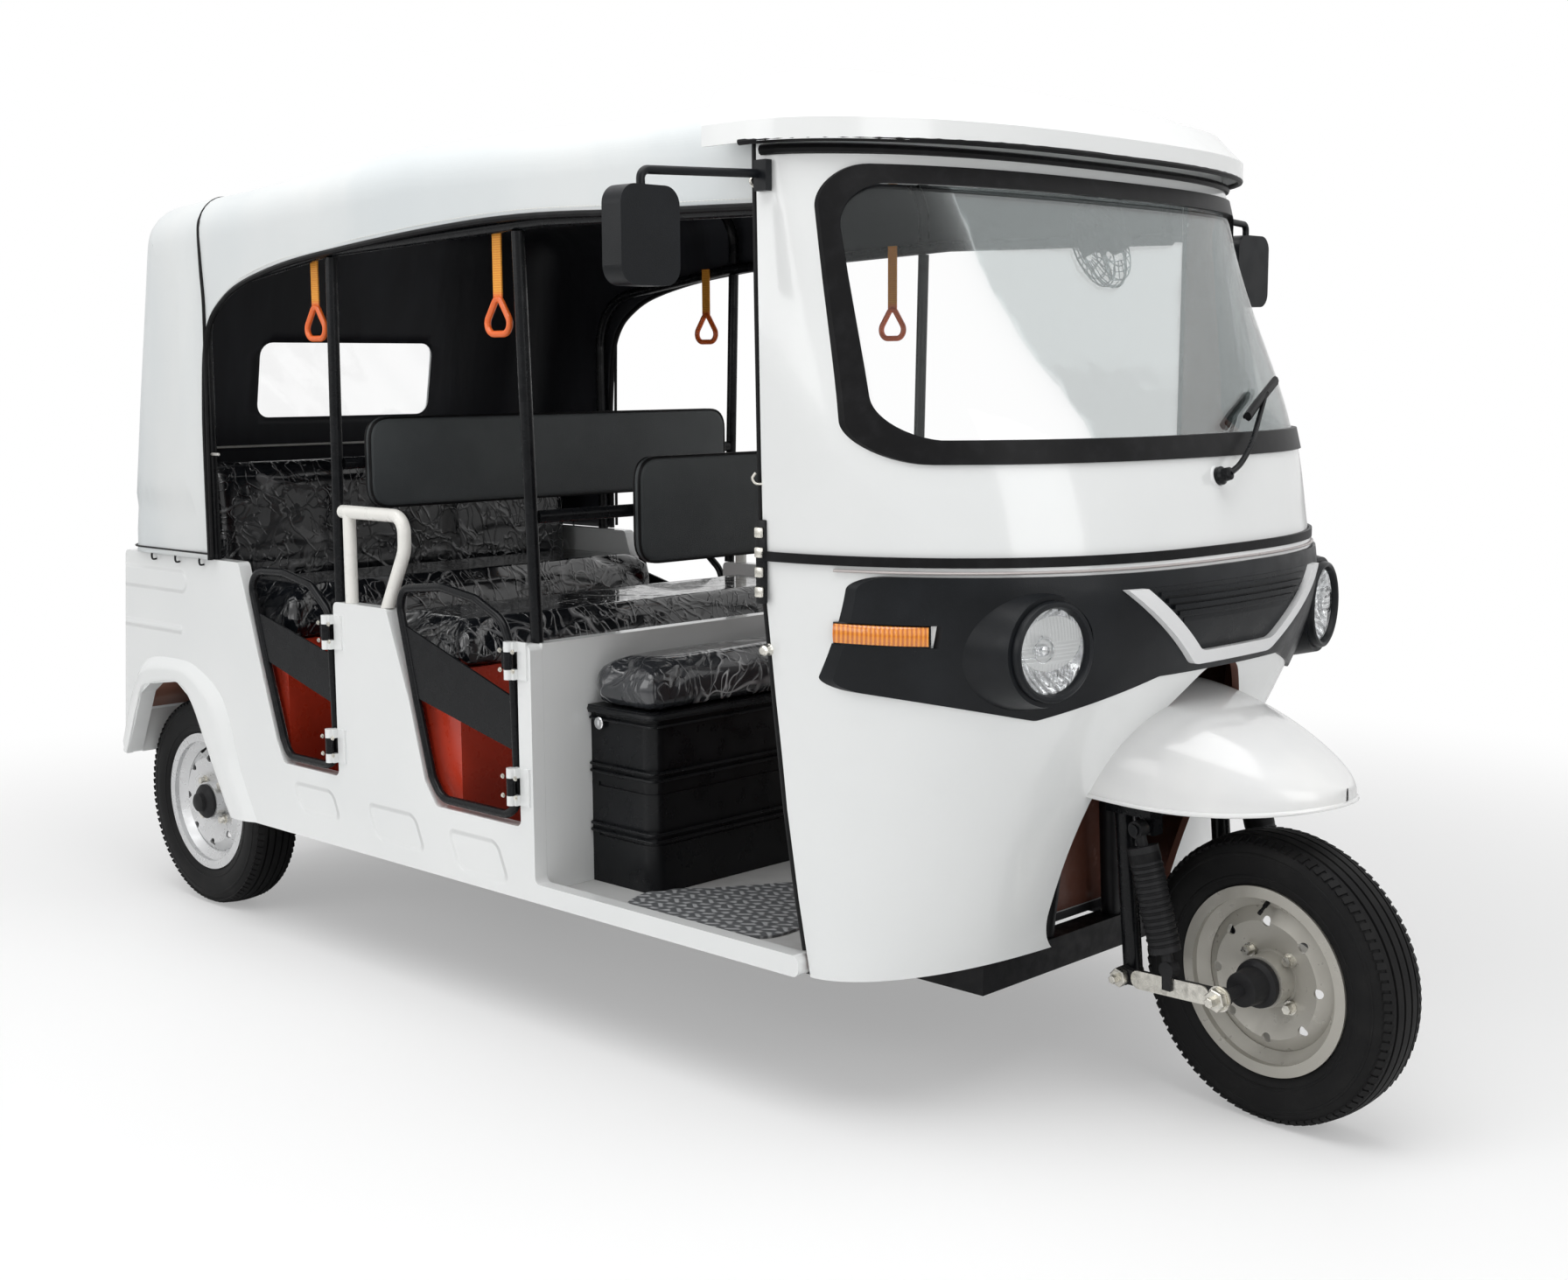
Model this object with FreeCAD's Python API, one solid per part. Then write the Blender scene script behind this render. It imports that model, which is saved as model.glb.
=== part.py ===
import FreeCAD, Part
import math
import os
from functools import lru_cache
from FreeCAD import Vector

# A three-wheeled passenger rickshaw: one steered wheel in front, a cab cowl, a long open body
# with four low doors under a fabric canopy, and two wheels behind. Millimetres.
# +X forward, +Y to the left, +Z up. The origin is on the ground under the middle of the length.

# Driving dimensions
body_width = 1200.0
wheelbase = 2620.0
track = 990.0
tyre_radius = 255.0
tyre_width = 115.0
rim_seat_radius = 152.0
rim_flange_radius = 167.0
rim_width = 96.0
sill_height = 262.0
threshold_height = 300.0
column_height = 802.0
waist_height = 862.0
belt_height = 985.0
eave_height = 1566.0
canopy_height = 1742.0
canopy_rear_height = 1672.0
cab_top_height = 1680.0
roof_height = 1776.0

# Stations, measured back from the front axle
doorway_back = 620.0
threshold_front_back = 575.0
end_column_back = 1281.0
fore_door_front_back = 1330.0
fore_gap_head_back = 1754.0
aft_door_front_back = 1958.0
aft_gap_head_back = 2327.0
floor_rise_back = 2270.0
canopy_side_back = 2425.0
canopy_rear_back = 2690.0
canopy_foot_back = 2836.0
waist_back = 2848.0
fore_post_back = 1222.0
aft_post_back = 1940.0
post_lean = 18.0
fore_post_side = 566.0
fore_post_stand_back = 1300.0

# Door outlines with their clearance, from the front foot round the rear
fore_door_backs = (1321.0, 1596.0, 1634.0, 1681.0, 1733.0, 1711.0, 1570.0, 1455.0, 1363.0, 1331.0)
fore_door_heights = (407.0, 407.0, 455.0, 616.0, 815.0, 863.0, 876.0, 860.0, 821.0, 752.0)
fore_door_panel = (553.0, 657.0, 777.0, 636.0)
aft_door_backs = (1949.0, 2166.0, 2194.0, 2250.0, 2307.0, 2266.0, 2152.0, 2040.0, 1960.0)
aft_door_heights = (420.0, 420.0, 470.0, 632.0, 818.0, 863.0, 866.0, 845.0, 782.0)
aft_door_panel = (575.0, 681.0, 759.0, 661.0)

# Wheel arch outline in the body side, from the rear foot round the crown to the front foot
arch_backs = (2872.0, 2789.0, 2744.0, 2616.0, 2551.0, 2487.0, 2411.0, 2388.0)
arch_heights = (350.0, 513.0, 540.0, 558.0, 522.0, 421.0, 295.0, 262.0)

# General walls and clearances
cowl_wall = 14.0
side_wall = 30.0
seat_gap = 0.3
overrun = 20.0
loft_spare = 2.0
firm_gap = 0.9
hair = 0.001
shared_leg_share = 0.49
end_leg_share = 0.98
tube_radius = 12.5
parked_steer_deg = -7.0

# Cowl: height, half width, doorway edge and nose of each level section, as shares
cowl_power_share = 2.7
cowl_half_width = 632.0
cowl_depth = 505.0
lower_level_shares = (0.0, 0.19, 0.4, 0.66, 0.89, 1.0)
lower_width_shares = (0.918, 0.93, 0.943, 0.965, 0.99, 1.0)
lower_edge_shares = (0.109, 0.069, 0.034, 0.012, 0.002, 0.0)
lower_nose_shares = (0.499, 0.59, 0.723, 0.93, 1.03, 1.0)
upper_level_shares = (0.0, 0.115, 0.23, 0.561, 0.892, 1.0)
upper_width_shares = (1.0, 1.003, 1.006, 1.012, 1.017, 1.017)
upper_edge_shares = (0.0, 0.0, 0.0, 0.0, 0.0, 0.0)
upper_nose_shares = (1.0, 0.968, 0.931, 0.708, 0.485, 0.412)
section_points = 25

# Wheel opening under the nose
wheel_opening_half_width = 195.0
wheel_opening_crown = 735.0
wheel_opening_shoulder = 640.0
wheel_opening_depth = 420.0

# Windscreen
screen_foot = 1140.0
screen_head = 1616.0
screen_half_width = 610.0
screen_corner = 70.0
screen_band_high = 38.0
screen_band_side = 20.0
screen_head_share = 0.8
glass_thickness = 6.0
seal_proud = 5.0

# Belt moulding and doorway edging
belt_moulding_high = 16.0
belt_moulding_proud = 6.0
edging_radius = 7.0
edging_bend = 140.0

# Dark nose mask
mask_top = 962.0
mask_side_foot = 772.0
mask_low = 722.0
mask_nose_foot = 782.0
mask_half_width = 606.0
mask_low_width = 400.0
mask_nose_width = 190.0
mask_proud = 7.0
mask_corner = 24.0
lamp_pod_radius = 112.0
lamp_pod_tip_radius = 90.0
lamp_pod_long = 110.0
lamp_pod_back = 14.0

# Grille and its pale trim
grille_half_width = 265.0
grille_foot_half_width = 112.0
grille_top = 936.0
grille_foot = 820.0
grille_corner = 40.0
grille_run_on = 200.0
grille_proud = 14.0
grille_bar_high = 7.0
grille_bar_count = 9
trim_band = 24.0
trim_proud = 19.0

# Lamps
headlight_side = 430.0
headlight_height = 844.0
headlight_nose_back = 168.0
headlight_radius = 68.0
headlight_bezel = 14.0
headlight_depth = 150.0
headlight_toe_deg = 12.0
signal_outer = 607.0
signal_inner = 540.0
signal_foot = 848.0
signal_head = 884.0
signal_proud = 22.0

# Mudguard
mudguard_root_back = 300.0
mudguard_reach = 222.0
mudguard_root_half_width = 212.0
mudguard_tip_half_width = 92.0
mudguard_root_top = 772.0
mudguard_root_foot = 552.0
mudguard_tip_top = 612.0
mudguard_tip_foot = 566.0
mudguard_station_shares = (0.0, 0.28, 0.55, 0.78, 0.92, 1.0)
mudguard_top_shares = (1.0, 0.86, 0.66, 0.42, 0.2, 0.0)
mudguard_width_shares = (1.0, 0.9, 0.78, 0.6, 0.36, 0.0)
mudguard_foot_shares = (0.0, 0.0, -0.1, 0.0, 0.4, 1.0)
mudguard_shell = 5.0
mudguard_power_share = 2.4

# Roof cap over the cab
cap_lip_height = 1652.0
cap_lip_band = 34.0
cap_overhang = 26.0
cap_rear_back = 720.0
cap_wall = 8.0
cap_crown_inset = 170.0
cap_side_inset = 110.0
cap_knee_height_share = 0.72
cap_knee_side_share = 0.3
cap_knee_nose_share = 0.4
cap_crown_side_share = 1.2

# Canopy
canopy_half_width = 612.0
canopy_wall = 8.0
canopy_shoulder = 96.0
canopy_rear_corner = 110.0
eave_dip = 26.0
eave_rear_drop = 104.0
canopy_slope_lead = 330.0
eave_corner = 150.0
window_half_width = 262.0
window_foot = 1176.0
window_head = 1364.0
window_corner = 34.0

# Floor, bulkhead and benches
floor_thickness = 18.0
rear_floor_height = 375.0
bulkhead_back = 470.0
bulkhead_height = 900.0
bulkhead_thickness = 8.0
dashboard_lip = 40.0
dashboard_thick = 20.0
dashboard_hole_clear = 6.0
bench_board = 20.0
seat_base_height = 690.0
middle_bench_front_back = 1560.0
middle_bench_rear_back = 1880.0
rear_bench_front_back = 2200.0
rear_bench_rear_back = 2590.0
bench_half_width = 560.0
middle_cushion_high = 94.0
rear_cushion_high = 120.0
cushion_overhang = 20.0
cushion_corner = 26.0
rear_backrest_thick = 70.0
rear_backrest_head = 1105.0
middle_backrest_foot = 1000.0
middle_backrest_head = 1195.0
middle_backrest_half_width = 530.0
driver_backrest_foot = 905.0
driver_backrest_head = 1120.0
driver_backrest_half_width = 355.0
backrest_thick = 30.0
backrest_corner = 50.0

# Partition and driver's box
partition_thickness = 30.0
partition_height = 770.0
driver_box_front_back = 1100.0
driver_box_half_width = 450.0
driver_box_height = 622.0
driver_lid = 16.0
driver_cushion_high = 98.0
driver_cushion_overhang = 16.0
driver_box_wall = 8.0
driver_box_corner = 30.0
box_groove_heights = (375.0, 476.0)
box_groove_high = 8.0
box_groove_deep = 3.0
battery_long = 150.0
battery_half_width = 300.0
battery_high = 240.0

# Wheel housings and the body's rear foot
arch_depth = 170.0
arch_housing_radius = 312.0
arch_housing_foot = 310.0
arch_sheet = 6.0
side_corner = 14.0
arch_lip_wide = 24.0
arch_lip_proud = 8.0
flap_height = 350.0
flap_back = 2900.0

# Plate holes in the rear panel
plate_hole_spacing = 150.0
plate_hole_height = 600.0
plate_hole_radius = 3.5

# Doors
door_gap = 7.0
door_gap_corners = 4
door_tube_radius = 9.0
door_panel_thick = 5.0
door_corner = 50.0
hinge_pin_radius = 5.0
hinge_clearance = 0.1
hinge_play = 0.5
hinge_sleeve_radius = 9.0
hinge_sleeve_high = 34.0
hinge_leaf_wide = 26.0
hinge_leaf_high = 74.0
hinge_leaf_thick = 4.0
hinge_standoff = 15.0
hinge_leaf_ahead = 15.0
hinge_foot_height = 452.0
hinge_head_height = 700.0

# Handles, rings and mirrors
handle_radius = 14.0
handle_height = 1010.0
handle_leg_back = 1898.0
handle_front_back = 1701.0
handle_foot_back = 1768.0
handle_knee_height = 925.0
handle_bend = 60.0
ring_radius = 6.5
ring_half_width = 52.0
ring_high = 66.0
ring_corner = 20.0
ring_drop = 205.0
strap_wide = 26.0
strap_thick = 3.0
ring_fore_back = 1382.0
ring_aft_back = 2008.0
mirror_reach = 881.0
mirror_height = 1596.0
mirror_arm_radius = 7.0
mirror_arm_set_back = 28.0
mirror_foot_long = 28.0
mirror_foot_drop = 21.0
mirror_head_wide = 122.0
mirror_head_high = 152.0
mirror_head_deep = 44.0
mirror_corner = 30.0
mirror_drop = 100.0

# Chassis
rail_side_chassis = 290.0
rail_wide = 50.0
rail_high = 60.0
rail_front_back = 400.0
rail_low_end_back = 2240.0
rail_rear_back = 2850.0
rail_rise = 100.0
cross_count = 4
neck_radius = 18.0
neck_low_side = 200.0
neck_high_side = 110.0
neck_low_knee = 616.0
neck_high_knee = 645.0
neck_knee_back = 408.0
neck_knee_share = 0.55
neck_high_spread_share = 0.5
neck_bend = 60.0
head_tube_radius = 32.0
head_tube_foot = 600.0
head_tube_top = 790.0

# Steering
rake_deg = 25.0
trail = 65.0
stem_radius = 15.0
stem_clearance = 0.05
stem_top = 1010.0
crown_height = 560.0
crown_thick = 26.0
crown_margin = 5.0
leg_side = 130.0
leg_radius = 17.0
leg_top_back = 228.0
leg_foot_back = 212.0
link_pivot_height = 243.0
link_wide = 34.0
link_thick = 12.0
link_waist_share = 0.8
axle_radius = 10.0
axle_clearance = 0.05
shock_side = 158.0
shock_bracket_side = 7.0
shock_top_back = 172.0
shock_top_height = 516.0
shock_eye_back = 108.0
shock_eye_height = 250.0
spring_radius = 27.0
shock_rod_radius = 10.0
shock_eye_radius = 15.0
shock_eye_half_wide = 10.5
lug_half_long = 9.0
lug_drop = 6.0
bar_half_width = 330.0
bar_radius = 12.0
bar_clamp_radius = 24.0
bar_clamp_long = 80.0
bar_sweep = 90.0
bar_rise = 40.0
grip_radius = 17.0
grip_long = 110.0
bar_bend = 40.0

# Wheels
tread_half_width = 44.0
tread_drop = 7.0
tyre_wall_share = 0.97
tyre_wall_dip = 1.4
tyre_shoulder_share = 0.93
full_turn_deg = 360.0
rim_wall = 5.0
rim_well_radius = 128.0
rim_well_half_width = 22.0
disc_offset = 18.0
hub_radius = 46.0
hub_half_length = 52.0
rim_slot_count = 8
rim_slot_radius = 9.0
rim_slot_circle = 104.0
lug_circle_radius = 60.0
lug_count = 4
lug_hole_radius = 6.0
wheel_seat_gap = 0.3
spindle_radius = 20.0
spindle_clearance = 0.05
wheel_side_gap = 8.0

# Rear axle
axle_tube_radius = 34.0
axle_seat_drop = 20.4
gearbox_radius = 100.0
gearbox_long = 210.0
motor_radius = 78.0
motor_long = 240.0
motor_side = 52.5
spring_side = 290.0
spring_leaf_wide = 50.0
spring_leaf_thick = 8.0
spring_leaf_count = 4
spring_front_back = 2420.0
spring_rear_back = 2820.0
spring_shorten = 46.0
brake_drum_radius = 105.0
brake_drum_long = 40.0

# Rear lamps
rear_lamp_wide = 90.0
rear_lamp_high = 130.0
rear_lamp_deep = 24.0
rear_lamp_corner = 18.0
rear_lamp_side = 520.0
rear_lamp_height = 700.0

# Places worked out from the sizes above
least_turn = math.radians(0.5)
front_axle_x = (flap_back + tyre_radius) / 2 - tyre_radius
rear_axle_x = front_axle_x - wheelbase
half_width = body_width / 2
side_inner = half_width - side_wall
floor_top = sill_height + floor_thickness
rear_floor_top = rear_floor_height + floor_thickness
rake = math.radians(rake_deg)
steer_axis = Vector(-math.sin(rake), 0, math.cos(rake))
steer_point = Vector(front_axle_x + trail, 0, 0)


def station(back):
    return front_axle_x - back


def block(x0, x1, y0, y1, z0, z1):
    low = Vector(min(x0, x1), min(y0, y1), min(z0, z1))
    return Part.makeBox(abs(x1 - x0), abs(y1 - y0), abs(z1 - z0), low)


def rod(start, end, radius):
    along = end - start
    return Part.makeCylinder(radius, along.Length, start, along)


def across(x, z, y0, y1, radius):
    return rod(Vector(x, y0, z), Vector(x, y1, z), radius)


def mirrored(shape):
    return shape.mirror(Vector(0, 0, 0), Vector(0, 1, 0))


def corner_edges(points, radius, closed):
    count = len(points)
    starts, ends, arcs = [], [], []
    for i, point in enumerate(points):
        if not closed and i in (0, count - 1):
            starts.append(point)
            ends.append(point)
            arcs.append(None)
            continue
        before = points[i - 1] - point
        after = points[(i + 1) % count] - point
        before_dir = Vector(before).normalize()
        after_dir = Vector(after).normalize()
        half = before_dir.getAngle(after_dir) / 2
        if math.pi - 2 * half < least_turn:
            starts.append(point)
            ends.append(point)
            arcs.append(None)
            continue
        before_room = end_leg_share if not closed and i == 1 else shared_leg_share
        after_room = end_leg_share if not closed and i == count - 2 else shared_leg_share
        reach = min(radius / math.tan(half), before.Length * before_room,
                    after.Length * after_room)
        first = point + before_dir * reach
        last = point + after_dir * reach
        to_centre = Vector(before_dir + after_dir).normalize()
        size = reach * math.tan(half)
        middle = point + to_centre * (size / math.sin(half) - size)
        starts.append(first)
        ends.append(last)
        arcs.append(Part.Arc(first, middle, last).toShape())
    edges = []
    for i in range(count):
        if arcs[i] is not None:
            edges.append(arcs[i])
        if i == count - 1 and not closed:
            break
        nxt = (i + 1) % count
        if (starts[nxt] - ends[i]).Length > hair:
            edges.append(Part.LineSegment(ends[i], starts[nxt]).toShape())
    return edges


def rounded_wire(points, radius, closed=True):
    return Part.Wire(Part.__sortEdges__(corner_edges(points, radius, closed)))


def plate(points, radius, push):
    if radius > 0:
        wire = rounded_wire(points, radius)
    else:
        wire = Part.makePolygon(list(points) + [points[0]])
    return Part.Face(wire).extrude(push)


def side_plate(pairs, radius, y0, y1):
    points = [Vector(x, y0, z) for x, z in pairs]
    return plate(points, radius, Vector(0, y1 - y0, 0))


def front_plate(pairs, radius, x0, x1):
    points = [Vector(x0, y, z) for y, z in pairs]
    return plate(points, radius, Vector(x1 - x0, 0, 0))


def bent_tube(points, radius, bend, closed=False):
    path = rounded_wire(points, bend, closed)
    first = path.OrderedEdges[0] if hasattr(path, "OrderedEdges") else path.Edges[0]
    start = first.valueAt(first.FirstParameter)
    tangent = first.tangentAt(first.FirstParameter)
    ring = Part.Wire([Part.Circle(start, tangent, radius).toShape()])
    return path.makePipeShell([ring], True, True)


def join(shapes):
    whole = shapes[0]
    for shape in shapes[1:]:
        whole = whole.fuse(shape)
    return whole


def group(shapes):
    return Part.makeCompound(shapes)


def inset_pairs(pairs, distance):
    """A closed outline drawn in by a distance along every side."""
    area = sum(p[0] * q[1] - q[0] * p[1] for p, q in zip(pairs, pairs[1:] + pairs[:1]))
    turn = math.copysign(1, area)
    lines = []
    for p, q in zip(pairs, pairs[1:] + pairs[:1]):
        length = math.hypot(q[0] - p[0], q[1] - p[1])
        nx = -turn * (q[1] - p[1]) / length
        nz = turn * (q[0] - p[0]) / length
        lines.append((nx, nz, nx * p[0] + nz * p[1] + distance))
    result = []
    for a, b in zip(lines[-1:] + lines[:-1], lines):
        det = a[0] * b[1] - a[1] * b[0]
        result.append(((a[2] * b[1] - a[1] * b[2]) / det, (a[0] * b[2] - a[2] * b[0]) / det))
    return result


def steered(shape):
    turned = shape.copy()
    turned.rotate(steer_point, steer_axis, parked_steer_deg)
    return turned


# Cowl surfaces

def cowl_section(level, half, edge, nose, closed_back):
    points = []
    for i in range(section_points + 1):
        angle = math.pi * i / section_points
        c = math.cos(angle)
        y = math.copysign(half * abs(c) ** (2 / cowl_power_share), c)
        x = edge + (nose - edge) * math.sin(angle)
        points.append(Vector(x, y, level))
    curve = Part.BSplineCurve()
    curve.interpolate(points)
    back_left = Vector(closed_back, points[0].y, level)
    back_right = Vector(closed_back, points[-1].y, level)
    edges = [curve.toShape(), Part.LineSegment(points[-1], back_right).toShape(),
             Part.LineSegment(back_right, back_left).toShape(),
             Part.LineSegment(back_left, points[0]).toShape()]
    return Part.Wire(edges)


def cowl_levels(part):
    if part == "lower":
        foot, head = sill_height, belt_height
        rows = zip(lower_level_shares, lower_width_shares, lower_edge_shares, lower_nose_shares)
    else:
        foot, head = belt_height, cab_top_height
        rows = zip(upper_level_shares, upper_width_shares, upper_edge_shares, upper_nose_shares)
    levels = []
    for level, width, edge, nose in rows:
        z = foot + (head - foot) * level
        levels.append((z, cowl_half_width * width, station(doorway_back) + cowl_depth * edge,
                       station(doorway_back) + cowl_depth * nose))
    return levels


@lru_cache(maxsize=None)
def cowl_body(part, inset, deeper=0.0):
    """A solid of the cowl's outer form, drawn in by the inset and flat behind."""
    levels = cowl_levels(part)
    back = station(doorway_back) - overrun - deeper
    wires = []
    for i, (z, half, edge, nose) in enumerate(levels):
        if i == 0:
            z = z - loft_spare
        if i == len(levels) - 1:
            z = z + loft_spare
        wires.append(cowl_section(z, half - inset, edge, nose - inset, back))
    return Part.makeLoft(wires, True, False)


@lru_cache(maxsize=None)
def cowl_skin(part, outer, inner):
    """The cowl's wall between two insets, open behind, above and below."""
    shell = cowl_body(part, outer).cut(cowl_body(part, inner, overrun))
    return shell.common(cab_room(part))


@lru_cache(maxsize=None)
def cab_room(part):
    """Everything ahead of the doorway edge between a cowl part's foot and head."""
    pairs = [(level[2], level[0]) for level in cowl_levels(part)]
    ahead = front_axle_x + overrun
    outline = pairs + [(ahead, pairs[-1][1]), (ahead, pairs[0][1])]
    return side_plate(outline, 0, -half_width * 2, half_width * 2)


def wheel_opening():
    half = wheel_opening_half_width
    low = sill_height - overrun
    outline = [(-half, low), (half, low), (half, wheel_opening_shoulder),
               (0, wheel_opening_crown + (wheel_opening_crown - wheel_opening_shoulder)),
               (-half, wheel_opening_shoulder)]
    return front_plate(outline, half / 2, station(wheel_opening_depth), front_axle_x)


def cowl_lower():
    return cowl_skin("lower", 0, cowl_wall).cut(wheel_opening())


def screen_outline(high, side):
    half = screen_half_width - side
    return [(-half, screen_foot + high), (half, screen_foot + high),
            (half, screen_head - high * screen_head_share),
            (-half, screen_head - high * screen_head_share)]


def screen_hole(high, side, corner):
    return front_plate(screen_outline(high, side), corner, station(doorway_back) + cowl_wall * 2,
                       front_axle_x)


def cowl_upper():
    return cowl_skin("upper", 0, cowl_wall).cut(screen_hole(0, 0, screen_corner))


def windscreen():
    skin = cowl_skin("upper", seal_proud, seal_proud + glass_thickness)
    band = seat_gap
    return skin.common(screen_hole(screen_band_high + band, screen_band_side + band, screen_corner))


def windscreen_seal():
    skin = cowl_skin("upper", -seal_proud, cowl_wall)
    ring = screen_hole(0, 0, screen_corner).cut(
        screen_hole(screen_band_high, screen_band_side, screen_corner))
    return skin.common(ring)


def cab_line(level):
    """Half width, doorway edge and nose of the cowl at a height, straight between sections."""
    levels = cowl_levels("lower") + cowl_levels("upper")[1:]
    for low, high in zip(levels, levels[1:]):
        if low[0] <= level <= high[0]:
            t = (level - low[0]) / (high[0] - low[0])
            return [a + (b - a) * t for a, b in zip(low[1:], high[1:])]
    return list(levels[-1][1:])


def cowl_strip(foot, head, outset, inset):
    """A level band that follows the cowl between two heights."""
    half, edge, nose = cab_line((foot + head) / 2)
    outer = []
    inner = []
    for z in (foot, head):
        outer.append(cowl_section(z, half + outset, edge, nose + outset, edge - overrun))
    for z in (foot - overrun, head + overrun):
        inner.append(cowl_section(z, half + inset, edge, nose + inset, edge - overrun * 2))
    return Part.makeLoft(outer, True, True).cut(Part.makeLoft(inner, True, True))


def belt_moulding():
    half = belt_moulding_high / 2
    strip = cowl_strip(belt_height - half, belt_height + half, belt_moulding_proud, seat_gap)
    return strip.common(cab_room("lower").fuse(cab_room("upper"))).cut(cowl_core())


def cowl_core():
    """The whole cowl's form, grown by the seating gap."""
    return cowl_body("lower", -seat_gap).fuse(cowl_body("upper", -seat_gap))


def doorway_edging(side):
    """A rubber bead up the cowl's doorway edge from the threshold."""
    points = []
    heights = [threshold_height + edging_radius]
    heights += [level[0] for level in cowl_levels("lower")[1:] + cowl_levels("upper")[1:]]
    for z in heights:
        half, edge = cab_line(z)[:2]
        points.append(Vector(edge - edging_radius - seat_gap, side * (half - cowl_wall / 2), z))
    return bent_tube(points, edging_radius, edging_bend)


def body_edging():
    return group([belt_moulding(), doorway_edging(-1), doorway_edging(1), windscreen_seal()])


def mask_cutter():
    outline = [(-mask_half_width, mask_top), (-mask_half_width, mask_side_foot),
               (-mask_low_width, mask_low), (-mask_nose_width, mask_nose_foot),
               (mask_nose_width, mask_nose_foot), (mask_low_width, mask_low),
               (mask_half_width, mask_side_foot), (mask_half_width, mask_top)]
    return front_plate(outline, mask_corner, station(doorway_back), front_axle_x)


def grille_outline(grow):
    """The grille's opening, grown; its sides run on past the top."""
    lean = (grille_half_width - grille_foot_half_width) / (grille_top - grille_foot)
    rise = grille_run_on
    wide = grille_half_width + lean * rise
    pairs = [(-wide, grille_top + rise), (-grille_foot_half_width, grille_foot),
             (grille_foot_half_width, grille_foot), (wide, grille_top + rise)]
    return inset_pairs(pairs, -grow)


def grille_room(grow, top):
    shape = front_plate(grille_outline(grow), grille_corner, station(doorway_back), front_axle_x)
    return shape.cut(block(station(doorway_back), front_axle_x, -half_width * 2, half_width * 2,
                           top, cab_top_height))


def lamp_pod(side):
    """The flared housing that stands out of the mask round a headlight."""
    axis = headlight_axis(side)
    nose = Vector(station(headlight_nose_back), side * headlight_side, headlight_height)
    cone = Part.makeCone(lamp_pod_radius, lamp_pod_tip_radius, lamp_pod_long - lamp_pod_back,
                         nose - axis * lamp_pod_long, axis)
    return cone.cut(cowl_body("lower", -mask_proud / 2))


def front_mask():
    skin = cowl_skin("lower", -mask_proud, -seat_gap).common(mask_cutter())
    skin = skin.cut(grille_room(trim_band, grille_top + seat_gap))
    for side in (-1, 1):
        skin = skin.fuse(lamp_pod(side))
    for side in (-1, 1):
        skin = skin.cut(headlight_drum(side, headlight_radius + headlight_bezel + seat_gap,
                                       -overrun, overrun))
    return skin.cut(group(signal_cutters(seat_gap)))


def grille():
    """A plate with level bars; the bars are cut back to stand on the cowl."""
    panel = cowl_skin("lower", -mask_proud, -seat_gap).common(grille_room(-seat_gap, grille_top))
    pitch = (grille_top - grille_foot) / (grille_bar_count + 1)
    bars = []
    for i in range(grille_bar_count):
        z = grille_foot + pitch * (i + 1)
        share = (z - grille_foot) / (grille_top - grille_foot)
        wide = grille_foot_half_width + (grille_half_width - grille_foot_half_width) * share
        reach = wide - grille_corner / 2
        bar = cowl_strip(z - grille_bar_high / 2, z + grille_bar_high / 2, grille_proud, 0)
        middle = block(station(doorway_back) + cowl_depth / 2, front_axle_x, -reach, reach,
                       grille_foot, grille_top)
        bars.append(bar.common(middle))
    for bar in bars:
        panel = panel.fuse(bar)
    return panel.cut(cowl_body("lower", -seat_gap))


def grille_trim():
    outer = grille_room(trim_band - seat_gap, grille_top)
    skin = cowl_skin("lower", -trim_proud, -seat_gap).common(outer)
    return skin.cut(grille_room(0, grille_top + trim_band))


def headlight_axis(side):
    toe = math.radians(headlight_toe_deg)
    return Vector(math.cos(toe), side * math.sin(toe), 0)


def headlight_drum(side, radius, behind, ahead):
    axis = headlight_axis(side)
    nose = Vector(station(headlight_nose_back), side * headlight_side, headlight_height)
    start = nose - axis * (headlight_depth + behind)
    return rod(start, nose + axis * ahead, radius)


def headlight(side):
    axis = headlight_axis(side)
    nose = Vector(station(headlight_nose_back), side * headlight_side, headlight_height)
    drum = headlight_drum(side, headlight_radius + headlight_bezel, 0, 0)
    cup = rod(nose - axis * headlight_bezel, nose + axis * overrun, headlight_radius)
    lens = rod(nose - axis * headlight_bezel, nose - axis * (headlight_bezel / 2),
               headlight_radius)
    body = drum.cut(cup).fuse(lens)
    inside = cowl_body("lower", -seat_gap)
    return body.cut(inside).Solids[0]


def signal_cutters(grow):
    parts = []
    for side in (-1, 1):
        y0 = side * (signal_inner - grow)
        y1 = side * (signal_outer + grow)
        parts.append(block(station(doorway_back), front_axle_x, y0, y1,
                           signal_foot - grow, signal_head + grow))
    return parts


def front_lamps():
    skin = cowl_skin("lower", -signal_proud, -seat_gap)
    signals = [skin.common(cutter) for cutter in signal_cutters(0)]
    return group([headlight(-1), headlight(1)] + signals)


# Mudguard

def mudguard_body(inset, foot_extra):
    wires = []
    reach = mudguard_reach + mudguard_root_back
    last = len(mudguard_station_shares) - 1
    for i, share in enumerate(mudguard_station_shares):
        x = station(mudguard_root_back) + reach * share
        if i == last:
            x = x - inset
        wide_span = mudguard_root_half_width - mudguard_tip_half_width
        half = mudguard_tip_half_width + wide_span * mudguard_width_shares[i] - inset
        top_span = mudguard_root_top - mudguard_tip_top
        top = mudguard_tip_top + top_span * mudguard_top_shares[i] - inset
        foot_span = mudguard_tip_foot - mudguard_root_foot
        foot = mudguard_root_foot + foot_span * mudguard_foot_shares[i]
        wires.append(mudguard_section(x, half, top, foot, foot_extra))
    return Part.makeLoft(wires, True, False)


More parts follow.
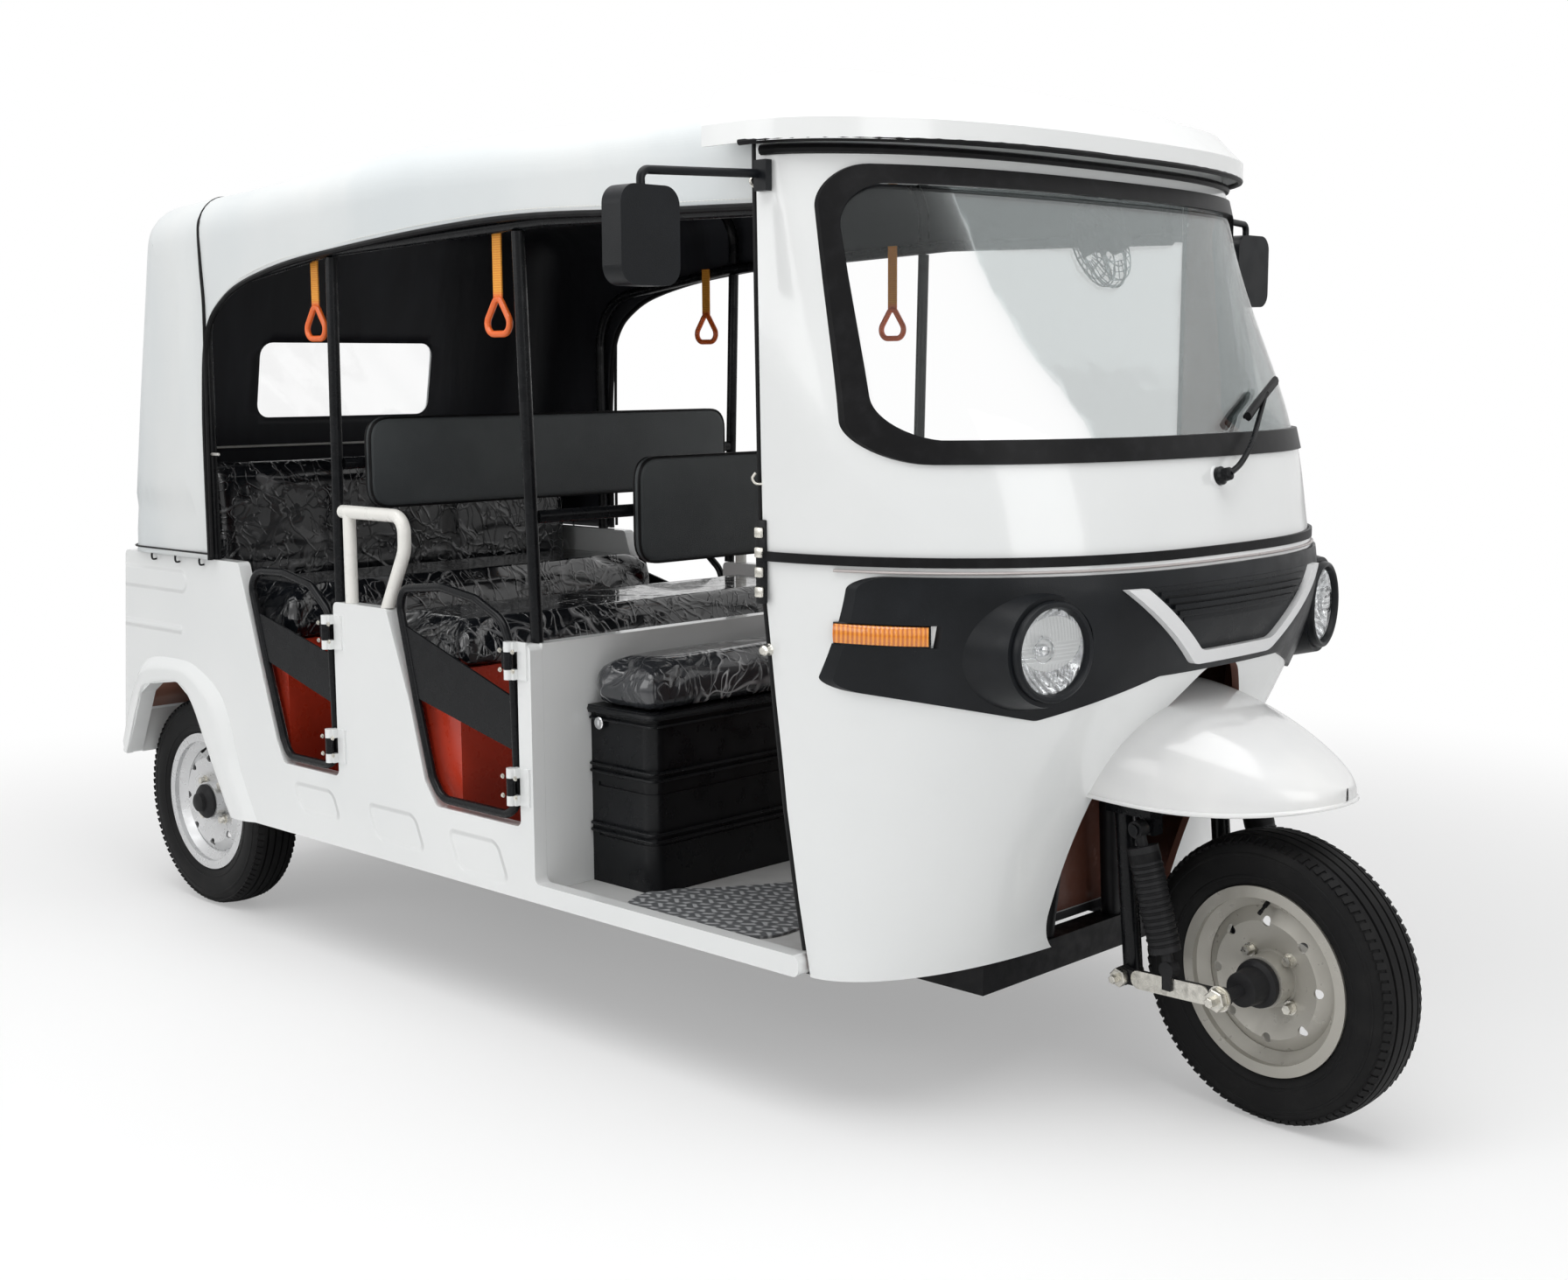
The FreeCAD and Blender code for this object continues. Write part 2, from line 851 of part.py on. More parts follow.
def mudguard_section(x, half, top, foot, foot_extra):
    points = []
    for i in range(section_points + 1):
        angle = math.pi * i / section_points
        c = math.cos(angle)
        s = math.sin(angle)
        y = math.copysign(half * abs(c) ** (2 / mudguard_power_share), c)
        z = foot + (top - foot) * s ** (2 / mudguard_power_share)
        points.append(Vector(x, y, z))
    curve = Part.BSplineCurve()
    curve.interpolate(points)
    low_left = Vector(x, points[0].y, foot - foot_extra)
    low_right = Vector(x, points[-1].y, foot - foot_extra)
    edges = [curve.toShape()]
    if foot_extra > 0:
        edges.append(Part.LineSegment(points[-1], low_right).toShape())
        edges.append(Part.LineSegment(low_right, low_left).toShape())
        edges.append(Part.LineSegment(low_left, points[0]).toShape())
    else:
        edges.append(Part.LineSegment(points[-1], points[0]).toShape())
    return Part.Wire(edges)


def mudguard():
    outer = mudguard_body(0, 0)
    inner = mudguard_body(mudguard_shell, overrun)
    guard = outer.cut(inner)
    guard = guard.cut(cowl_body("lower", -seat_gap))
    solids = sorted(guard.Solids, key=lambda s: s.Volume)
    return solids[-1]


# Roof cap and canopy

def cap_body(inset, extra):
    """The cap's outer form: a level lip that follows the cowl, then a low dome."""
    half, edge, nose = cab_line(cap_lip_height)
    back = station(cap_rear_back) - extra
    lip_half = half + cap_overhang - inset
    lip_nose = nose + cap_overhang * 2 - inset
    rise = roof_height - cap_lip_height
    levels = [(cap_lip_height - extra, lip_half, lip_nose),
              (cap_lip_height + cap_lip_band - inset, lip_half, lip_nose),
              (cap_lip_height + rise * cap_knee_height_share - inset,
               lip_half - cap_side_inset * cap_knee_side_share,
               lip_nose - cap_crown_inset * cap_knee_nose_share),
              (roof_height - inset, lip_half - cap_side_inset * cap_crown_side_share,
               lip_nose - cap_crown_inset)]
    wires = [cowl_section(z, w, edge, n, back) for z, w, n in levels]
    return Part.makeLoft(wires, True, True)


def roof_cap():
    shell = cap_body(0, 0).cut(cap_body(cap_wall, overrun))
    seat = cab_top_height + seat_gap
    board = block(station(doorway_back) + seat_gap, front_axle_x, -half_width * 2,
                  half_width * 2, seat, seat + cap_wall)
    return join([shell, cap_body(0, 0).common(board)])


def soften(body, half, radius):
    edges = []
    for edge in body.Edges:
        box = edge.BoundBox
        flat = box.YLength < hair and abs(abs(box.YMin) - half) < hair
        if flat and box.ZMax > waist_height + canopy_shoulder and box.XLength > hair:
            edges.append(edge)
    return body.makeFillet(radius, edges)


def canopy_form(inset):
    half = canopy_half_width - inset
    front = station(doorway_back)
    waist_x = station(canopy_foot_back) + inset
    foot = waist_height
    profile = [Vector(front, -half, canopy_height - inset),
               Vector(station(aft_post_back) + canopy_slope_lead, -half,
                      canopy_height - inset),
               Vector(station(canopy_rear_back) + canopy_rear_corner + inset, -half,
                      canopy_rear_height - inset),
               Vector(station(canopy_rear_back) + inset, -half,
                      canopy_rear_height - canopy_rear_corner - inset),
               Vector(waist_x, -half, foot)]
    edges = corner_edges(profile, canopy_rear_corner, False)
    edges.append(Part.LineSegment(profile[-1], Vector(front, -half, foot)).toShape())
    edges.append(Part.LineSegment(Vector(front, -half, foot), profile[0]).toShape())
    wire = Part.Wire(Part.__sortEdges__(edges))
    body = Part.Face(wire).extrude(Vector(0, 2 * half, 0))
    return soften(body, half, canopy_shoulder - inset)


def eave_pairs():
    front = station(doorway_back) + overrun
    return [(front, eave_height - eave_dip / 2), (station(fore_post_back), eave_height),
            (station(aft_post_back), eave_height - eave_dip),
            (station(canopy_side_back), eave_height - eave_rear_drop),
            (station(canopy_side_back), waist_height - eave_corner * 2),
            (front, waist_height - eave_corner * 2)]


def eave_cut():
    reach = canopy_half_width + overrun
    points = [Vector(x, -reach, z) for x, z in eave_pairs()]
    return plate(points, eave_corner, Vector(0, 2 * reach, 0))


def window_hole():
    outline = [(-window_half_width, window_foot), (window_half_width, window_foot),
               (window_half_width, window_head), (-window_half_width, window_head)]
    return front_plate(outline, window_corner, station(flap_back), station(canopy_side_back))


def canopy():
    outer = canopy_form(0)
    inner = canopy_form(canopy_wall)
    front_more = block(station(doorway_back) - overrun, station(doorway_back) + overrun,
                       -canopy_half_width + canopy_wall, canopy_half_width - canopy_wall,
                       waist_height, canopy_height - canopy_wall)
    cover = outer.cut(inner).cut(front_more)
    below = block(station(flap_back), station(doorway_back) + overrun, -half_width * 2,
                  half_width * 2, waist_height - overrun, waist_height + seat_gap)
    return cover.cut(below).cut(eave_cut()).cut(window_hole())


# Roof frame

def rail_side():
    return canopy_half_width - canopy_wall - tube_radius - seat_gap


def rail_pairs():
    back = canopy_side_back + tube_radius + seat_gap
    return [(doorway_back + cowl_wall, eave_height - eave_dip / 2),
            (fore_post_back, eave_height), (aft_post_back, eave_height - eave_dip),
            (back, eave_height - eave_rear_drop + tube_radius)]


def rail_height(back):
    """The height of the side rail's middle over a station."""
    pairs = rail_pairs()
    for (back0, z0), (back1, z1) in zip(pairs, pairs[1:]):
        if back0 <= back <= back1:
            return z0 + (z1 - z0) * (back - back0) / (back1 - back0)
    return pairs[0][1]


def side_rails():
    pairs = rail_pairs()
    pairs.append((pairs[-1][0], waist_height + seat_gap))
    rails = []
    for side in (-1, 1):
        points = [Vector(station(back), side * rail_side(), z) for back, z in pairs]
        rails.append(bent_tube(points, tube_radius, eave_corner - tube_radius))
    return group(rails)


def post_ends(which):
    """Foot and head of one right post's middle line, as station, half width and height."""
    if which == "fore":
        head = rail_height(fore_post_stand_back) - tube_radius - seat_gap * 2
        return ((fore_post_stand_back, fore_post_side, partition_height + firm_gap),
                (fore_post_stand_back, rail_side(), head))
    head_back = aft_post_back - post_lean
    head = rail_height(head_back) - tube_radius - firm_gap
    return ((aft_post_back, half_width - side_wall / 2, column_height + seat_gap * 2),
            (head_back, rail_side(), head))


def post_at(which, height):
    """Station and half width of a post's middle line at a height."""
    foot, head = post_ends(which)
    share = (height - foot[2]) / (head[2] - foot[2])
    return [a + (b - a) * share for a, b in zip(foot[:2], head[:2])]


def posts():
    shapes = []
    for side in (-1, 1):
        for which in ("fore", "aft"):
            ends = [Vector(station(back), side * y, z) for back, y, z in post_ends(which)]
            shapes.append(rod(ends[0], ends[1], tube_radius))
    return group(shapes)


def roof_line(back):
    """The canopy's outer height over a station."""
    level_end = aft_post_back - canopy_slope_lead
    slope_end = canopy_rear_back - canopy_rear_corner
    share = min(max((back - level_end) / (slope_end - level_end), 0), 1)
    return canopy_height + (canopy_rear_height - canopy_height) * share


def bow(back):
    """A roof bow: up from the rail, across under the canopy, and down to the other rail."""
    side = rail_side()
    x = station(back)
    height = roof_line(back + tube_radius)
    top = height - canopy_wall - tube_radius - seat_gap
    crest = max(rail_height(back - tube_radius), rail_height(back + tube_radius))
    low = crest + tube_radius + seat_gap
    points = [Vector(x, -side, low), Vector(x, -side, top), Vector(x, side, top),
              Vector(x, side, low)]
    return bent_tube(points, tube_radius, canopy_shoulder)


def roof_bows():
    shapes = []
    backs = (doorway_back + tube_radius * 2, fore_post_stand_back, aft_post_back - post_lean)
    for back in backs:
        shapes.append(bow(back))
    heights = (("fore", driver_backrest_foot, driver_backrest_head),
               ("aft", middle_backrest_foot, middle_backrest_head))
    for which, foot, head in heights:
        z = (foot + head) / 2
        back, side = post_at(which, z)
        reach = side - tube_radius - firm_gap
        shapes.append(across(station(back), z, -reach, reach, tube_radius))
    return group(shapes)


# Body

def door_pairs(backs, heights):
    return [(station(back), z) for back, z in zip(backs, heights)]


def side_outline():
    """The side wall from the sill up, with both door gaps cut from above."""
    fore = door_pairs(fore_door_backs, fore_door_heights)[:door_gap_corners]
    aft = door_pairs(aft_door_backs, aft_door_heights)[:door_gap_corners]
    arch = arch_pairs()
    return [(station(threshold_front_back), sill_height),
            (station(threshold_front_back), threshold_height),
            (station(end_column_back), threshold_height),
            (station(end_column_back), partition_height),
            (fore[0][0], partition_height)] + fore + [
                (station(fore_gap_head_back), column_height),
                (aft[0][0], column_height)] + aft + [
                    (station(aft_gap_head_back), waist_height),
                    (station(waist_back), waist_height),
                    (station(flap_back), flap_height)] + arch


def side_wall_plate():
    return side_plate(side_outline(), side_corner, -half_width, -side_inner)


def hinge_places():
    places = []
    for back in (fore_door_front_back, aft_door_front_back):
        for z in (hinge_foot_height, hinge_head_height):
            places.append((station(back), z))
    return places


def hinge_y():
    return -half_width - hinge_standoff


def arch_pairs():
    return [(station(back), z) for back, z in zip(arch_backs, arch_heights)]


def arch_lip():
    """The raised band round the wheel arch."""
    outline = side_plate(side_outline(), side_corner, -half_width - arch_lip_proud,
                         -half_width + side_wall / 2)
    around = side_plate(inset_pairs(arch_pairs(), -arch_lip_wide), 0,
                        -half_width - arch_lip_proud, -half_width + side_wall / 2)
    return outline.common(around)


def side_right():
    parts = [side_wall_plate(), arch_lip(), arch_housing()]
    for x, z in hinge_places():
        parts += hinge_fixed(x, z)
    return join(parts)


def hinge_fixed(x, z):
    """The leaf, knuckles and pin that stay on the body."""
    play = hinge_play
    foot = z + (hinge_leaf_high - hinge_sleeve_high) / 2
    head = foot + hinge_sleeve_high
    top = z + hinge_leaf_high
    edge = x + hinge_leaf_ahead
    parts = [block(edge, edge + hinge_leaf_wide, -half_width, -half_width - hinge_leaf_thick,
                   z, top),
             rod(Vector(x, hinge_y(), z), Vector(x, hinge_y(), top), hinge_pin_radius)]
    for low, high in ((z, foot - play), (head + play, top)):
        parts.append(rod(Vector(x, hinge_y(), low), Vector(x, hinge_y(), high),
                         hinge_sleeve_radius))
        parts.append(block(x, edge, -half_width, hinge_y(), low, high))
    return parts


def housing_space(clear):
    """The room that the right wheel housing takes, grown by a clearance."""
    return across(rear_axle_x, tyre_radius, -half_width, -side_inner + arch_depth + clear,
                  arch_housing_radius + arch_sheet + clear)


def arch_housing():
    """The wheel housing inside the body, open below."""
    inner_y = -side_inner + arch_depth
    shell = across(rear_axle_x, tyre_radius, -side_inner, inner_y,
                   arch_housing_radius + arch_sheet)
    hollow = across(rear_axle_x, tyre_radius, -side_inner - overrun, inner_y - arch_sheet,
                    arch_housing_radius)
    below = block(rear_axle_x - wheelbase, rear_axle_x + wheelbase, -half_width, half_width,
                  -sill_height, arch_housing_foot)
    return shell.cut(hollow).cut(below).common(ahead_of_rear_wall(side_wall + seat_gap))


def rear_wall_back(height):
    """The station of the rear panel's outer face at a height."""
    share = (height - flap_height) / (waist_height - flap_height)
    return flap_back + (waist_back - flap_back) * share


def ahead_of_rear_wall(clear):
    """The room ahead of the rear panel's outer face, less a clearance."""
    low = 0
    high = waist_height + overrun
    pairs = [(station(rear_wall_back(low)) + clear, low),
             (station(rear_wall_back(high)) + clear, high),
             (front_axle_x, high), (front_axle_x, low)]
    return side_plate(pairs, 0, -half_width - overrun, half_width + overrun)


def rear_panel():
    reach = side_inner - seat_gap
    outline = [(station(waist_back), waist_height), (station(flap_back), flap_height),
               (station(flap_back) + side_wall, flap_height),
               (station(waist_back) + side_wall, waist_height)]
    body = side_plate(outline, 0, -reach, reach)
    for side in (-1, 1):
        y = side * plate_hole_spacing / 2
        body = body.cut(rod(Vector(station(flap_back), y, plate_hole_height),
                            Vector(station(waist_back) + side_wall * 2, y, plate_hole_height),
                            plate_hole_radius))
    return body


def floor_pan():
    """The cab and cabin floor, its step up at the rear and the raised part over the axle."""
    reach = side_inner - seat_gap
    rise = station(floor_rise_back)
    low = block(station(threshold_front_back), rise, -reach, reach, sill_height, floor_top)
    step = block(rise, rise + floor_thickness, -reach, reach, sill_height, rear_floor_top)
    rear = block(rise, station(flap_back), -reach, reach, rear_floor_height, rear_floor_top)
    rear = rear.cut(housing_space(seat_gap)).cut(mirrored(housing_space(seat_gap)))
    rear = rear.common(ahead_of_rear_wall(side_wall + seat_gap))
    nose = block(station(threshold_front_back), station(bulkhead_back) + bulkhead_thickness,
                 -reach, reach, sill_height, floor_top)
    nose = nose.common(cowl_body("lower", cowl_wall + seat_gap))
    return join([low, step, rear, nose])


def bulkhead():
    """The wall ahead of the driver's feet, between the cowl's sides."""
    x = station(bulkhead_back)
    wall = block(x, x + bulkhead_thickness, -half_width, half_width, floor_top + seat_gap,
                 bulkhead_height)
    return wall.common(cowl_body("lower", cowl_wall + seat_gap))


def dashboard():
    """The shelf over the bulkhead, out to the cowl, with a hole for the steering stem."""
    foot = bulkhead_height + seat_gap
    shelf = block(station(bulkhead_back) - dashboard_lip, front_axle_x, -half_width, half_width,
                  foot, foot + dashboard_thick)
    shelf = shelf.common(cowl_body("lower", cowl_wall + seat_gap))
    return shelf.cut(rod(axis_point(head_tube_top), axis_point(stem_top),
                         stem_radius + dashboard_hole_clear))


def partition():
    reach = side_inner - seat_gap
    x = station(end_column_back)
    return block(x, x - partition_thickness, -reach, reach, floor_top + seat_gap,
                 partition_height)


# Seats

def cushion(x_front, x_rear, half, foot, high, corner):
    body = block(x_front, x_rear, -half, half, foot, foot + high)
    edges = [e for e in body.Edges if e.BoundBox.ZMin > foot + high / 2
             or e.BoundBox.ZLength > high / 2]
    return body.makeFillet(corner, edges)


def round_uprights(body, x_from, radius):
    """Rounds a block's upright edges ahead of a station."""
    edges = [e for e in body.Edges if e.BoundBox.XMin > x_from
             and e.BoundBox.XLength < e.BoundBox.ZLength and e.BoundBox.YLength < e.BoundBox.ZLength]
    return body.makeFillet(radius, edges)


def box_groove(x_front, x_rear, half, z):
    """A level groove round the front and both sides of the driver's box."""
    deep = box_groove_deep
    ring = block(x_front + overrun, x_rear + overrun, -half - overrun, half + overrun, z,
                 z + box_groove_high)
    core = block(x_front - deep, x_rear, -half + deep, half - deep, z, z + box_groove_high)
    return ring.cut(round_uprights(core, x_rear + overrun, driver_box_corner - deep))


def driver_box():
    x_front = station(driver_box_front_back)
    x_rear = station(end_column_back) + seat_gap
    half = driver_box_half_width
    wall = driver_box_wall
    foot = floor_top + seat_gap
    middle = (x_front + x_rear) / 2
    outer = block(x_front, x_rear, -half, half, foot, driver_box_height)
    outer = round_uprights(outer, middle, driver_box_corner)
    hollow = block(x_front - wall, x_rear + wall, -half + wall, half - wall, foot + wall,
                   driver_box_height + overrun)
    hollow = round_uprights(hollow, middle, driver_box_corner - wall)
    lid = block(x_front + wall, x_rear, -half - wall, half + wall, driver_box_height,
                driver_box_height + driver_lid)
    lid = round_uprights(lid, middle, driver_box_corner + wall)
    shell = outer.cut(hollow)
    for z in box_groove_heights:
        shell = shell.cut(box_groove(x_front, x_rear, half, z))
    return join([shell, lid])


def driver_cushion():
    over = driver_cushion_overhang
    x_rear = station(end_column_back) + seat_gap
    return cushion(station(driver_box_front_back) + over, x_rear,
                   driver_box_half_width + over, driver_box_height + driver_lid + seat_gap,
                   driver_cushion_high, cushion_corner)


def battery_pack():
    x_mid = (station(driver_box_front_back) + station(end_column_back)) / 2
    foot = floor_top + seat_gap + driver_box_wall
    return block(x_mid - battery_long / 2, x_mid + battery_long / 2, -battery_half_width,
                 battery_half_width, foot, foot + battery_high)


def bench(front, rear):
    half = bench_half_width
    board = bench_board
    outer = block(front, rear, -half, half, floor_top + seat_gap, seat_base_height)
    hollow = block(front - board, rear + board, -half + board, half - board,
                   floor_top - overrun, seat_base_height - board)
    return outer.cut(hollow)


def benches():
    middle = bench(station(middle_bench_front_back), station(middle_bench_rear_back))
    rear = bench(station(rear_bench_front_back), station(rear_bench_rear_back))
    step = block(station(floor_rise_back) + floor_thickness + seat_gap, station(flap_back),
                 -half_width, half_width, sill_height, rear_floor_top + seat_gap)
    for room in (step, housing_space(seat_gap), mirrored(housing_space(seat_gap))):
        rear = rear.cut(room)
    return group([middle, rear.Solids[0]])


def bench_cushions():
    middle = cushion(station(middle_bench_front_back) + cushion_overhang,
                     station(middle_bench_rear_back), bench_half_width,
                     seat_base_height + seat_gap, middle_cushion_high, cushion_corner)
    rear = cushion(station(rear_bench_front_back) + cushion_overhang,
                   station(rear_bench_rear_back) + rear_backrest_thick + seat_gap,
                   bench_half_width, seat_base_height + seat_gap, rear_cushion_high,
                   cushion_corner)
    return group([middle, rear])


def backrest_board(x, half, foot, head):
    outline = [(-half, foot), (half, foot), (half, head), (-half, head)]
    return front_plate(outline, backrest_corner, x, x + backrest_thick)


def bench_backrests():
    middle_z = (middle_backrest_foot + middle_backrest_head) / 2
    x = station(post_at("aft", middle_z)[0]) + tube_radius + seat_gap
    middle = backrest_board(x, middle_backrest_half_width, middle_backrest_foot,
                            middle_backrest_head)
    rear_x = station(rear_bench_rear_back)
    rear = block(rear_x, rear_x + rear_backrest_thick, -bench_half_width, bench_half_width,
                 seat_base_height + seat_gap, rear_backrest_head)
    return group([middle, rear])


def driver_backrest():
    x = station(fore_post_stand_back) + tube_radius + seat_gap
    return backrest_board(x, driver_backrest_half_width, driver_backrest_foot,
                          driver_backrest_head)


# Handles, rings and mirrors

def grab_handle(side):
    """A hoop from the post over to the column's front, with a leg beside the post."""
    y = side * (half_width - side_wall / 2)
    top = handle_height - handle_radius
    rear = station(post_at("aft", top)[0]) + tube_radius + seat_gap
    slope = (handle_foot_back - handle_front_back) / (handle_knee_height - column_height)
    low = column_height - overrun
    hoop = bent_tube([Vector(rear, y, top), Vector(station(handle_front_back), y, top),
                      Vector(station(handle_front_back), y, handle_knee_height),
                      Vector(station(handle_foot_back + slope * overrun), y, low)],
                     handle_radius, handle_bend)
    leg = rod(Vector(station(handle_leg_back), y, low), Vector(station(handle_leg_back), y, top),
              handle_radius)
    below = block(rear, station(handle_front_back), -half_width, half_width, sill_height,
                  column_height + seat_gap)
    return join([hoop, leg]).cut(below)


def grab_handles():
    return group([grab_handle(-1), grab_handle(1)])


def hand_ring(back, side):
    """A ring on a strap that lies against the side rail's inner face."""
    x = station(back)
    y = side * (rail_side() - tube_radius - seat_gap - strap_thick / 2)
    top = eave_height - ring_drop + ring_high
    points = [Vector(x - ring_half_width, y, top - ring_high),
              Vector(x + ring_half_width, y, top - ring_high),
              Vector(x + ring_radius, y, top),
              Vector(x - ring_radius, y, top)]
    ring = bent_tube(points, ring_radius, ring_corner, True)
    strap = block(x - strap_wide / 2, x + strap_wide / 2, y - strap_thick / 2,
                  y + strap_thick / 2, top, rail_height(back) + tube_radius)
    return join([ring, strap])


def hand_rings():
    rings = []
    for side in (-1, 1):
        for back in (ring_fore_back, ring_aft_back):
            rings.append(hand_ring(back, side))
    return group(rings)


def mirror(side):
    """An arm from the cab's upper side, bent down to the mirror's housing."""
    half, edge = cab_line(mirror_height)[:2]
    x_arm = edge + mirror_arm_radius * 2
    start = Vector(x_arm, side * (half + firm_gap), mirror_height + mirror_arm_radius)
    knuckle = Vector(x_arm - mirror_arm_set_back, side * mirror_reach, mirror_height)
    down = knuckle - Vector(0, 0, mirror_drop / 2)
    arm = bent_tube([start, knuckle, down], mirror_arm_radius, mirror_arm_radius * 2)
    foot = block(edge + mirror_arm_radius, edge + mirror_arm_radius + mirror_foot_long,
                 side * (half + seat_gap), side * (half + mirror_arm_radius * 2),
                 mirror_height - mirror_foot_drop, mirror_height + mirror_foot_long)
    foot = foot.cut(cowl_body("upper", -seat_gap * 2))
    centre_z = mirror_height - mirror_drop
    wide = mirror_head_wide / 2
    high = mirror_head_high / 2
    middle = side * mirror_reach
    outline = [(middle - wide, centre_z - high), (middle + wide, centre_z - high),
               (middle + wide, centre_z + high), (middle - wide, centre_z + high)]
    x_head = knuckle.x - mirror_head_deep / 2
    head = front_plate(outline, mirror_corner, x_head, x_head + mirror_head_deep)
    return join([arm, foot.Solids[0], head])


def mirrors():
    return group([mirror(-1), mirror(1)])


# Chassis

def rail_profile():
    """The side view of a rail: low under the cabin, raised over the rear axle."""
    front = station(rail_front_back)
    rise_low = station(floor_rise_back) - seat_gap
    rise_high = rise_low - rail_rise
    rear = station(rail_rear_back)
    top = sill_height - seat_gap
    rear_top = rear_floor_height - seat_gap
    upper = [(front, top), (rise_low, top), (rise_high, rear_top), (rear, rear_top)]
    lower = [(rear, rear_top - rail_high), (rise_high - rail_wide / 2, rear_top - rail_high),
             (rise_low - rail_wide / 2, top - rail_high), (front, top - rail_high)]
    return upper + lower


def cross_member(x, toward, top):
    return block(x, x + toward * rail_wide, -rail_side_chassis, rail_side_chassis,
                 top - rail_high, top)


def neck(side, start_side, knee_height, height, share):
    """One bent tube from the front cross member up behind the fork to the head tube."""
    foot = Vector(station(rail_front_back) - rail_wide / 2, side * start_side,
                  sill_height - rail_high / 2)
    knee = Vector(station(neck_knee_back), side * start_side * neck_knee_share, knee_height)
    head = axis_point(height) + Vector(-neck_radius, side * neck_radius * share, 0)
    return bent_tube([foot, knee, head], neck_radius, neck_bend)


def chassis_frame():
    top = sill_height - seat_gap
    parts = []
    for side in (-1, 1):
        y = side * rail_side_chassis
        parts.append(side_plate(rail_profile(), 0, y - rail_wide / 2, y + rail_wide / 2))
    pitch = (rail_low_end_back - rail_front_back) / (cross_count - 1)
    for i in range(cross_count):
        toward = 1 if i == cross_count - 1 else -1
        parts.append(cross_member(station(rail_front_back + pitch * i), toward, top))
    parts.append(cross_member(station(rail_rear_back), 1, rear_floor_height - seat_gap))
    for side in (-1, 1):
        parts.append(neck(side, neck_low_side, neck_low_knee,
                          head_tube_foot + head_tube_radius, 1))
        parts.append(neck(side, neck_high_side, neck_high_knee,
                          head_tube_top - head_tube_radius, neck_high_spread_share))
    parts.append(rod(axis_point(head_tube_foot), axis_point(head_tube_top), head_tube_radius))
    bore = rod(axis_point(head_tube_foot - overrun), axis_point(head_tube_top + overrun),
               stem_radius + stem_clearance)
    return join(parts).cut(bore)


def axis_point(height):
    return Vector(steer_point.x - math.tan(rake) * height, 0, height)


# Steering

def fork():
    stem = rod(axis_point(crown_height), axis_point(stem_top), stem_radius)
    crown_front = station(shock_top_back) + shock_eye_radius + crown_margin
    crown_rear = station(leg_top_back) - leg_radius - crown_margin
    reach = leg_side + leg_radius + crown_margin
    crown = block(crown_rear, crown_front, -reach, reach, crown_height - crown_thick,
                  crown_height)
    parts = [stem, crown]
    for side in (-1, 1):
        top = Vector(station(leg_top_back), side * leg_side, crown_height - crown_thick / 2)
        foot = Vector(station(leg_foot_back), side * leg_side, link_pivot_height)
        parts.append(rod(top, foot, leg_radius))
        pivot_out = side * (leg_side + leg_radius + link_thick + seat_gap)
        parts.append(rod(Vector(foot.x, side * (leg_side - leg_radius), foot.z),
                         Vector(foot.x, pivot_out + side * link_thick, foot.z), axle_radius))
        eye_out = side * (shock_side + shock_eye_radius)
        bolt_z = shock_top_height
        parts.append(rod(Vector(station(shock_top_back), side * (leg_side - leg_radius), bolt_z),
                         Vector(station(shock_top_back), eye_out, bolt_z), axle_radius))
        parts.append(block(station(shock_top_back) - shock_eye_radius,
                           station(shock_top_back) + shock_eye_radius,
                           side * (leg_side - leg_radius), side * (leg_side + shock_bracket_side),
                           bolt_z - shock_eye_radius, crown_height - crown_thick / 2))
    return steered(join(parts))


def link(side):
    y0 = side * (leg_side + leg_radius + seat_gap)
    y1 = y0 + side * link_thick
    pivot = Vector(station(leg_foot_back), y0, link_pivot_height)
    axle = Vector(front_axle_x, y0, tyre_radius)
    push = Vector(0, y1 - y0, 0)
    half = link_wide / 2
    parts = []
    for point in (pivot, axle):
        parts.append(rod(point, point + push, half))
    along = (axle - pivot).normalize()
    up = Vector(-along.z, 0, along.x) * (half * link_waist_share)
    parts.append(plate([pivot - up, axle - up, axle + up, pivot + up], 0, push))
    body = join(parts)
    return body.cut(rod(pivot - push, pivot + push * 2, axle_radius + axle_clearance))


def shock(side):
    y = side * shock_side
    top = Vector(station(shock_top_back), y, shock_top_height)
    foot = Vector(station(shock_eye_back), y, shock_eye_height + shock_eye_radius * 2)
    along = (top - foot).normalize()
    low = foot + along * shock_eye_radius * 2
    high = top - along * shock_eye_radius * 2
    eye_half = shock_eye_half_wide
    parts = [rod(foot, top, shock_rod_radius), rod(low, high, spring_radius)]
    for point in (top, foot):
        parts.append(rod(point - Vector(0, eye_half, 0), point + Vector(0, eye_half, 0),
                         shock_eye_radius))
    body = join(parts)
    bolt = rod(top - Vector(0, overrun * 2, 0), top + Vector(0, overrun * 2, 0),
               axle_radius + axle_clearance)
    return body.cut(bolt)


def front_suspension():
    """The leading links with their spring units, and the axle between them."""
    y_in = leg_side + leg_radius + seat_gap
    parts = []
    for side in (-1, 1):
        lug_x = station(shock_eye_back)
        lug = block(lug_x - lug_half_long, lug_x + lug_half_long,
                    side * y_in, side * (shock_side + shock_eye_half_wide),
                    shock_eye_height - lug_drop,
                    shock_eye_height + shock_eye_radius * 2)
        parts += [link(side), shock(side), lug]
    reach = y_in + link_thick * 2
    parts.append(across(front_axle_x, tyre_radius, -reach, reach, axle_radius))
    return steered(join(parts))


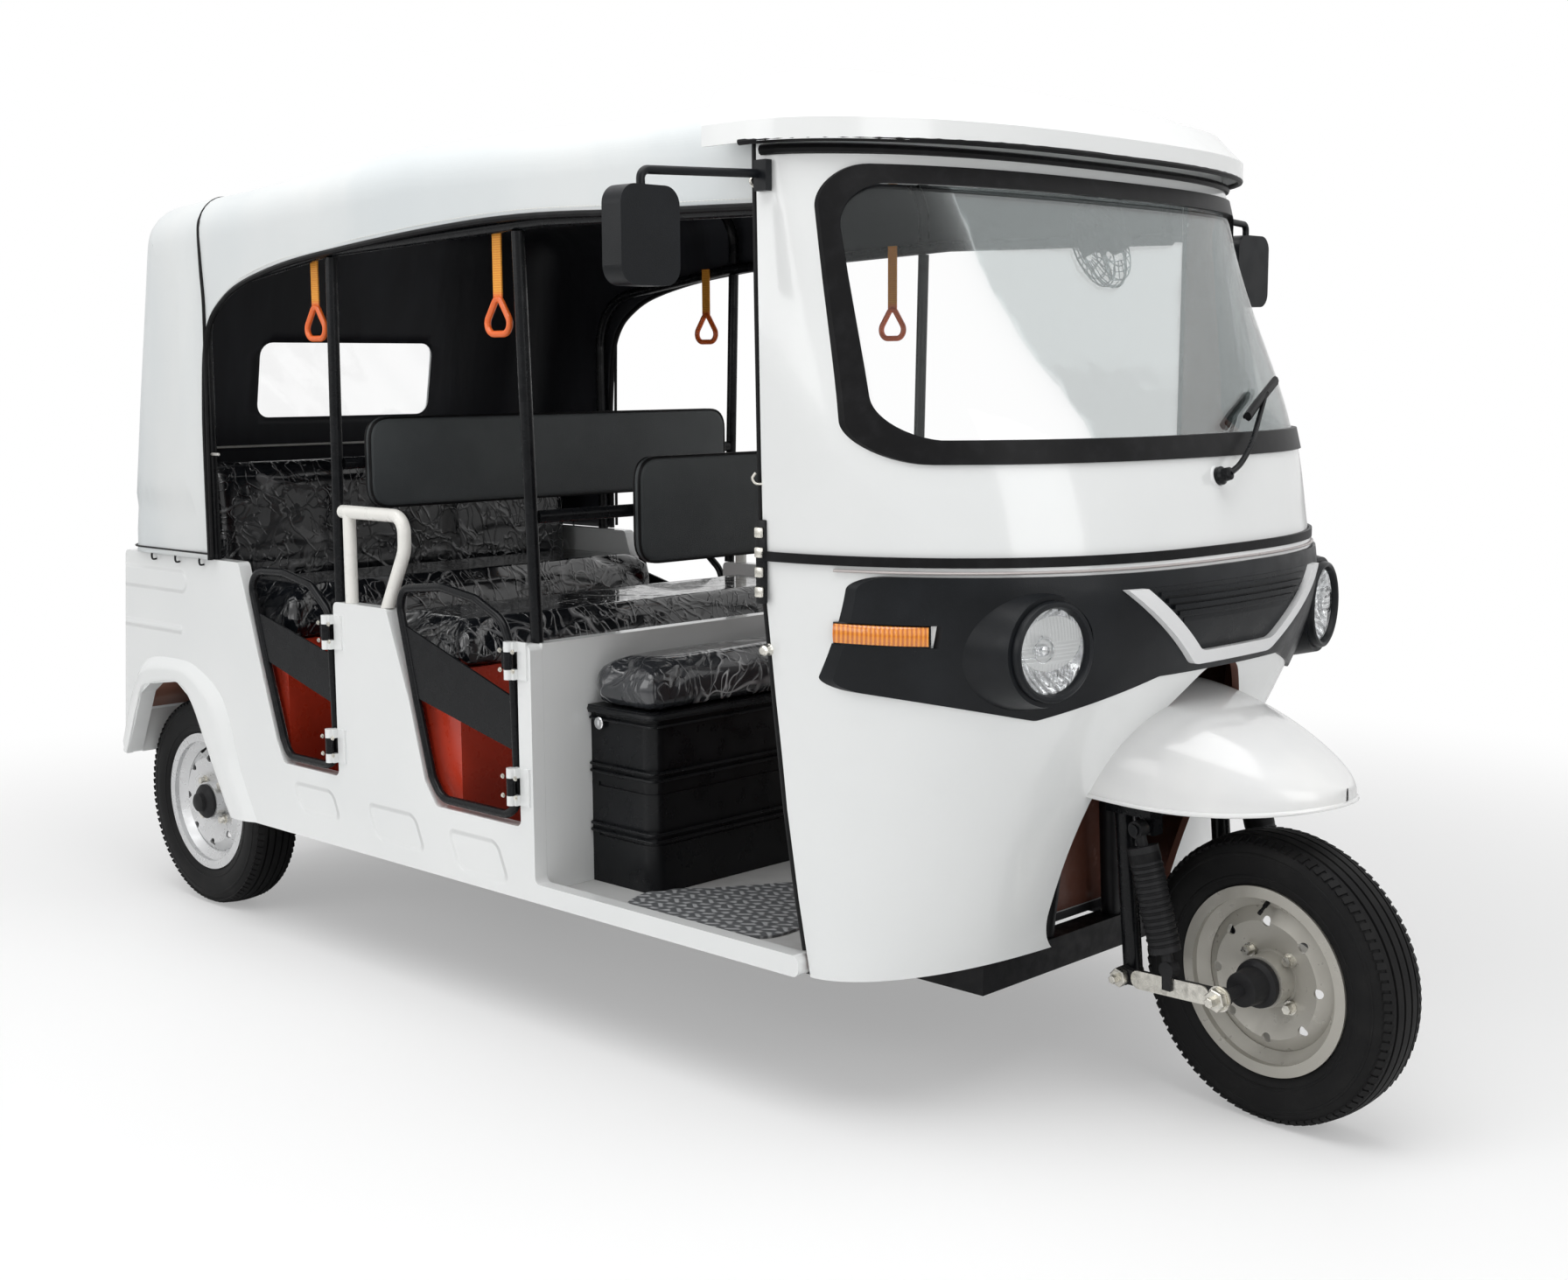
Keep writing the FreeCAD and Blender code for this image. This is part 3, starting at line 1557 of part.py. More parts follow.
def handlebar():
    centre = axis_point(stem_top)
    parts = [rod(centre + Vector(0, 0, -overrun), centre + Vector(0, 0, overrun),
                 bar_clamp_radius)]
    points = []
    for side in (-1, 1):
        end = centre + Vector(-bar_sweep, side * bar_half_width, bar_rise)
        elbow = centre + Vector(0, side * bar_half_width / 2, bar_rise)
        root = centre + Vector(0, side * stem_radius, 0)
        run = [end, elbow, root]
        points += run if side < 0 else run[::-1]
        inward = (elbow - end).normalize()
        parts.append(rod(end, end + inward * grip_long, grip_radius))
    parts.append(bent_tube(points, bar_radius, bar_bend))
    stem = rod(axis_point(stem_top - bar_clamp_long), axis_point(stem_top + bar_clamp_long),
               stem_radius + seat_gap)
    return steered(join(parts).cut(stem))


# Wheels

def tyre(centre_y, x):
    seat = rim_seat_radius + wheel_seat_gap
    wide = tyre_width / 2
    crown = tyre_radius - tread_drop
    mid = (seat + crown) / 2
    bead = rim_width / 2 - rim_wall - wheel_seat_gap
    low = seat + rim_flange_radius - rim_seat_radius
    wall_y = wide * tyre_wall_share
    wall_r = (low + mid) / 2 - tyre_wall_dip
    shoulder_y = wide * tyre_shoulder_share
    shoulder_r = (mid + crown) / 2 + tread_drop
    path = [("line", -bead, seat, -bead, low), ("arc", -wall_y, wall_r, -wide, mid),
            ("arc", -shoulder_y, shoulder_r, -tread_half_width, crown),
            ("arc", 0, tyre_radius, tread_half_width, crown),
            ("arc", shoulder_y, shoulder_r, wide, mid), ("arc", wall_y, wall_r, bead, low),
            ("line", bead, low, bead, seat)]
    edges = []
    here = Vector(0, -bead, seat)
    for kind, y0, r0, y1, r1 in path:
        end = Vector(0, y1, r1)
        if kind == "arc":
            edges.append(Part.Arc(here, Vector(0, y0, r0), end).toShape())
        else:
            edges.append(Part.LineSegment(here, end).toShape())
        here = end
    edges.append(Part.LineSegment(here, Vector(0, -bead, seat)).toShape())
    face = Part.Face(Part.Wire(edges))
    ring = face.revolve(Vector(0, 0, 0), Vector(0, 1, 0), full_turn_deg)
    ring.translate(Vector(x, centre_y, tyre_radius))
    return ring


def rim(centre_y, x, outward, bore_radius, hub_in, hub_out):
    """The steel wheel: flanges, well, disc and hub. outward is the side the disc's face shows."""
    half = rim_width / 2
    wall = rim_wall
    seat = rim_seat_radius
    well = rim_well_radius
    well_half = rim_well_half_width
    slope = wall * 2
    outer = [(-half, rim_flange_radius), (-half + wall, rim_flange_radius), (-half + wall, seat),
             (-well_half - slope, seat), (-well_half, well + wall),
             (well_half, well + wall), (well_half + slope, seat), (half - wall, seat),
             (half - wall, rim_flange_radius), (half, rim_flange_radius),
             (half, seat - wall), (well_half + wall + slope, seat - wall), (well_half, well),
             (-well_half, well), (-well_half - wall - slope, seat - wall), (-half, seat - wall)]
    points = [Vector(0, y, r) for y, r in outer]
    barrel = Part.Face(Part.makePolygon(points + [points[0]]))
    barrel = barrel.revolve(Vector(0, 0, 0), Vector(0, 1, 0), full_turn_deg)
    y0 = outward * disc_offset
    dish = outward * disc_offset
    disc_pairs = [(y0, well + wall / 2), (y0 + dish, rim_slot_circle), (y0, hub_radius + wall),
                  (y0, bore_radius + wall), (y0 - outward * wall, bore_radius + wall),
                  (y0 - outward * wall, hub_radius + wall),
                  (y0 + dish - outward * wall, rim_slot_circle),
                  (y0 - outward * wall, well + wall / 2)]
    points = [Vector(0, y, r) for y, r in disc_pairs]
    disc = Part.Face(Part.makePolygon(points + [points[0]]))
    disc = disc.revolve(Vector(0, 0, 0), Vector(0, 1, 0), full_turn_deg)
    cuts = []
    for i in range(rim_slot_count):
        angle = 2 * math.pi * i / rim_slot_count
        cx = rim_slot_circle * math.cos(angle)
        cz = rim_slot_circle * math.sin(angle)
        cuts.append(rod(Vector(cx, -half, cz), Vector(cx, half, cz), rim_slot_radius))
    for i in range(lug_count):
        angle = math.pi * (2 * i + 1) / lug_count
        cx = lug_circle_radius * math.cos(angle)
        cz = lug_circle_radius * math.sin(angle)
        cuts.append(rod(Vector(cx, -half, cz), Vector(cx, half, cz), lug_hole_radius))
    hub = rod(Vector(0, hub_in, 0), Vector(0, hub_out, 0), hub_radius)
    bore = rod(Vector(0, min(hub_in, hub_out) - overrun, 0),
               Vector(0, max(hub_in, hub_out) + overrun, 0), bore_radius)
    wheel = join([barrel, disc, hub]).cut(Part.makeCompound(cuts)).cut(bore)
    wheel.translate(Vector(x, centre_y, tyre_radius))
    return wheel


def front_tyre():
    return steered(tyre(0, front_axle_x))


def front_rim():
    return steered(rim(0, front_axle_x, -1, axle_radius + axle_clearance,
                       -hub_half_length, hub_half_length))


def rear_wheel_y():
    return track / 2


def rear_rim(side):
    hub_in = -side * (hub_half_length / 2)
    hub_out = side * (disc_offset + hub_half_length / 2)
    return rim(side * rear_wheel_y(), rear_axle_x, side, spindle_radius + spindle_clearance,
               hub_in, hub_out)


def rear_axle():
    reach = rear_wheel_y() - hub_half_length / 2 - wheel_side_gap
    parts = [across(rear_axle_x, tyre_radius, -reach + brake_drum_long,
                    reach - brake_drum_long, axle_tube_radius),
             across(rear_axle_x, tyre_radius, -gearbox_long / 2, gearbox_long / 2,
                    gearbox_radius),
             rod(Vector(rear_axle_x, motor_side, tyre_radius),
                 Vector(rear_axle_x + gearbox_radius + motor_long, motor_side, tyre_radius),
                 motor_radius)]
    tip = rear_wheel_y() + disc_offset + hub_half_length / 2
    parts.append(across(rear_axle_x, tyre_radius, -tip, tip, spindle_radius))
    for side in (-1, 1):
        parts.append(across(rear_axle_x, tyre_radius, side * reach,
                            side * (reach - brake_drum_long), brake_drum_radius))
    for side in (-1, 1):
        seat = tyre_radius - axle_seat_drop
        parts.append(block(rear_axle_x - spring_leaf_wide, rear_axle_x + spring_leaf_wide,
                           side * (spring_side - spring_leaf_wide / 2),
                           side * (spring_side + spring_leaf_wide / 2), spring_top(),
                           seat))
    return join(parts)


def spring_top():
    return tyre_radius - axle_tube_radius - spring_leaf_thick


def leaf_springs():
    shapes = []
    for side in (-1, 1):
        y0 = side * (spring_side - spring_leaf_wide / 2)
        y1 = side * (spring_side + spring_leaf_wide / 2)
        leaves = []
        for i in range(spring_leaf_count):
            front = station(spring_front_back) - spring_shorten * i
            rear = station(spring_rear_back) + spring_shorten * i
            top = spring_top() - seat_gap - spring_leaf_thick * i
            leaves.append(block(front, rear, y0, y1, top - spring_leaf_thick, top))
        frame_foot = rear_floor_height - rail_high - seat_gap * 2
        for x in (station(spring_front_back), station(spring_rear_back)):
            hanger = block(x - spring_leaf_wide / 2, x + spring_leaf_wide / 2, y0, y1,
                           spring_top() - seat_gap - spring_leaf_thick, frame_foot)
            leaves.append(hanger)
        shapes.append(join(leaves))
    return group(shapes)


def rear_lamps():
    shapes = []
    x = station(rear_wall_back(rear_lamp_height))
    wide = rear_lamp_wide / 2
    low = rear_lamp_height - rear_lamp_high / 2
    high = rear_lamp_height + rear_lamp_high / 2
    for side in (-1, 1):
        y = side * rear_lamp_side
        outline = [(y - wide, low), (y + wide, low), (y + wide, high), (y - wide, high)]
        lamp = front_plate(outline, rear_lamp_corner, x - rear_lamp_deep, x + side_wall)
        shapes.append(lamp.cut(ahead_of_rear_wall(-seat_gap)))
    return group(shapes)


# Doors

def door_line(backs, heights):
    """The middle line of a door's tube frame, inside its outline."""
    return inset_pairs(door_pairs(backs, heights), door_gap + door_tube_radius)


def door_front(line, height):
    """Where the frame's front tube stands at a height."""
    low, high = line[0], line[-1]
    return low[0] + (high[0] - low[0]) * (height - low[1]) / (high[1] - low[1])


def door_panel(line, heights, y):
    front_low, front_high, rear_high, rear_low = heights
    front = max(point[0] for point in line)
    rear = min(point[0] for point in line)
    outline = [(front, front_low), (front, front_high), (rear, rear_high), (rear, rear_low)]
    panel = side_plate(outline, 0, y - door_panel_thick / 2, y + door_panel_thick / 2)
    inside = side_plate(line, door_corner, y - door_tube_radius * 2, y + door_tube_radius * 2)
    return panel.common(inside)


def hinge_moving(line, z, y):
    """The sleeve and arm that a door hangs by."""
    foot = z + (hinge_leaf_high - hinge_sleeve_high) / 2
    head = foot + hinge_sleeve_high
    x = station_of_hinge(line)
    front = door_front(line, z)
    half = hinge_leaf_thick / 2
    return [rod(Vector(x, hinge_y(), foot), Vector(x, hinge_y(), head), hinge_sleeve_radius),
            block(x, front, hinge_y() - half, hinge_y() + half, foot, head),
            block(front - half, front + half, hinge_y() - half, y, foot, head)]


def station_of_hinge(line):
    """The hinge line that lies nearest ahead of a door's frame."""
    front = max(point[0] for point in line)
    lines = [station(fore_door_front_back), station(aft_door_front_back)]
    return min((x for x in lines if x > front), key=lambda x: x - front)


def door(backs, heights, panel_heights):
    y = -half_width + door_tube_radius + seat_gap
    line = door_line(backs, heights)
    points = [Vector(x, y, z) for x, z in line]
    parts = [bent_tube(points, door_tube_radius, door_corner, True),
             door_panel(line, panel_heights, y)]
    for z in (hinge_foot_height, hinge_head_height):
        parts += hinge_moving(line, z, y)
    body = join(parts)
    x = station_of_hinge(line)
    for z in (hinge_foot_height, hinge_head_height):
        body = body.cut(rod(Vector(x, hinge_y(), z - overrun),
                            Vector(x, hinge_y(), z + hinge_leaf_high + overrun),
                            hinge_pin_radius + hinge_clearance))
    return body


def fore_door():
    return door(fore_door_backs, fore_door_heights, fore_door_panel)


def aft_door():
    return door(aft_door_backs, aft_door_heights, aft_door_panel)


def pieces():
    return {
        "chassis_frame": chassis_frame,
        "floor_pan": floor_pan,
        "side_right": side_right,
        "side_left": lambda: mirrored(side_right()),
        "rear_panel": rear_panel,
        "bulkhead": bulkhead,
        "dashboard": dashboard,
        "partition": partition,
        "cowl_lower": cowl_lower,
        "cowl_upper": cowl_upper,
        "windscreen": windscreen,
        "body_edging": body_edging,
        "front_mask": front_mask,
        "grille": grille,
        "grille_trim": grille_trim,
        "front_lamps": front_lamps,
        "mudguard": mudguard,
        "roof_cap": roof_cap,
        "canopy": canopy,
        "side_rails": side_rails,
        "posts": posts,
        "roof_bows": roof_bows,
        "grab_handles": grab_handles,
        "hand_rings": hand_rings,
        "mirrors": mirrors,
        "driver_box": driver_box,
        "driver_cushion": driver_cushion,
        "driver_backrest": driver_backrest,
        "battery_pack": battery_pack,
        "benches": benches,
        "bench_cushions": bench_cushions,
        "bench_backrests": bench_backrests,
        "rear_axle": rear_axle,
        "leaf_springs": leaf_springs,
        "rear_lamps": rear_lamps,
        "fork": fork,
        "front_suspension": front_suspension,
        "handlebar": handlebar,
        "front_tyre": front_tyre,
        "front_rim": front_rim,
        "right_tyre": lambda: tyre(-rear_wheel_y(), rear_axle_x),
        "right_rim": lambda: rear_rim(-1),
        "left_tyre": lambda: tyre(rear_wheel_y(), rear_axle_x),
        "left_rim": lambda: rear_rim(1),
        "fore_door_right": fore_door,
        "aft_door_right": aft_door,
        "fore_door_left": lambda: mirrored(fore_door()),
        "aft_door_left": lambda: mirrored(aft_door()),
    }


def main():
    os.makedirs("parts", exist_ok=True)
    for name, maker in pieces().items():
        shape = maker()
        shape.exportStep("parts/%s.step" % name)
        print(name, len(shape.Solids), shape.isValid())


main()
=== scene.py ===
import bpy
import bmesh
import math
from mathutils import Matrix, Vector, noise


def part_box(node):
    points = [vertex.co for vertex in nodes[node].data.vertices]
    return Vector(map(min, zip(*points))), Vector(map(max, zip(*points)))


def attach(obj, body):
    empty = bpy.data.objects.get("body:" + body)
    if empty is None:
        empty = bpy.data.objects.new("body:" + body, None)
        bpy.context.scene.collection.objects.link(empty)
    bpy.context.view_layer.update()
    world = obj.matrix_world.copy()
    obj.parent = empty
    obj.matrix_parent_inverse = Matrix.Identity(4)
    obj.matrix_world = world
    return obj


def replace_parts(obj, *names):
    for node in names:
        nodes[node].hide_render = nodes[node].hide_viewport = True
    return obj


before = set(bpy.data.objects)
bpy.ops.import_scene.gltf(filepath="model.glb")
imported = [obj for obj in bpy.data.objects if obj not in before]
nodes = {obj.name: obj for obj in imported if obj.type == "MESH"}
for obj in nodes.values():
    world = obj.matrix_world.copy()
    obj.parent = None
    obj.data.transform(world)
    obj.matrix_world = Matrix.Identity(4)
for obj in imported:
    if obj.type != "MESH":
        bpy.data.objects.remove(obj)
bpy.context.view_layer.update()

# A white six seat passenger tricycle on a pale studio floor, in metres.
# +X is forward, +Y the vehicle's left, +Z up. Distances "back" are from the front axle.

scene = bpy.context.scene
turn = 2 * math.pi
print("frame loaded:", len(nodes), "nodes")


def at(back):  # a distance behind the front axle, as a place along X
    return 1.3225 - back


# Node graphs, for materials and for geometry alike

class Val:  # one output of a node, which takes part in sums
    def __init__(self, graph, socket):
        self.graph, self.socket = graph, socket

    def math(self, operation, *values, clamp=False):
        settings = {"operation": operation, "use_clamp": clamp}
        return self.graph.node("ShaderNodeMath", settings, dict(enumerate(values)))

    def __add__(self, other):
        return self.math("ADD", self, other)

    def __sub__(self, other):
        return self.math("SUBTRACT", self, other)

    def __rsub__(self, other):
        return self.math("SUBTRACT", other, self)

    def __mul__(self, other):
        return self.math("MULTIPLY", self, other)

    def __truediv__(self, other):
        return self.math("DIVIDE", self, other)

    def __rtruediv__(self, other):
        return self.math("DIVIDE", other, self)

    def __pow__(self, other):
        return self.math("POWER", self, other)

    def __lt__(self, other):
        return self.math("LESS_THAN", self, other)

    def __gt__(self, other):
        return self.math("GREATER_THAN", self, other)

    __radd__, __rmul__ = __add__, __mul__

    def size(self):
        return self.math("ABSOLUTE", self)

    def sine(self):
        return self.math("SINE", self)

    def least(self, other):
        return self.math("MINIMUM", self, other)

    def most(self, other):
        return self.math("MAXIMUM", self, other)


class Graph:  # adds nodes to a tree and links them
    def __init__(self, tree):
        self.tree = tree

    def node(self, kind, settings=None, inputs=None, out=0):
        made = self.tree.nodes.new(kind)
        for key, value in (settings or {}).items():
            if key == "stops":
                ramp = made.color_ramp.elements
                while len(ramp) < len(value):
                    ramp.new(0.5)
                for stop, (place, colour) in zip(ramp, value):
                    stop.position, stop.color = place, colour
            else:
                setattr(made, key, value)
        for key, value in (inputs or {}).items():
            self.plug(made.inputs[key], value)
        return Val(self, made.outputs[out])

    def plug(self, socket, value):
        if isinstance(value, Val):
            self.tree.links.new(value.socket, socket)
        else:
            socket.default_value = value


class Finish(Graph):  # one material round a Principled shader
    def __init__(self, name, colour=(0.5, 0.5, 0.5), rough=0.4, **fixed):
        self.material = bpy.data.materials.new(name)
        self.material.use_nodes = True
        super().__init__(self.material.node_tree)
        self.shader = self.tree.nodes["Principled BSDF"]
        self.output = self.tree.nodes["Material Output"]
        self.set(**{"Base Color": (*colour, 1), "Roughness": rough})
        self.set(**{key.replace("_", " "): value for key, value in fixed.items()})
        self.material.diffuse_color = (*colour, 1)
        self.place = self.node("ShaderNodeTexCoord", out="Object")

    def set(self, **values):
        for key, value in values.items():
            self.plug(self.shader.inputs[key.replace("_", " ")], value)

    def axis(self, name, place=None):
        return self.node("ShaderNodeSeparateXYZ", None, {0: place or self.place}, name)

    def noise(self, scale, detail=3, rough=0.55, warp=0, place=None):
        inputs = {"Vector": place or self.place, "Scale": scale, "Detail": detail,
                  "Roughness": rough, "Distortion": warp}
        return self.node("ShaderNodeTexNoise", None, inputs, "Fac")

    def stretch(self, x, y, z, place=None):
        inputs = {"Vector": place or self.place, "Scale": (x, y, z)}
        return self.node("ShaderNodeMapping", None, inputs)

    def ease(self, value, low, high, start=0, end=1):
        inputs = {"Value": value, "From Min": low, "From Max": high, "To Min": start, "To Max": end}
        return self.node("ShaderNodeMapRange", {"interpolation_type": "SMOOTHSTEP"}, inputs)

    def blend(self, share, first, second):
        first, second = [(*c, 1) if isinstance(c, tuple) else c for c in (first, second)]
        return self.node("ShaderNodeMix", {"data_type": "RGBA"}, {0: share, 6: first, 7: second}, 2)

    def bump(self, height, depth, strength=1.0, over=None):
        inputs = {"Height": height, "Distance": depth, "Strength": strength}
        if over:
            inputs["Normal"] = over
        return self.node("ShaderNodeBump", None, inputs, "Normal")

    def facingIn(self, middle):  # 1 where a wall faces an upright line inside the body
        normal = self.node("ShaderNodeNewGeometry", out="Normal")
        out = self.node("ShaderNodeVectorMath", {"operation": "SUBTRACT"}, {0: self.place, 1: middle})
        out = self.node("ShaderNodeVectorMath", {"operation": "MULTIPLY"}, {0: out, 1: (1, 1, 0)})
        return self.node("ShaderNodeVectorMath", {"operation": "DOT_PRODUCT"},
                         {0: out, 1: normal}, "Value") < 0


class GeoTree(Graph):  # a geometry tree with named inputs
    def __init__(self, name):
        super().__init__(bpy.data.node_groups.new(name, "GeometryNodeTree"))
        side = self.tree.interface.new_socket
        side("Geometry", in_out="INPUT", socket_type="NodeSocketGeometry")
        side("Geometry", in_out="OUTPUT", socket_type="NodeSocketGeometry")
        self.start = self.tree.nodes.new("NodeGroupInput")
        self.end = self.tree.nodes.new("NodeGroupOutput")
        self.geometry = Val(self, self.start.outputs["Geometry"])

    def input(self, name, value):
        kind = "NodeSocketInt" if isinstance(value, int) else "NodeSocketFloat"
        socket = self.tree.interface.new_socket(name, in_out="INPUT", socket_type=kind)
        socket.default_value = value
        return Val(self, self.start.outputs[name])

    def vector(self, x, y, z):
        return self.node("ShaderNodeCombineXYZ", None, {0: x, 1: y, 2: z})

    def join(self, *parts):
        made = self.tree.nodes.new("GeometryNodeJoinGeometry")
        for part in reversed(parts):
            self.tree.links.new(part.socket, made.inputs[0])
        return Val(self, made.outputs[0])

    def finish(self, geometry, material):
        geometry = self.node("GeometryNodeRealizeInstances", None, {0: geometry})
        geometry = self.node("GeometryNodeSetMaterial", None, {0: geometry, "Material": material})
        self.tree.links.new(geometry.socket, self.end.inputs[0])
        return self


def grow(graph, name, points, body, edges=(), normals=None, **values):  # a tree's mesh on a body
    mesh = bpy.data.meshes.new(name)
    mesh.from_pydata([tuple(p) for p in points], list(edges), [])
    if normals:
        facing = mesh.attributes.new("facing", "FLOAT_VECTOR", "POINT")
        facing.data.foreach_set("vector", [c for n in normals for c in n])
    base = bpy.data.objects.new(name + "_base", mesh)
    scene.collection.objects.link(base)
    modifier = base.modifiers.new("grow", "NODES")
    modifier.node_group = graph.tree
    for item in graph.tree.interface.items_tree:
        if item.in_out == "INPUT" and item.name in values:
            modifier[item.identifier] = values[item.name]
    shown = base.evaluated_get(bpy.context.evaluated_depsgraph_get())
    made = bpy.data.meshes.new_from_object(shown)
    base.modifiers.remove(modifier)
    bpy.data.objects.remove(base)
    made.name = name
    made.set_sharp_from_angle(angle=0.6)
    piece = bpy.data.objects.new(name, made)
    scene.collection.objects.link(piece)
    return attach(piece, body)


# Meshes made directly from given points

def smoothPath(points, steps=6, closed=False):  # a soft line through points
    points = [Vector(p) for p in points]
    count = len(points)
    if not closed:
        ends = [points[0] * 2 - points[1]], [points[-1] * 2 - points[-2]]
        points = ends[0] + points + ends[1]
    path = []
    for i in range(count if closed else count - 1):
        a, b, c, d = [points[(i + k - (1 if closed else 0)) % len(points)] for k in range(4)]
        for k in range(steps):
            t = k / steps
            path.append(0.5 * ((2 * b) + (c - a) * t + (2 * a - 5 * b + 4 * c - d) * t * t
                               + (3 * b - a - 3 * c + d) * t ** 3))
    if not closed:
        path.append(points[-2])
    return path


def roundPath(points, radius, steps=5, closed=False):  # straight runs with round corners
    points = [Vector(p) for p in points]
    path = []
    count = len(points)
    for i, p in enumerate(points):
        if not closed and i in (0, count - 1):
            path.append(p)
            continue
        a, b = points[i - 1] - p, points[(i + 1) % count] - p
        reach = min(radius / max(math.tan(a.angle(b) / 2), 1e-3), a.length * 0.49, b.length * 0.49)
        first, last = p + a.normalized() * reach, p + b.normalized() * reach
        for k in range(steps + 1):
            t = k / steps
            path.append(first * (1 - t) ** 2 + p * 2 * t * (1 - t) + last * t * t)
    return path


class Form:  # gathers the faces of one piece
    def __init__(self):
        self.points, self.faces = [], []

    def add(self, points, faces):
        first = len(self.points)
        self.points += [Vector(p) for p in points]
        self.faces += [[first + i for i in face] for face in faces]
        return self

    def rings(self, rings, closed=False, caps=True):
        wide, count = len(rings[0]), len(rings)
        faces = []
        for i in range(count if closed else count - 1):
            a, b = i * wide, (i + 1) % count * wide
            faces += [[a + k, a + (k + 1) % wide, b + (k + 1) % wide, b + k] for k in range(wide)]
        if caps and not closed:
            faces += [list(range(wide))[::-1], [(count - 1) * wide + k for k in range(wide)]]
        return self.add([p for ring in rings for p in ring], faces)

    def tube(self, path, radius, sides=10, closed=False, flat=1.0, up=(0, 0, 1)):
        path = [Vector(p) for p in path]
        count = len(path)
        side = Vector(up)
        rings = []
        for i, p in enumerate(path):
            after = path[(i + 1) % count] if closed or i < count - 1 else p
            before = path[i - 1] if closed or i else p
            along = (after - before).normalized()
            side = (side - along * side.dot(along)).normalized()
            other = along.cross(side)
            r = radius[i] if isinstance(radius, (list, tuple)) else radius
            rings.append([p + side * (r * flat * math.cos(turn * k / sides))
                          + other * (r * math.sin(turn * k / sides)) for k in range(sides)])
        return self.rings(rings, closed)

    def lathe(self, profile, centre, axis, steps=48, closed=False):  # profile: along, radius
        axis = Vector(axis).normalized()
        side = axis.orthogonal().normalized()
        other = axis.cross(side)
        rings = []
        for k in range(steps):
            out = side * math.cos(turn * k / steps) + other * math.sin(turn * k / steps)
            rings.append([Vector(centre) + axis * x + out * r for x, r in profile])
        wide = len(profile)
        faces = []
        for i in range(steps):
            a, b = i * wide, (i + 1) % steps * wide
            for k in range(wide if closed else wide - 1):
                m = (k + 1) % wide
                faces.append([a + k, a + m, b + m, b + k])
        return self.add([p for ring in rings for p in ring], faces)

    def block(self, low, high, edge=0.0, steps=2):
        made = bmesh.new()
        bmesh.ops.create_cube(made, size=1)
        low, high = Vector(low), Vector(high)
        for v in made.verts:
            v.co = Vector(low[i] + (high[i] - low[i]) * (v.co[i] + 0.5) for i in range(3))
        if edge:
            bmesh.ops.bevel(made, geom=list(made.edges), offset=edge, segments=steps,
                            profile=0.5, affect="EDGES")
        made.verts.index_update()
        self.add([v.co for v in made.verts], [[v.index for v in f.verts] for f in made.faces])
        made.free()
        return self

    def plate(self, outline, push):  # a flat outline given a thickness
        back = [Vector(p) + Vector(push) for p in outline]
        return self.rings([[Vector(p) for p in outline], back])

    def moved(self, matrix):
        self.points = [matrix @ p for p in self.points]
        return self

    def make(self, name, body, finish, sharp=35):
        mesh = bpy.data.meshes.new(name)
        mesh.from_pydata([tuple(p) for p in self.points], [], self.faces)
        mesh.materials.append(finish.material)
        for face in mesh.polygons:
            face.use_smooth = True
        made = bmesh.new()
        made.from_mesh(mesh)
        bmesh.ops.remove_doubles(made, verts=made.verts, dist=1e-5)
        bmesh.ops.recalc_face_normals(made, faces=made.faces)
        made.to_mesh(mesh)
        made.free()
        mesh.set_sharp_from_angle(angle=math.radians(sharp))
        piece = bpy.data.objects.new(name, mesh)
        scene.collection.objects.link(piece)
        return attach(piece, body)


# Camera, light and floor

camera = {"eye": (2.9895, -2.9573, 1.292), "azimuth": 43.939, "down": 7.827, "roll": -0.3,
          "lens": 45.295}
studio = {
    "lamps": (  # name, place, aim, power, size and height
        ("overhead_light", (0.6, -1.2, 4.6), (0, 0, 0.6), 178.0, 5.0, 4.0),
        ("side_light", (-1.6, -5.2, 2.4), (-0.2, 0, 0.8), 50.0, 4.0, 2.2),
        ("front_light", (5.2, -1.0, 2.2), (0.4, 0, 0.8), 40.0, 2.6, 2.2)),
    "room": 0.42, "white": 1.0, "mirrored": 0.86,  # the white room, as lit, seen and mirrored
    "floor": 0.90, "fadeFrom": 1.7, "fadeTo": 3.9, "fadeLeast": 0.32, "floorHalf": 60,
}


def setCamera():
    az, down, roll = (math.radians(camera[k]) for k in ("azimuth", "down", "roll"))
    ahead = Vector((-math.sin(az) * math.cos(down), math.cos(az) * math.cos(down), -math.sin(down)))
    right = Vector((math.cos(az), math.sin(az), 0))
    up = right.cross(ahead)
    x = right * math.cos(roll) + up * math.sin(roll)
    y = up * math.cos(roll) - right * math.sin(roll)
    data = bpy.data.cameras.new("photo_camera")
    data.lens, data.sensor_width = camera["lens"], 36
    data.clip_end = 200
    eye = bpy.data.objects.new("photo_camera", data)
    eye.matrix_world = Matrix.Translation(camera["eye"]) @ Matrix((x, y, -ahead)).transposed().to_4x4()
    scene.collection.objects.link(eye)
    scene.camera = eye


def areaLight(name, place, towards, power, size, high):
    data = bpy.data.lights.new(name, "AREA")
    data.shape, data.energy, data.size, data.size_y = "RECTANGLE", power, size, high
    lamp = bpy.data.objects.new(name, data)
    lamp.matrix_world = Matrix.Translation(place) @ \
        (Vector(towards) - Vector(place)).to_track_quat("-Z", "Y").to_matrix().to_4x4()
    scene.collection.objects.link(lamp)


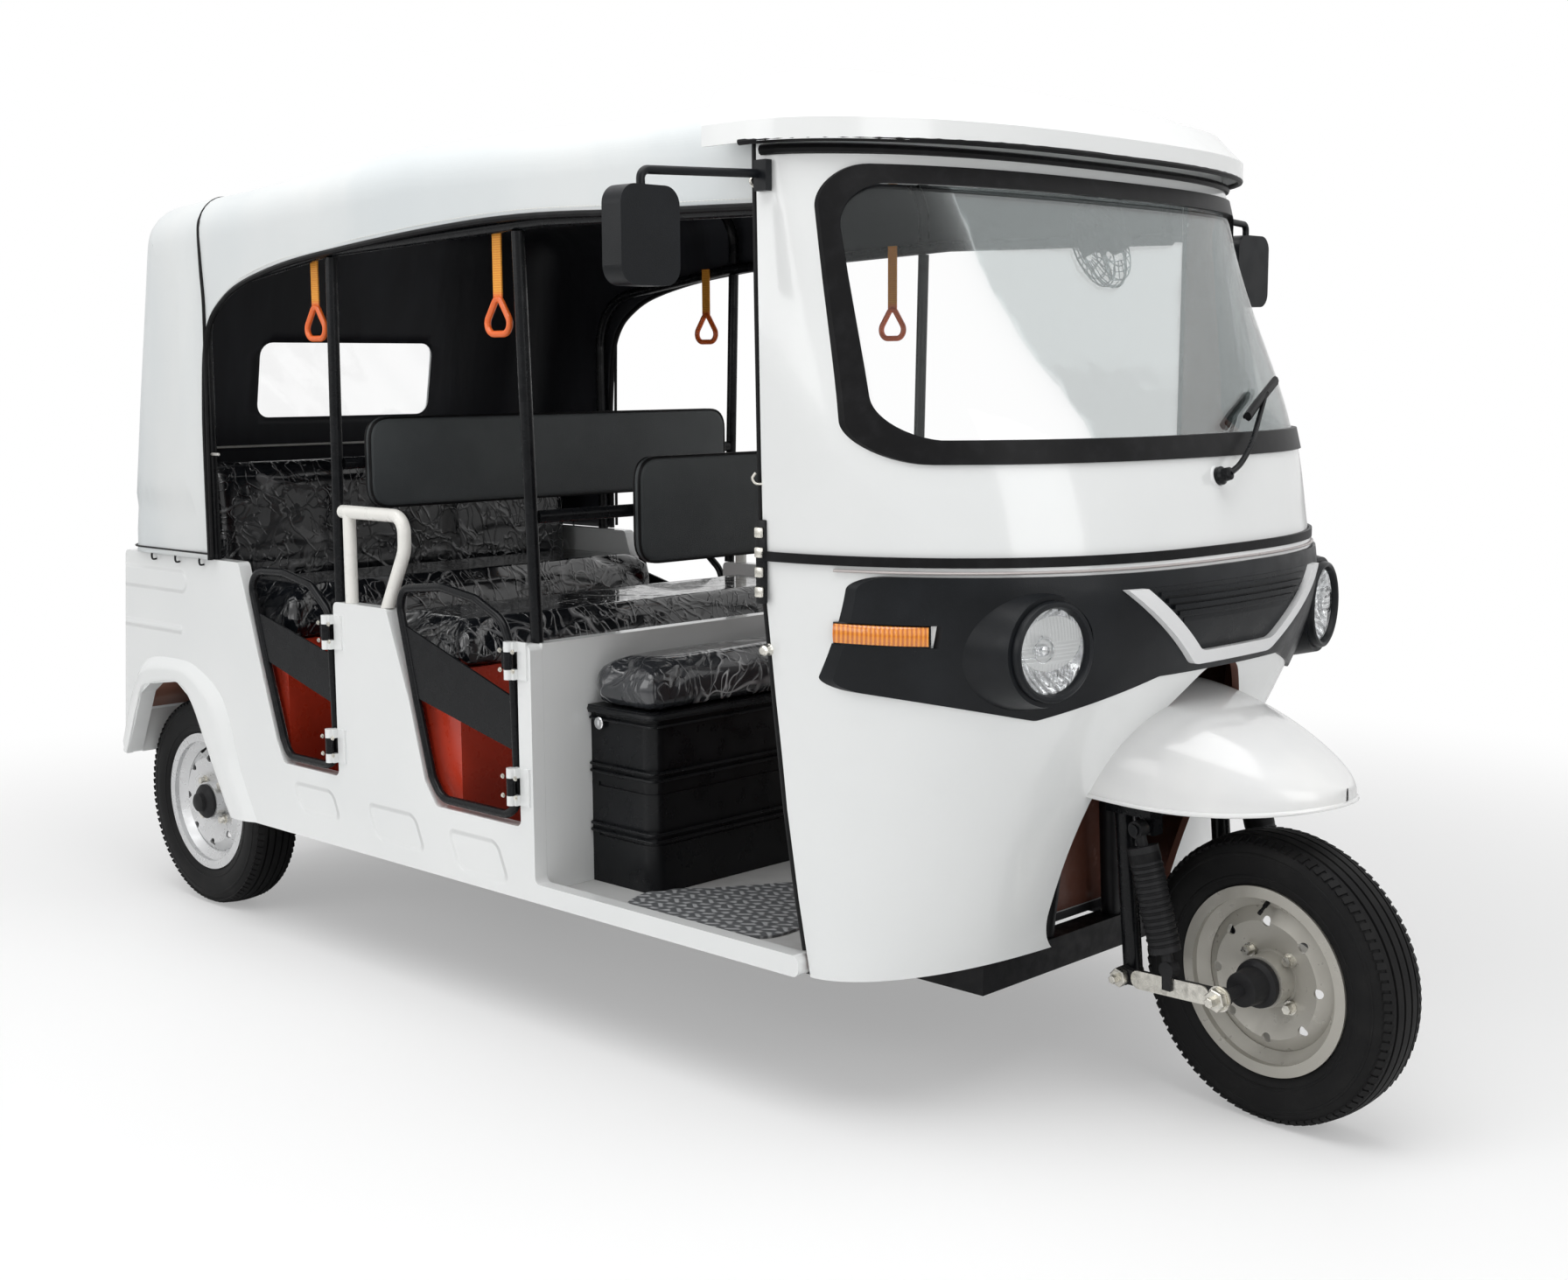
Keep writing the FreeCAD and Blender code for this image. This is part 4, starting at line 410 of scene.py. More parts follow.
def setStudio():
    scene.view_settings.view_transform = "Standard"
    for row in studio["lamps"]:
        areaLight(*row)
    world = bpy.data.worlds.new("studio_room")
    scene.world = world
    world.use_nodes = True
    graph = Graph(world.node_tree)
    rays = [graph.node("ShaderNodeLightPath", out=kind)
            for kind in ("Is Camera Ray", "Is Glossy Ray", "Is Transmission Ray")]
    seen = rays[0].most(rays[1] * studio["mirrored"]).most(rays[2])
    strength = seen * (studio["white"] - studio["room"]) + studio["room"]
    back = world.node_tree.nodes["Background"]
    graph.plug(back.inputs["Color"], (1, 1, 1, 1))
    graph.plug(back.inputs["Strength"], strength)
    floor = Finish("studio_floor", (studio["floor"],) * 3, 0.55, Specular_IOR_Level=0.2)
    far = floor.node("ShaderNodeVectorMath", {"operation": "LENGTH"}, {0: floor.place}, "Value")
    far = floor.ease(far, studio["fadeFrom"], studio["fadeTo"], studio["fadeLeast"], 1)
    ray = floor.node("ShaderNodeLightPath", out="Is Camera Ray")
    glow = floor.node("ShaderNodeEmission", None, {0: (1, 1, 1, 1)})
    plain = Val(floor, floor.shader.outputs[0])
    mixed = floor.node("ShaderNodeMixShader", None, {0: far * ray, 1: plain, 2: glow})
    floor.plug(floor.output.inputs[0], mixed)
    mesh = bpy.data.meshes.new("studio_floor")
    h = studio["floorHalf"]
    mesh.from_pydata([(-h, -h, 0), (h, -h, 0), (h, h, 0), (-h, h, 0)], [], [[0, 1, 2, 3]])
    mesh.materials.append(floor.material)
    ground = bpy.data.objects.new("studio_floor", mesh)
    scene.collection.objects.link(ground)


setCamera()
setStudio()
print("camera, light and floor set")


# Finishes, each on the object's own coordinates

paintShop = {
    "white": (0.80, 0.812, 0.808), "shade": (0.765, 0.78, 0.778), "primer": (0.13, 0.042, 0.024),
    "red": (0.50, 0.042, 0.018), "tube": (0.80, 0.79, 0.75),
    "silver": (0.74, 0.745, 0.75), "frontRim": (0.40, 0.385, 0.345), "rearRim": (0.62, 0.625, 0.63),
}


def whitePaint(name, rough=0.2):  # gloss white with a soft orange peel
    f = Finish(name, paintShop["white"], rough, Coat_Weight=0.45, Coat_Roughness=0.05)
    tone = f.blend(f.ease(f.noise(1.7, 2), 0.35, 0.7), paintShop["white"], paintShop["shade"])
    f.set(Base_Color=tone, Roughness=f.ease(f.noise(6, 4), 0.3, 0.7, rough - 0.04, rough + 0.07))
    f.peel = f.noise(110, 1)
    f.tone = tone
    f.set(Normal=f.bump(f.peel, 0.0004, 0.25))
    return f


def pill(across, upright, cx, cz, hx, hz, radius):  # distance outside a round cornered field
    qx = ((across - cx).size() - (hx - radius)).most(0)
    qz = ((upright - cz).size() - (hz - radius)).most(0)
    return (qx * qx + qz * qz) ** 0.5 - radius


pressed = {  # on the side walls: fields along the sill, ribs on the quarter, the wheel housing
    "fields": ((2.116, 1.963, 0.333, 0.370), (1.828, 1.658, 0.315, 0.364), (1.542, 1.381, 0.299, 0.353)),
    "lean": 0.45, "taller": 0.012, "corner": 0.02, "deep": 0.006,
    "ribs": ((0.80, 0.36, 0.026, 0.024), (0.684, 0.33, 0.009, 0.009)), "ribX": -1.60, "proud": 0.007,
    "wheel": (-1.2975, 0.255), "housing": 0.118, "inside": 0.568, "rear": -1.53,
}


def sidePaint():
    f = whitePaint("side_paint")
    x, y, z = (f.axis(k) for k in "XYZ")
    fields, ribs = None, None
    for foot, head, low, high in pressed["fields"]:
        middle = (low + high) / 2
        d = pill(x + (z - middle) * pressed["lean"], z, at((foot + head) / 2), middle,
                 (foot - head) / 2, (high - low) / 2 + pressed["taller"], pressed["corner"])
        fields = d if fields is None else fields.least(d)
    for height, long, high, corner in pressed["ribs"]:
        d = pill(x, z, pressed["ribX"], height, long, high, corner)
        ribs = d if ribs is None else ribs.least(d)
    shape = f.ease(fields, -0.007, 0.005) * pressed["deep"]
    shape = shape + f.ease(ribs, -0.008, 0.004, 1, 0) * pressed["proud"]
    f.set(Normal=f.bump(shape, 1.0, 0.8, f.bump(f.peel, 0.0004, 0.25)))
    wheelX, wheelZ = pressed["wheel"]
    near = ((x - wheelX) ** 2 + (z - wheelZ) ** 2) < pressed["housing"]
    housing = near * (y.size() < pressed["inside"]) * (x > pressed["rear"])
    rust = f.blend(f.noise(14, 5), paintShop["primer"], (0.21, 0.085, 0.05))
    f.set(Base_Color=f.blend(housing, f.tone, rust), Roughness=f.ease(housing, 0, 1, 0.2, 0.75))
    return f


def shellPaint():  # the cowl, white outside and primed inside
    f = whitePaint("cowl_gloss", 0.16)
    inside = f.facingIn((0.55, 0, 0))
    rust = f.blend(f.noise(9, 5), paintShop["primer"], (0.19, 0.07, 0.045))
    f.set(Base_Color=f.blend(inside, f.tone, rust))
    f.set(Roughness=f.ease(inside, 0, 1, 0.16, 0.6))
    return f


def pearlPaint():  # the mudguard's pearl white
    f = whitePaint("pearl_white", 0.2)
    tone = f.blend(f.ease(f.noise(5, 3), 0.3, 0.7), (0.80, 0.80, 0.79), (0.74, 0.745, 0.745))
    f.set(Sheen_Weight=0.12, Base_Color=tone)
    return f


def enamel(name, colour, rough=0.32, wear=(0.10, 0.09, 0.08), much=0.66, metallic=0.0):
    dark = max(colour) < 0.05
    f = Finish(name, colour, rough, Metallic=metallic, Coat_Roughness=0.15,
               Specular_IOR_Level=0.16 if dark else 0.45, Coat_Weight=0.04 if dark else 0.2)
    spots = f.ease(f.noise(22, 6, 0.65), much, much + 0.12)
    f.set(Base_Color=f.blend(spots, colour, wear))
    f.set(Roughness=f.ease(f.noise(35, 4), 0.3, 0.7, rough - 0.08, rough + 0.14))
    f.set(Normal=f.bump(f.noise(160, 2), 0.0006, 0.3))
    return f


def moulded(name, colour, rough=0.42, grain=650, depth=0.0004):  # satin plastic with a fine grain
    f = Finish(name, colour, rough, Specular_IOR_Level=0.2)
    cells = f.node("ShaderNodeTexVoronoi", {"feature": "SMOOTH_F1"},
                   {"Vector": f.place, "Scale": grain, "Smoothness": 0.6}, "Distance")
    lift = tuple(c * 1.5 + 0.001 for c in colour)
    f.set(Base_Color=f.blend(f.ease(f.noise(8, 4), 0.35, 0.75), colour, lift))
    f.set(Roughness=f.ease(f.noise(18, 3), 0.3, 0.7, rough - 0.06, rough + 0.08))
    f.set(Normal=f.bump(cells, depth, 0.35))
    return f


def rubber(name, colour=(0.013, 0.013, 0.014), rough=0.62):
    f = Finish(name, colour, rough, Specular_IOR_Level=0.14)
    worn = tuple(c * 2.1 for c in colour)
    f.set(Base_Color=f.blend(f.ease(f.noise(30, 4), 0.4, 0.8), colour, worn))
    f.set(Normal=f.bump(f.noise(420, 2), 0.0005, 0.35))
    return f


def canopyOuter():  # coated white cloth, soft folds over a fine weave
    f = Finish("canopy_white", (0.66, 0.69, 0.695), 0.36, Coat_Weight=0.12, Coat_Roughness=0.3)
    folds = f.noise(3.2, 4, 0.5, 0.6, f.stretch(0.55, 1, 0.35))
    fine = f.noise(14, 3, 0.5, 0, f.stretch(1, 1, 0.5))
    weave = sum((f.axis(k) * 3900).sine() for k in "XZY") * 0.5
    low = f.bump(folds, 0.018, 0.35)
    mid = f.bump(fine, 0.003, 0.25, low)
    f.set(Normal=f.bump(weave, 0.00012, 0.3, mid))
    # The cloth is painted darker in the fold hollows and lighter on the crests, following the fold bump:
    # painted shade and painted highlight.
    f.set(Base_Color=f.blend(f.ease(folds, 0.3, 0.75), (0.62, 0.655, 0.665), (0.72, 0.735, 0.73)))
    return f


def liningCloth():  # black lining with a dull sheen
    f = Finish("lining_black", (0.008, 0.009, 0.014), 0.55, Sheen_Weight=0.1)
    folds = f.noise(5, 4, 0.5, 0.4, f.stretch(1, 1, 0.3))
    f.set(Normal=f.bump(folds, 0.02, 0.5))
    # The lining is painted lighter on the fold crests, following the fold bump: a painted sheen on top of the
    # shader's own sheen.
    tone = f.blend(f.ease(folds, 0.45, 0.8), (0.006, 0.007, 0.011), (0.022, 0.024, 0.032))
    f.set(Base_Color=tone)
    return f


def filmedVinyl(name, base, hazeAndGlint=0.5):  # vinyl under crinkled clear film
    f = Finish(name, base, 0.14, Specular_IOR_Level=0.6, Coat_Weight=0.6, Coat_Roughness=0.04)
    bent = f.node("ShaderNodeTexNoise", None, {"Vector": f.place, "Scale": 5.0, "Detail": 2.0},
                  "Color")
    push = f.node("ShaderNodeVectorMath", {"operation": "SCALE"}, {0: bent, "Scale": 0.16})
    place = f.node("ShaderNodeVectorMath", {"operation": "ADD"}, {0: f.place, 1: push})
    creases = None
    for scale, turnBy in ((7, (2.0, 0.6, 1)), (12, (0.5, 1.9, 1)), (19, (1.5, 1.0, 1))):
        wide = f.stretch(*turnBy, place)
        value = 1 - (f.noise(scale, 1, 0.4, 0.2, wide) - 0.5).size() * 34
        value = value.most(0) * (1.1 - scale / 60)
        creases = value if creases is None else creases.most(value)
    fold = f.node("ShaderNodeTexVoronoi", {"feature": "DISTANCE_TO_EDGE"},
                  {"Vector": place, "Scale": 11.0}, "Distance")
    f.set(Normal=f.bump(creases + f.ease(fold, 0, 0.04, 1, 0) * 0.4, 0.0028, 0.7))
    # Crease ridges are painted near white under a patchy noise mask: partly the film's milky haze, partly
    # painted highlights where the crinkles catch the light.
    filmGlint = f.ease(creases, 0.25, 0.85) * f.ease(f.noise(5, 3), 0.46, 0.62) * hazeAndGlint
    f.set(Base_Color=f.blend(filmGlint, base, (0.72, 0.73, 0.74)))
    f.set(Roughness=f.ease(f.noise(12, 3), 0.3, 0.7, 0.09, 0.24))
    return f


def greyVinyl():
    f = Finish("grey_vinyl", (0.030, 0.036, 0.038), 0.46, Sheen_Weight=0.08)
    grain = f.node("ShaderNodeTexVoronoi", {"feature": "DISTANCE_TO_EDGE"},
                   {"Vector": f.place, "Scale": 330.0}, "Distance")
    f.set(Normal=f.bump(f.ease(grain, 0, 0.12), 0.0006, 0.5, f.bump(f.noise(6, 3), 0.008, 0.3)))
    tone = f.blend(f.ease(f.noise(3, 4), 0.35, 0.7), (0.024, 0.029, 0.032), (0.046, 0.053, 0.055))
    f.set(Base_Color=tone)
    return f


def clear(name, tint, least, gloss=0.02):  # thin clear sheet: the glancing faces mirror more
    f = Finish(name, tint, gloss, Metallic=1.0, IOR=1.5)
    shine = f.node("ShaderNodeFresnel", None, {"IOR": 1.5})
    f.set(Alpha=(shine * 0.7 + least).least(1))
    f.set(Roughness=f.ease(f.noise(3, 2), 0.3, 0.7, gloss, gloss + 0.02))
    return f


def metal(name, colour, rough, scale=60):
    f = Finish(name, colour, rough, Metallic=1.0)
    dull = tuple(c * 0.62 for c in colour)
    f.set(Base_Color=f.blend(f.ease(f.noise(scale, 4), 0.4, 0.75), colour, dull))
    f.set(Roughness=f.ease(f.noise(scale * 2, 3), 0.3, 0.7, rough * 0.7, rough * 1.4))
    f.set(Normal=f.bump(f.noise(scale * 6, 2), 0.0003, 0.3))
    return f


def lampPlastic(name, colour, deep, glow=0.0):  # ribbed coloured lens
    f = Finish(name, colour, 0.12, Coat_Weight=0.8, Coat_Roughness=0.05)
    ribs = ((f.axis("X") + f.axis("Y")) * 620).sine()
    f.set(Normal=f.bump(ribs, 0.0010, 0.5))
    f.set(Base_Color=f.blend(f.ease(ribs, -1, 1), deep, colour))
    if glow:
        f.set(Emission_Color=(*colour, 1), Emission_Strength=glow)
    return f


def rearLamp():  # amber over red over a clear strip
    f = lampPlastic("rear_lamp_lens", (0.62, 0.012, 0.010), (0.22, 0.004, 0.004))
    z = f.axis("Z")
    ribs = f.ease((z * 900).sine(), -1, 1)
    red = f.blend(ribs, (0.20, 0.004, 0.004), (0.60, 0.012, 0.010))
    amber = f.blend(ribs, (0.50, 0.12, 0.004), (0.86, 0.28, 0.01))
    pale = f.blend(ribs, (0.45, 0.46, 0.47), (0.78, 0.79, 0.80))
    mixed = f.blend(z > 0.722, red, amber)
    f.set(Base_Color=f.blend(z < 0.668, mixed, pale))
    return f


chequer = {"cell": 0.034, "long": 0.55, "wide": 0.15, "front": 0.02, "top": 0.278}


def floorPaint():  # chequer plate behind the doors, pale sheet in the cab, dark beneath
    f = Finish("floor_sheet", (0.05, 0.052, 0.055), 0.4)
    x, y, z = (f.axis(k) for k in "XYZ")
    u, v = x / chequer["cell"], y / chequer["cell"]
    fu, fv = u.math("FRACT", u) - 0.5, v.math("FRACT", v) - 0.5
    odd = u.math("MODULO", (u.math("FLOOR", u) + v.math("FLOOR", v)).size(), 2) > 0.5
    lean = odd * 2 - 1  # every other bar leans the other way
    along, across = (fu + fv * lean) / chequer["long"], (fv - fu * lean) / chequer["wide"]
    bars = f.ease(along ** 2 + across ** 2, 0.75, 1.15, 1, 0)
    raised = bars * (x < chequer["front"])
    wornTops = f.blend(raised, (0.035, 0.036, 0.04), (0.50, 0.51, 0.52))
    paleCab = f.blend(f.ease(f.noise(9, 4), 0.4, 0.8), (0.50, 0.505, 0.50), (0.38, 0.38, 0.375))
    upper = f.blend(x > chequer["front"], wornTops, paleCab)
    f.set(Base_Color=f.blend(z > chequer["top"], (0.02, 0.02, 0.022), upper))
    f.set(Normal=f.bump(raised, 0.002, 0.9), Roughness=f.ease(raised, 0, 1, 0.5, 0.28))
    return f


def matRubber():  # grey mat with a lapped wave pattern
    f = Finish("mat_grey", (0.22, 0.225, 0.235), 0.5)
    x, y = f.axis("X"), f.axis("Y")
    along = (x * 240 + (y * 150).sine() * 1.6).sine()
    across = (y * 300 + (x * 130).sine() * 1.4).sine()
    ridge = f.ease((along + across) * 0.5, -0.2, 0.7)
    f.set(Normal=f.bump(ridge, 0.002, 0.8))
    # The ridges are painted light and the hollows dark, following the bump: painted highlight and painted
    # shade on the relief.
    f.set(Base_Color=f.blend(ridge, (0.10, 0.105, 0.11), (0.40, 0.41, 0.42)))
    return f


def tyreRubber():
    f = rubber("tyre_rubber", (0.006, 0.006, 0.0065), 0.58)
    dust = f.ease(f.noise(12, 5, 0.6), 0.45, 0.85)
    f.set(Base_Color=f.blend(dust, (0.006, 0.006, 0.0063), (0.014, 0.0137, 0.0133)))
    return f


def ringPlastic():  # orange ring, yellower strap above it
    f = Finish("ring_orange", (0.82, 0.17, 0.02), 0.36, Coat_Weight=0.2)
    z = f.axis("Z")
    strap = f.ease(z, 1.428, 1.445)
    weave = f.ease((z * 1400).sine(), -0.6, 0.6)
    woven = f.blend(weave, (0.78, 0.26, 0.02), (0.88, 0.40, 0.04))
    f.set(Base_Color=f.blend(strap, (0.80, 0.14, 0.018), woven))
    f.set(Normal=f.bump(weave * strap, 0.0008, 0.6), Roughness=f.ease(strap, 0, 1, 0.34, 0.7))
    return f


gloss = whitePaint("white_paint")
side = sidePaint()
cowlGloss = shellPaint()
pearl = pearlPaint()
capGloss = whitePaint("cap_white", 0.18)
satin = moulded("mask_satin", (0.0055, 0.0065, 0.008), 0.34)
grilleBlack = moulded("grille_black", (0.006, 0.007, 0.0085), 0.28, 700)
boxBlack = moulded("box_black", (0.0055, 0.006, 0.007), 0.3, 480, 0.0003)
trimRubber = rubber("edge_rubber", (0.005, 0.005, 0.0055), 0.4)
bellowsRubber = rubber("bellows_rubber", (0.006, 0.006, 0.0065), 0.5)
tyreBlack = tyreRubber()
frameBlack = enamel("frame_enamel", (0.006, 0.0065, 0.0075), 0.24, (0.012, 0.011, 0.010), 0.76)
chassisBlack = enamel("chassis_enamel", (0.007, 0.007, 0.008), 0.45, (0.022, 0.017, 0.014), 0.66)
axleGrey = enamel("axle_grey", (0.016, 0.016, 0.017), 0.5, (0.045, 0.034, 0.027), 0.62)
primer = enamel("primer_brown", paintShop["primer"], 0.6, (0.22, 0.10, 0.07), 0.6)
redPaint = enamel("bench_red", paintShop["red"], 0.3, (0.30, 0.03, 0.012), 0.66)
tubeWhite = enamel("tube_white", paintShop["tube"], 0.3, (0.7, 0.69, 0.65), 0.74)
frontSteel = enamel("front_rim_enamel", paintShop["frontRim"], 0.34, (0.30, 0.27, 0.22), 0.72, 0.25)
rearSteel = enamel("rear_rim_silver", paintShop["rearRim"], 0.3, (0.50, 0.49, 0.47), 0.74, 0.55)
silver = enamel("silver_trim", paintShop["silver"], 0.36, (0.72, 0.72, 0.72), 0.8)
zinc = metal("zinc_plate", (0.72, 0.70, 0.64), 0.3)
chrome = metal("chrome", (0.86, 0.87, 0.88), 0.08, 20)
mirrorGlass = metal("mirror_silver", (0.78, 0.80, 0.82), 0.03, 4)
windowGlass = clear("window_glass", (0.80, 0.84, 0.84), 0.0)
windowFilm = clear("window_film", (0.90, 0.92, 0.92), 0.05, 0.08)
amberLens = lampPlastic("amber_lens", (0.86, 0.30, 0.02), (0.50, 0.12, 0.004), 0.06)
redLens = rearLamp()
outerCloth = canopyOuter()
lining = liningCloth()
seatFilm = filmedVinyl("seat_vinyl_filmed", (0.006, 0.007, 0.009), 0.2)
boxFilm = filmedVinyl("driver_vinyl_filmed", (0.03, 0.032, 0.036), 1.0)
padGrey = greyVinyl()
floorFinish = floorPaint()
matGrey = matRubber()
ringFinish = ringPlastic()
plateWhite = enamel("plate_blank", (0.72, 0.72, 0.70), 0.35, (0.5, 0.5, 0.48), 0.7)
stripPale = enamel("pale_strip", (0.42, 0.38, 0.37), 0.35, (0.3, 0.28, 0.27), 0.7)

dressed = {
    "chassis_frame": chassisBlack, "floor_pan": floorFinish, "side_right": side, "side_left": side,
    "rear_panel": side, "bulkhead": primer, "dashboard": satin, "partition": gloss,
    "cowl_lower": cowlGloss, "cowl_upper": cowlGloss, "windscreen": windowGlass,
    "body_edging": trimRubber, "front_mask": satin, "grille": grilleBlack, "grille_trim": silver,
    "mudguard": pearl, "roof_cap": capGloss, "side_rails": frameBlack, "posts": frameBlack,
    "roof_bows": frameBlack, "grab_handles": tubeWhite, "hand_rings": ringFinish,
    "mirrors": satin, "driver_box": boxBlack, "battery_pack": boxBlack, "benches": redPaint,
    "rear_axle": axleGrey, "leaf_springs": axleGrey, "rear_lamps": redLens, "fork": frameBlack,
    "front_suspension": axleGrey, "handlebar": frameBlack, "front_rim": frontSteel,
    "right_rim": rearSteel, "left_rim": rearSteel, "fore_door_right": frameBlack,
    "aft_door_right": frameBlack, "fore_door_left": frameBlack, "aft_door_left": frameBlack,
}
for name, finish in dressed.items():
    for slotHere in nodes[name].material_slots:
        slotHere.material = finish.material
print("finishes made:", len(bpy.data.materials))


# Trees for what repeats

def boltTree(finish):  # a washer under a head with flats, on each point
    t = GeoTree("bolt_heads")
    size, high, sides = t.input("Size", 0.006), t.input("High", 0.004), t.input("Sides", 6)
    washer = t.node("GeometryNodeMeshCylinder", None,
                    {"Vertices": 20, "Radius": size * 1.45, "Depth": high * 0.5})
    head = t.node("GeometryNodeMeshCylinder", None,
                  {"Vertices": sides, "Radius": size, "Depth": high * 1.2})
    head = t.node("GeometryNodeTransform", None,
                  {"Geometry": head, "Translation": t.vector(0, 0, high * 0.8)})
    facing = t.node("GeometryNodeInputNamedAttribute", {"data_type": "FLOAT_VECTOR"}, {"Name": "facing"})
    turned = t.node("FunctionNodeAlignRotationToVector", {"axis": "Z"}, {"Vector": facing})
    put = {"Points": t.geometry, "Instance": t.join(washer, head), "Rotation": turned}
    return t.finish(t.node("GeometryNodeInstanceOnPoints", None, put), finish.material)


def lugTree(finish):  # shoulder blocks of a tyre, one on each point of a circle about Y
    t = GeoTree("tyre_lugs")
    wide, long, high = t.input("Wide", 0.016), t.input("Long", 0.018), t.input("High", 0.006)
    tip, lean = t.input("Tip", 0.5), t.input("Lean", 0.25)
    block = t.node("GeometryNodeMeshCube", None, {"Size": t.vector(long, wide, high)})
    block = t.node("GeometryNodeTransform", None, {"Geometry": block, "Rotation": t.vector(tip, 0, 0)})
    block = t.node("GeometryNodeTransform", None, {"Geometry": block, "Rotation": t.vector(0, 0, lean)})
    facing = t.node("GeometryNodeInputNamedAttribute", {"data_type": "FLOAT_VECTOR"}, {"Name": "facing"})
    turned = t.node("FunctionNodeAlignRotationToVector", {"axis": "Z", "pivot_axis": "Y"},
                    {"Vector": facing})
    put = {"Points": t.geometry, "Instance": block, "Rotation": turned}
    return t.finish(t.node("GeometryNodeInstanceOnPoints", None, put), finish.material)


def stitchTree(finish):  # short threads laid end to end along a path
    t = GeoTree("stitches")
    pitch, long, thick = t.input("Pitch", 0.009), t.input("Long", 0.006), t.input("Thick", 0.0007)
    line = t.node("GeometryNodeMeshToCurve", None, {"Mesh": t.geometry})
    line = t.node("GeometryNodeResampleCurve", {"mode": "LENGTH"}, {"Curve": line, "Length": pitch})
    thread = t.node("GeometryNodeMeshCylinder", None, {"Vertices": 6, "Radius": thick, "Depth": long})
    tangent = t.node("GeometryNodeInputTangent")
    turned = t.node("FunctionNodeAlignRotationToVector", {"axis": "Z"}, {"Vector": tangent})
    put = {"Points": line, "Instance": thread, "Rotation": turned}
    return t.finish(t.node("GeometryNodeInstanceOnPoints", None, put), finish.material)


zincBolts, tyreLugs = boltTree(zinc), lugTree(tyreBlack)
paleStitches = stitchTree(tubeWhite)


# Canopy

canopyPlan = {
    "half": 0.612, "shoulder": 0.096, "foot": 0.8625, "corner": 0.11, "cloth": 0.003, "column": 0.03,
    "profile": ((0.7025, 1.742), (-0.2875, 1.742), (-1.3675, 1.672), (-1.5135, 0.8625)),
    "bows": (0.69, 0.0225, -0.5995, -1.26), "sag": 0.009, "soft": (0.0045, 0.0016), "full": 0.006,
    "eave": ((0.7025, 1.553), (0.6515, 1.556), (0.3715, 1.564), (0.0575, 1.573), (-0.2145, 1.564),
             (-0.5155, 1.542), (-0.7465, 1.518), (-0.9255, 1.481), (-1.0205, 1.436), (-1.0655, 1.390),
             (-1.0865, 1.330), (-1.0985, 1.22), (-1.1025, 1.12), (-1.1035, 0.8625)),
    "quarter": -0.98, "window": (0.262, 1.176, 1.364, 0.034),  # half width, foot, head, corner
    "flats": (0.475, 0.432, 0.39, 0.348, 0.305), "middle": (0.19, 0.152, 0.114, 0.076, 0.038),
    "down": 12, "round": 8,
}


def alongPath(path, count=None, step=None):  # the same line in even steps
    lengths = [0.0]
    for a, b in zip(path, path[1:]):
        lengths.append(lengths[-1] + (b - a).length)
    count = count or max(2, round(lengths[-1] / step) + 1)
    made, k = [], 0
    for i in range(count):
        want = lengths[-1] * i / (count - 1)
        while k < len(path) - 2 and lengths[k + 1] < want:
            k += 1
        part = (want - lengths[k]) / max(lengths[k + 1] - lengths[k], 1e-9)
        made.append(path[k].lerp(path[k + 1], min(max(part, 0), 1)))
    return made


def flat(pairs):
    return [Vector((x, 0, z)) for x, z in pairs]


def bothSides(path):  # a line to the middle, carried on down the other side
    return path + [Vector((p.x, -p.y, p.z)) for p in reversed(path[:-1])]


def canopyColumns():  # the long profile over the roof and down the back
    plan = canopyPlan
    path = roundPath(flat(plan["profile"]), plan["corner"], 10)
    path = alongPath(path, step=plan["column"])
    low, high, corner = plan["window"][1:]
    a, b = flat(plan["profile"])[-2:]
    for z in (low, low + corner, high - corner, high):
        p = a.lerp(b, (a.z - z) / (a.z - b.z))
        path = [q for q in path if q.x > -1.3 or (q - p).length > 0.012]
        path.append(p)
        path.sort(key=lambda q: (q.x < -1.33, -q.x if q.x >= -1.33 else -q.z))
    return path


def canopySag(x, y):  # cloth hangs a little between the bows
    bows = canopyPlan["bows"]
    for front, rear in zip(bows, bows[1:]):
        if rear <= x <= front:
            share = (front - x) / (front - rear)
            return -canopyPlan["sag"] * math.sin(math.pi * share) * (1 - (abs(y) / 0.62) ** 4)
    return 0.0


def canopyFeet(inner, eave):  # where the side below each column ends
    split = next(i for i, p in enumerate(inner) if p.x < canopyPlan["quarter"])
    ahead = [p for p in eave if p.x > inner[split].x]
    rest = [p for p in eave if p.x <= inner[split].x]
    rest = [ahead[-1].lerp(rest[0], 0.5)] + rest + [Vector((inner[-1].x, 0, canopyPlan["foot"]))]
    rest = alongPath(rest, len(inner) - split)
    corner = flat(canopyPlan["eave"])[-1]
    near = min(range(len(rest)), key=lambda i: (rest[i] - corner).length)
    rest[near] = corner
    feet = []
    for p in inner[:split]:
        k = next((j for j in range(len(eave) - 1) if eave[j + 1].x <= p.x), 0)
        a, b = eave[k], eave[k + 1]
        feet.append(a.lerp(b, min(max((a.x - p.x) / max(a.x - b.x, 1e-9), 0), 1)))
    return feet + rest


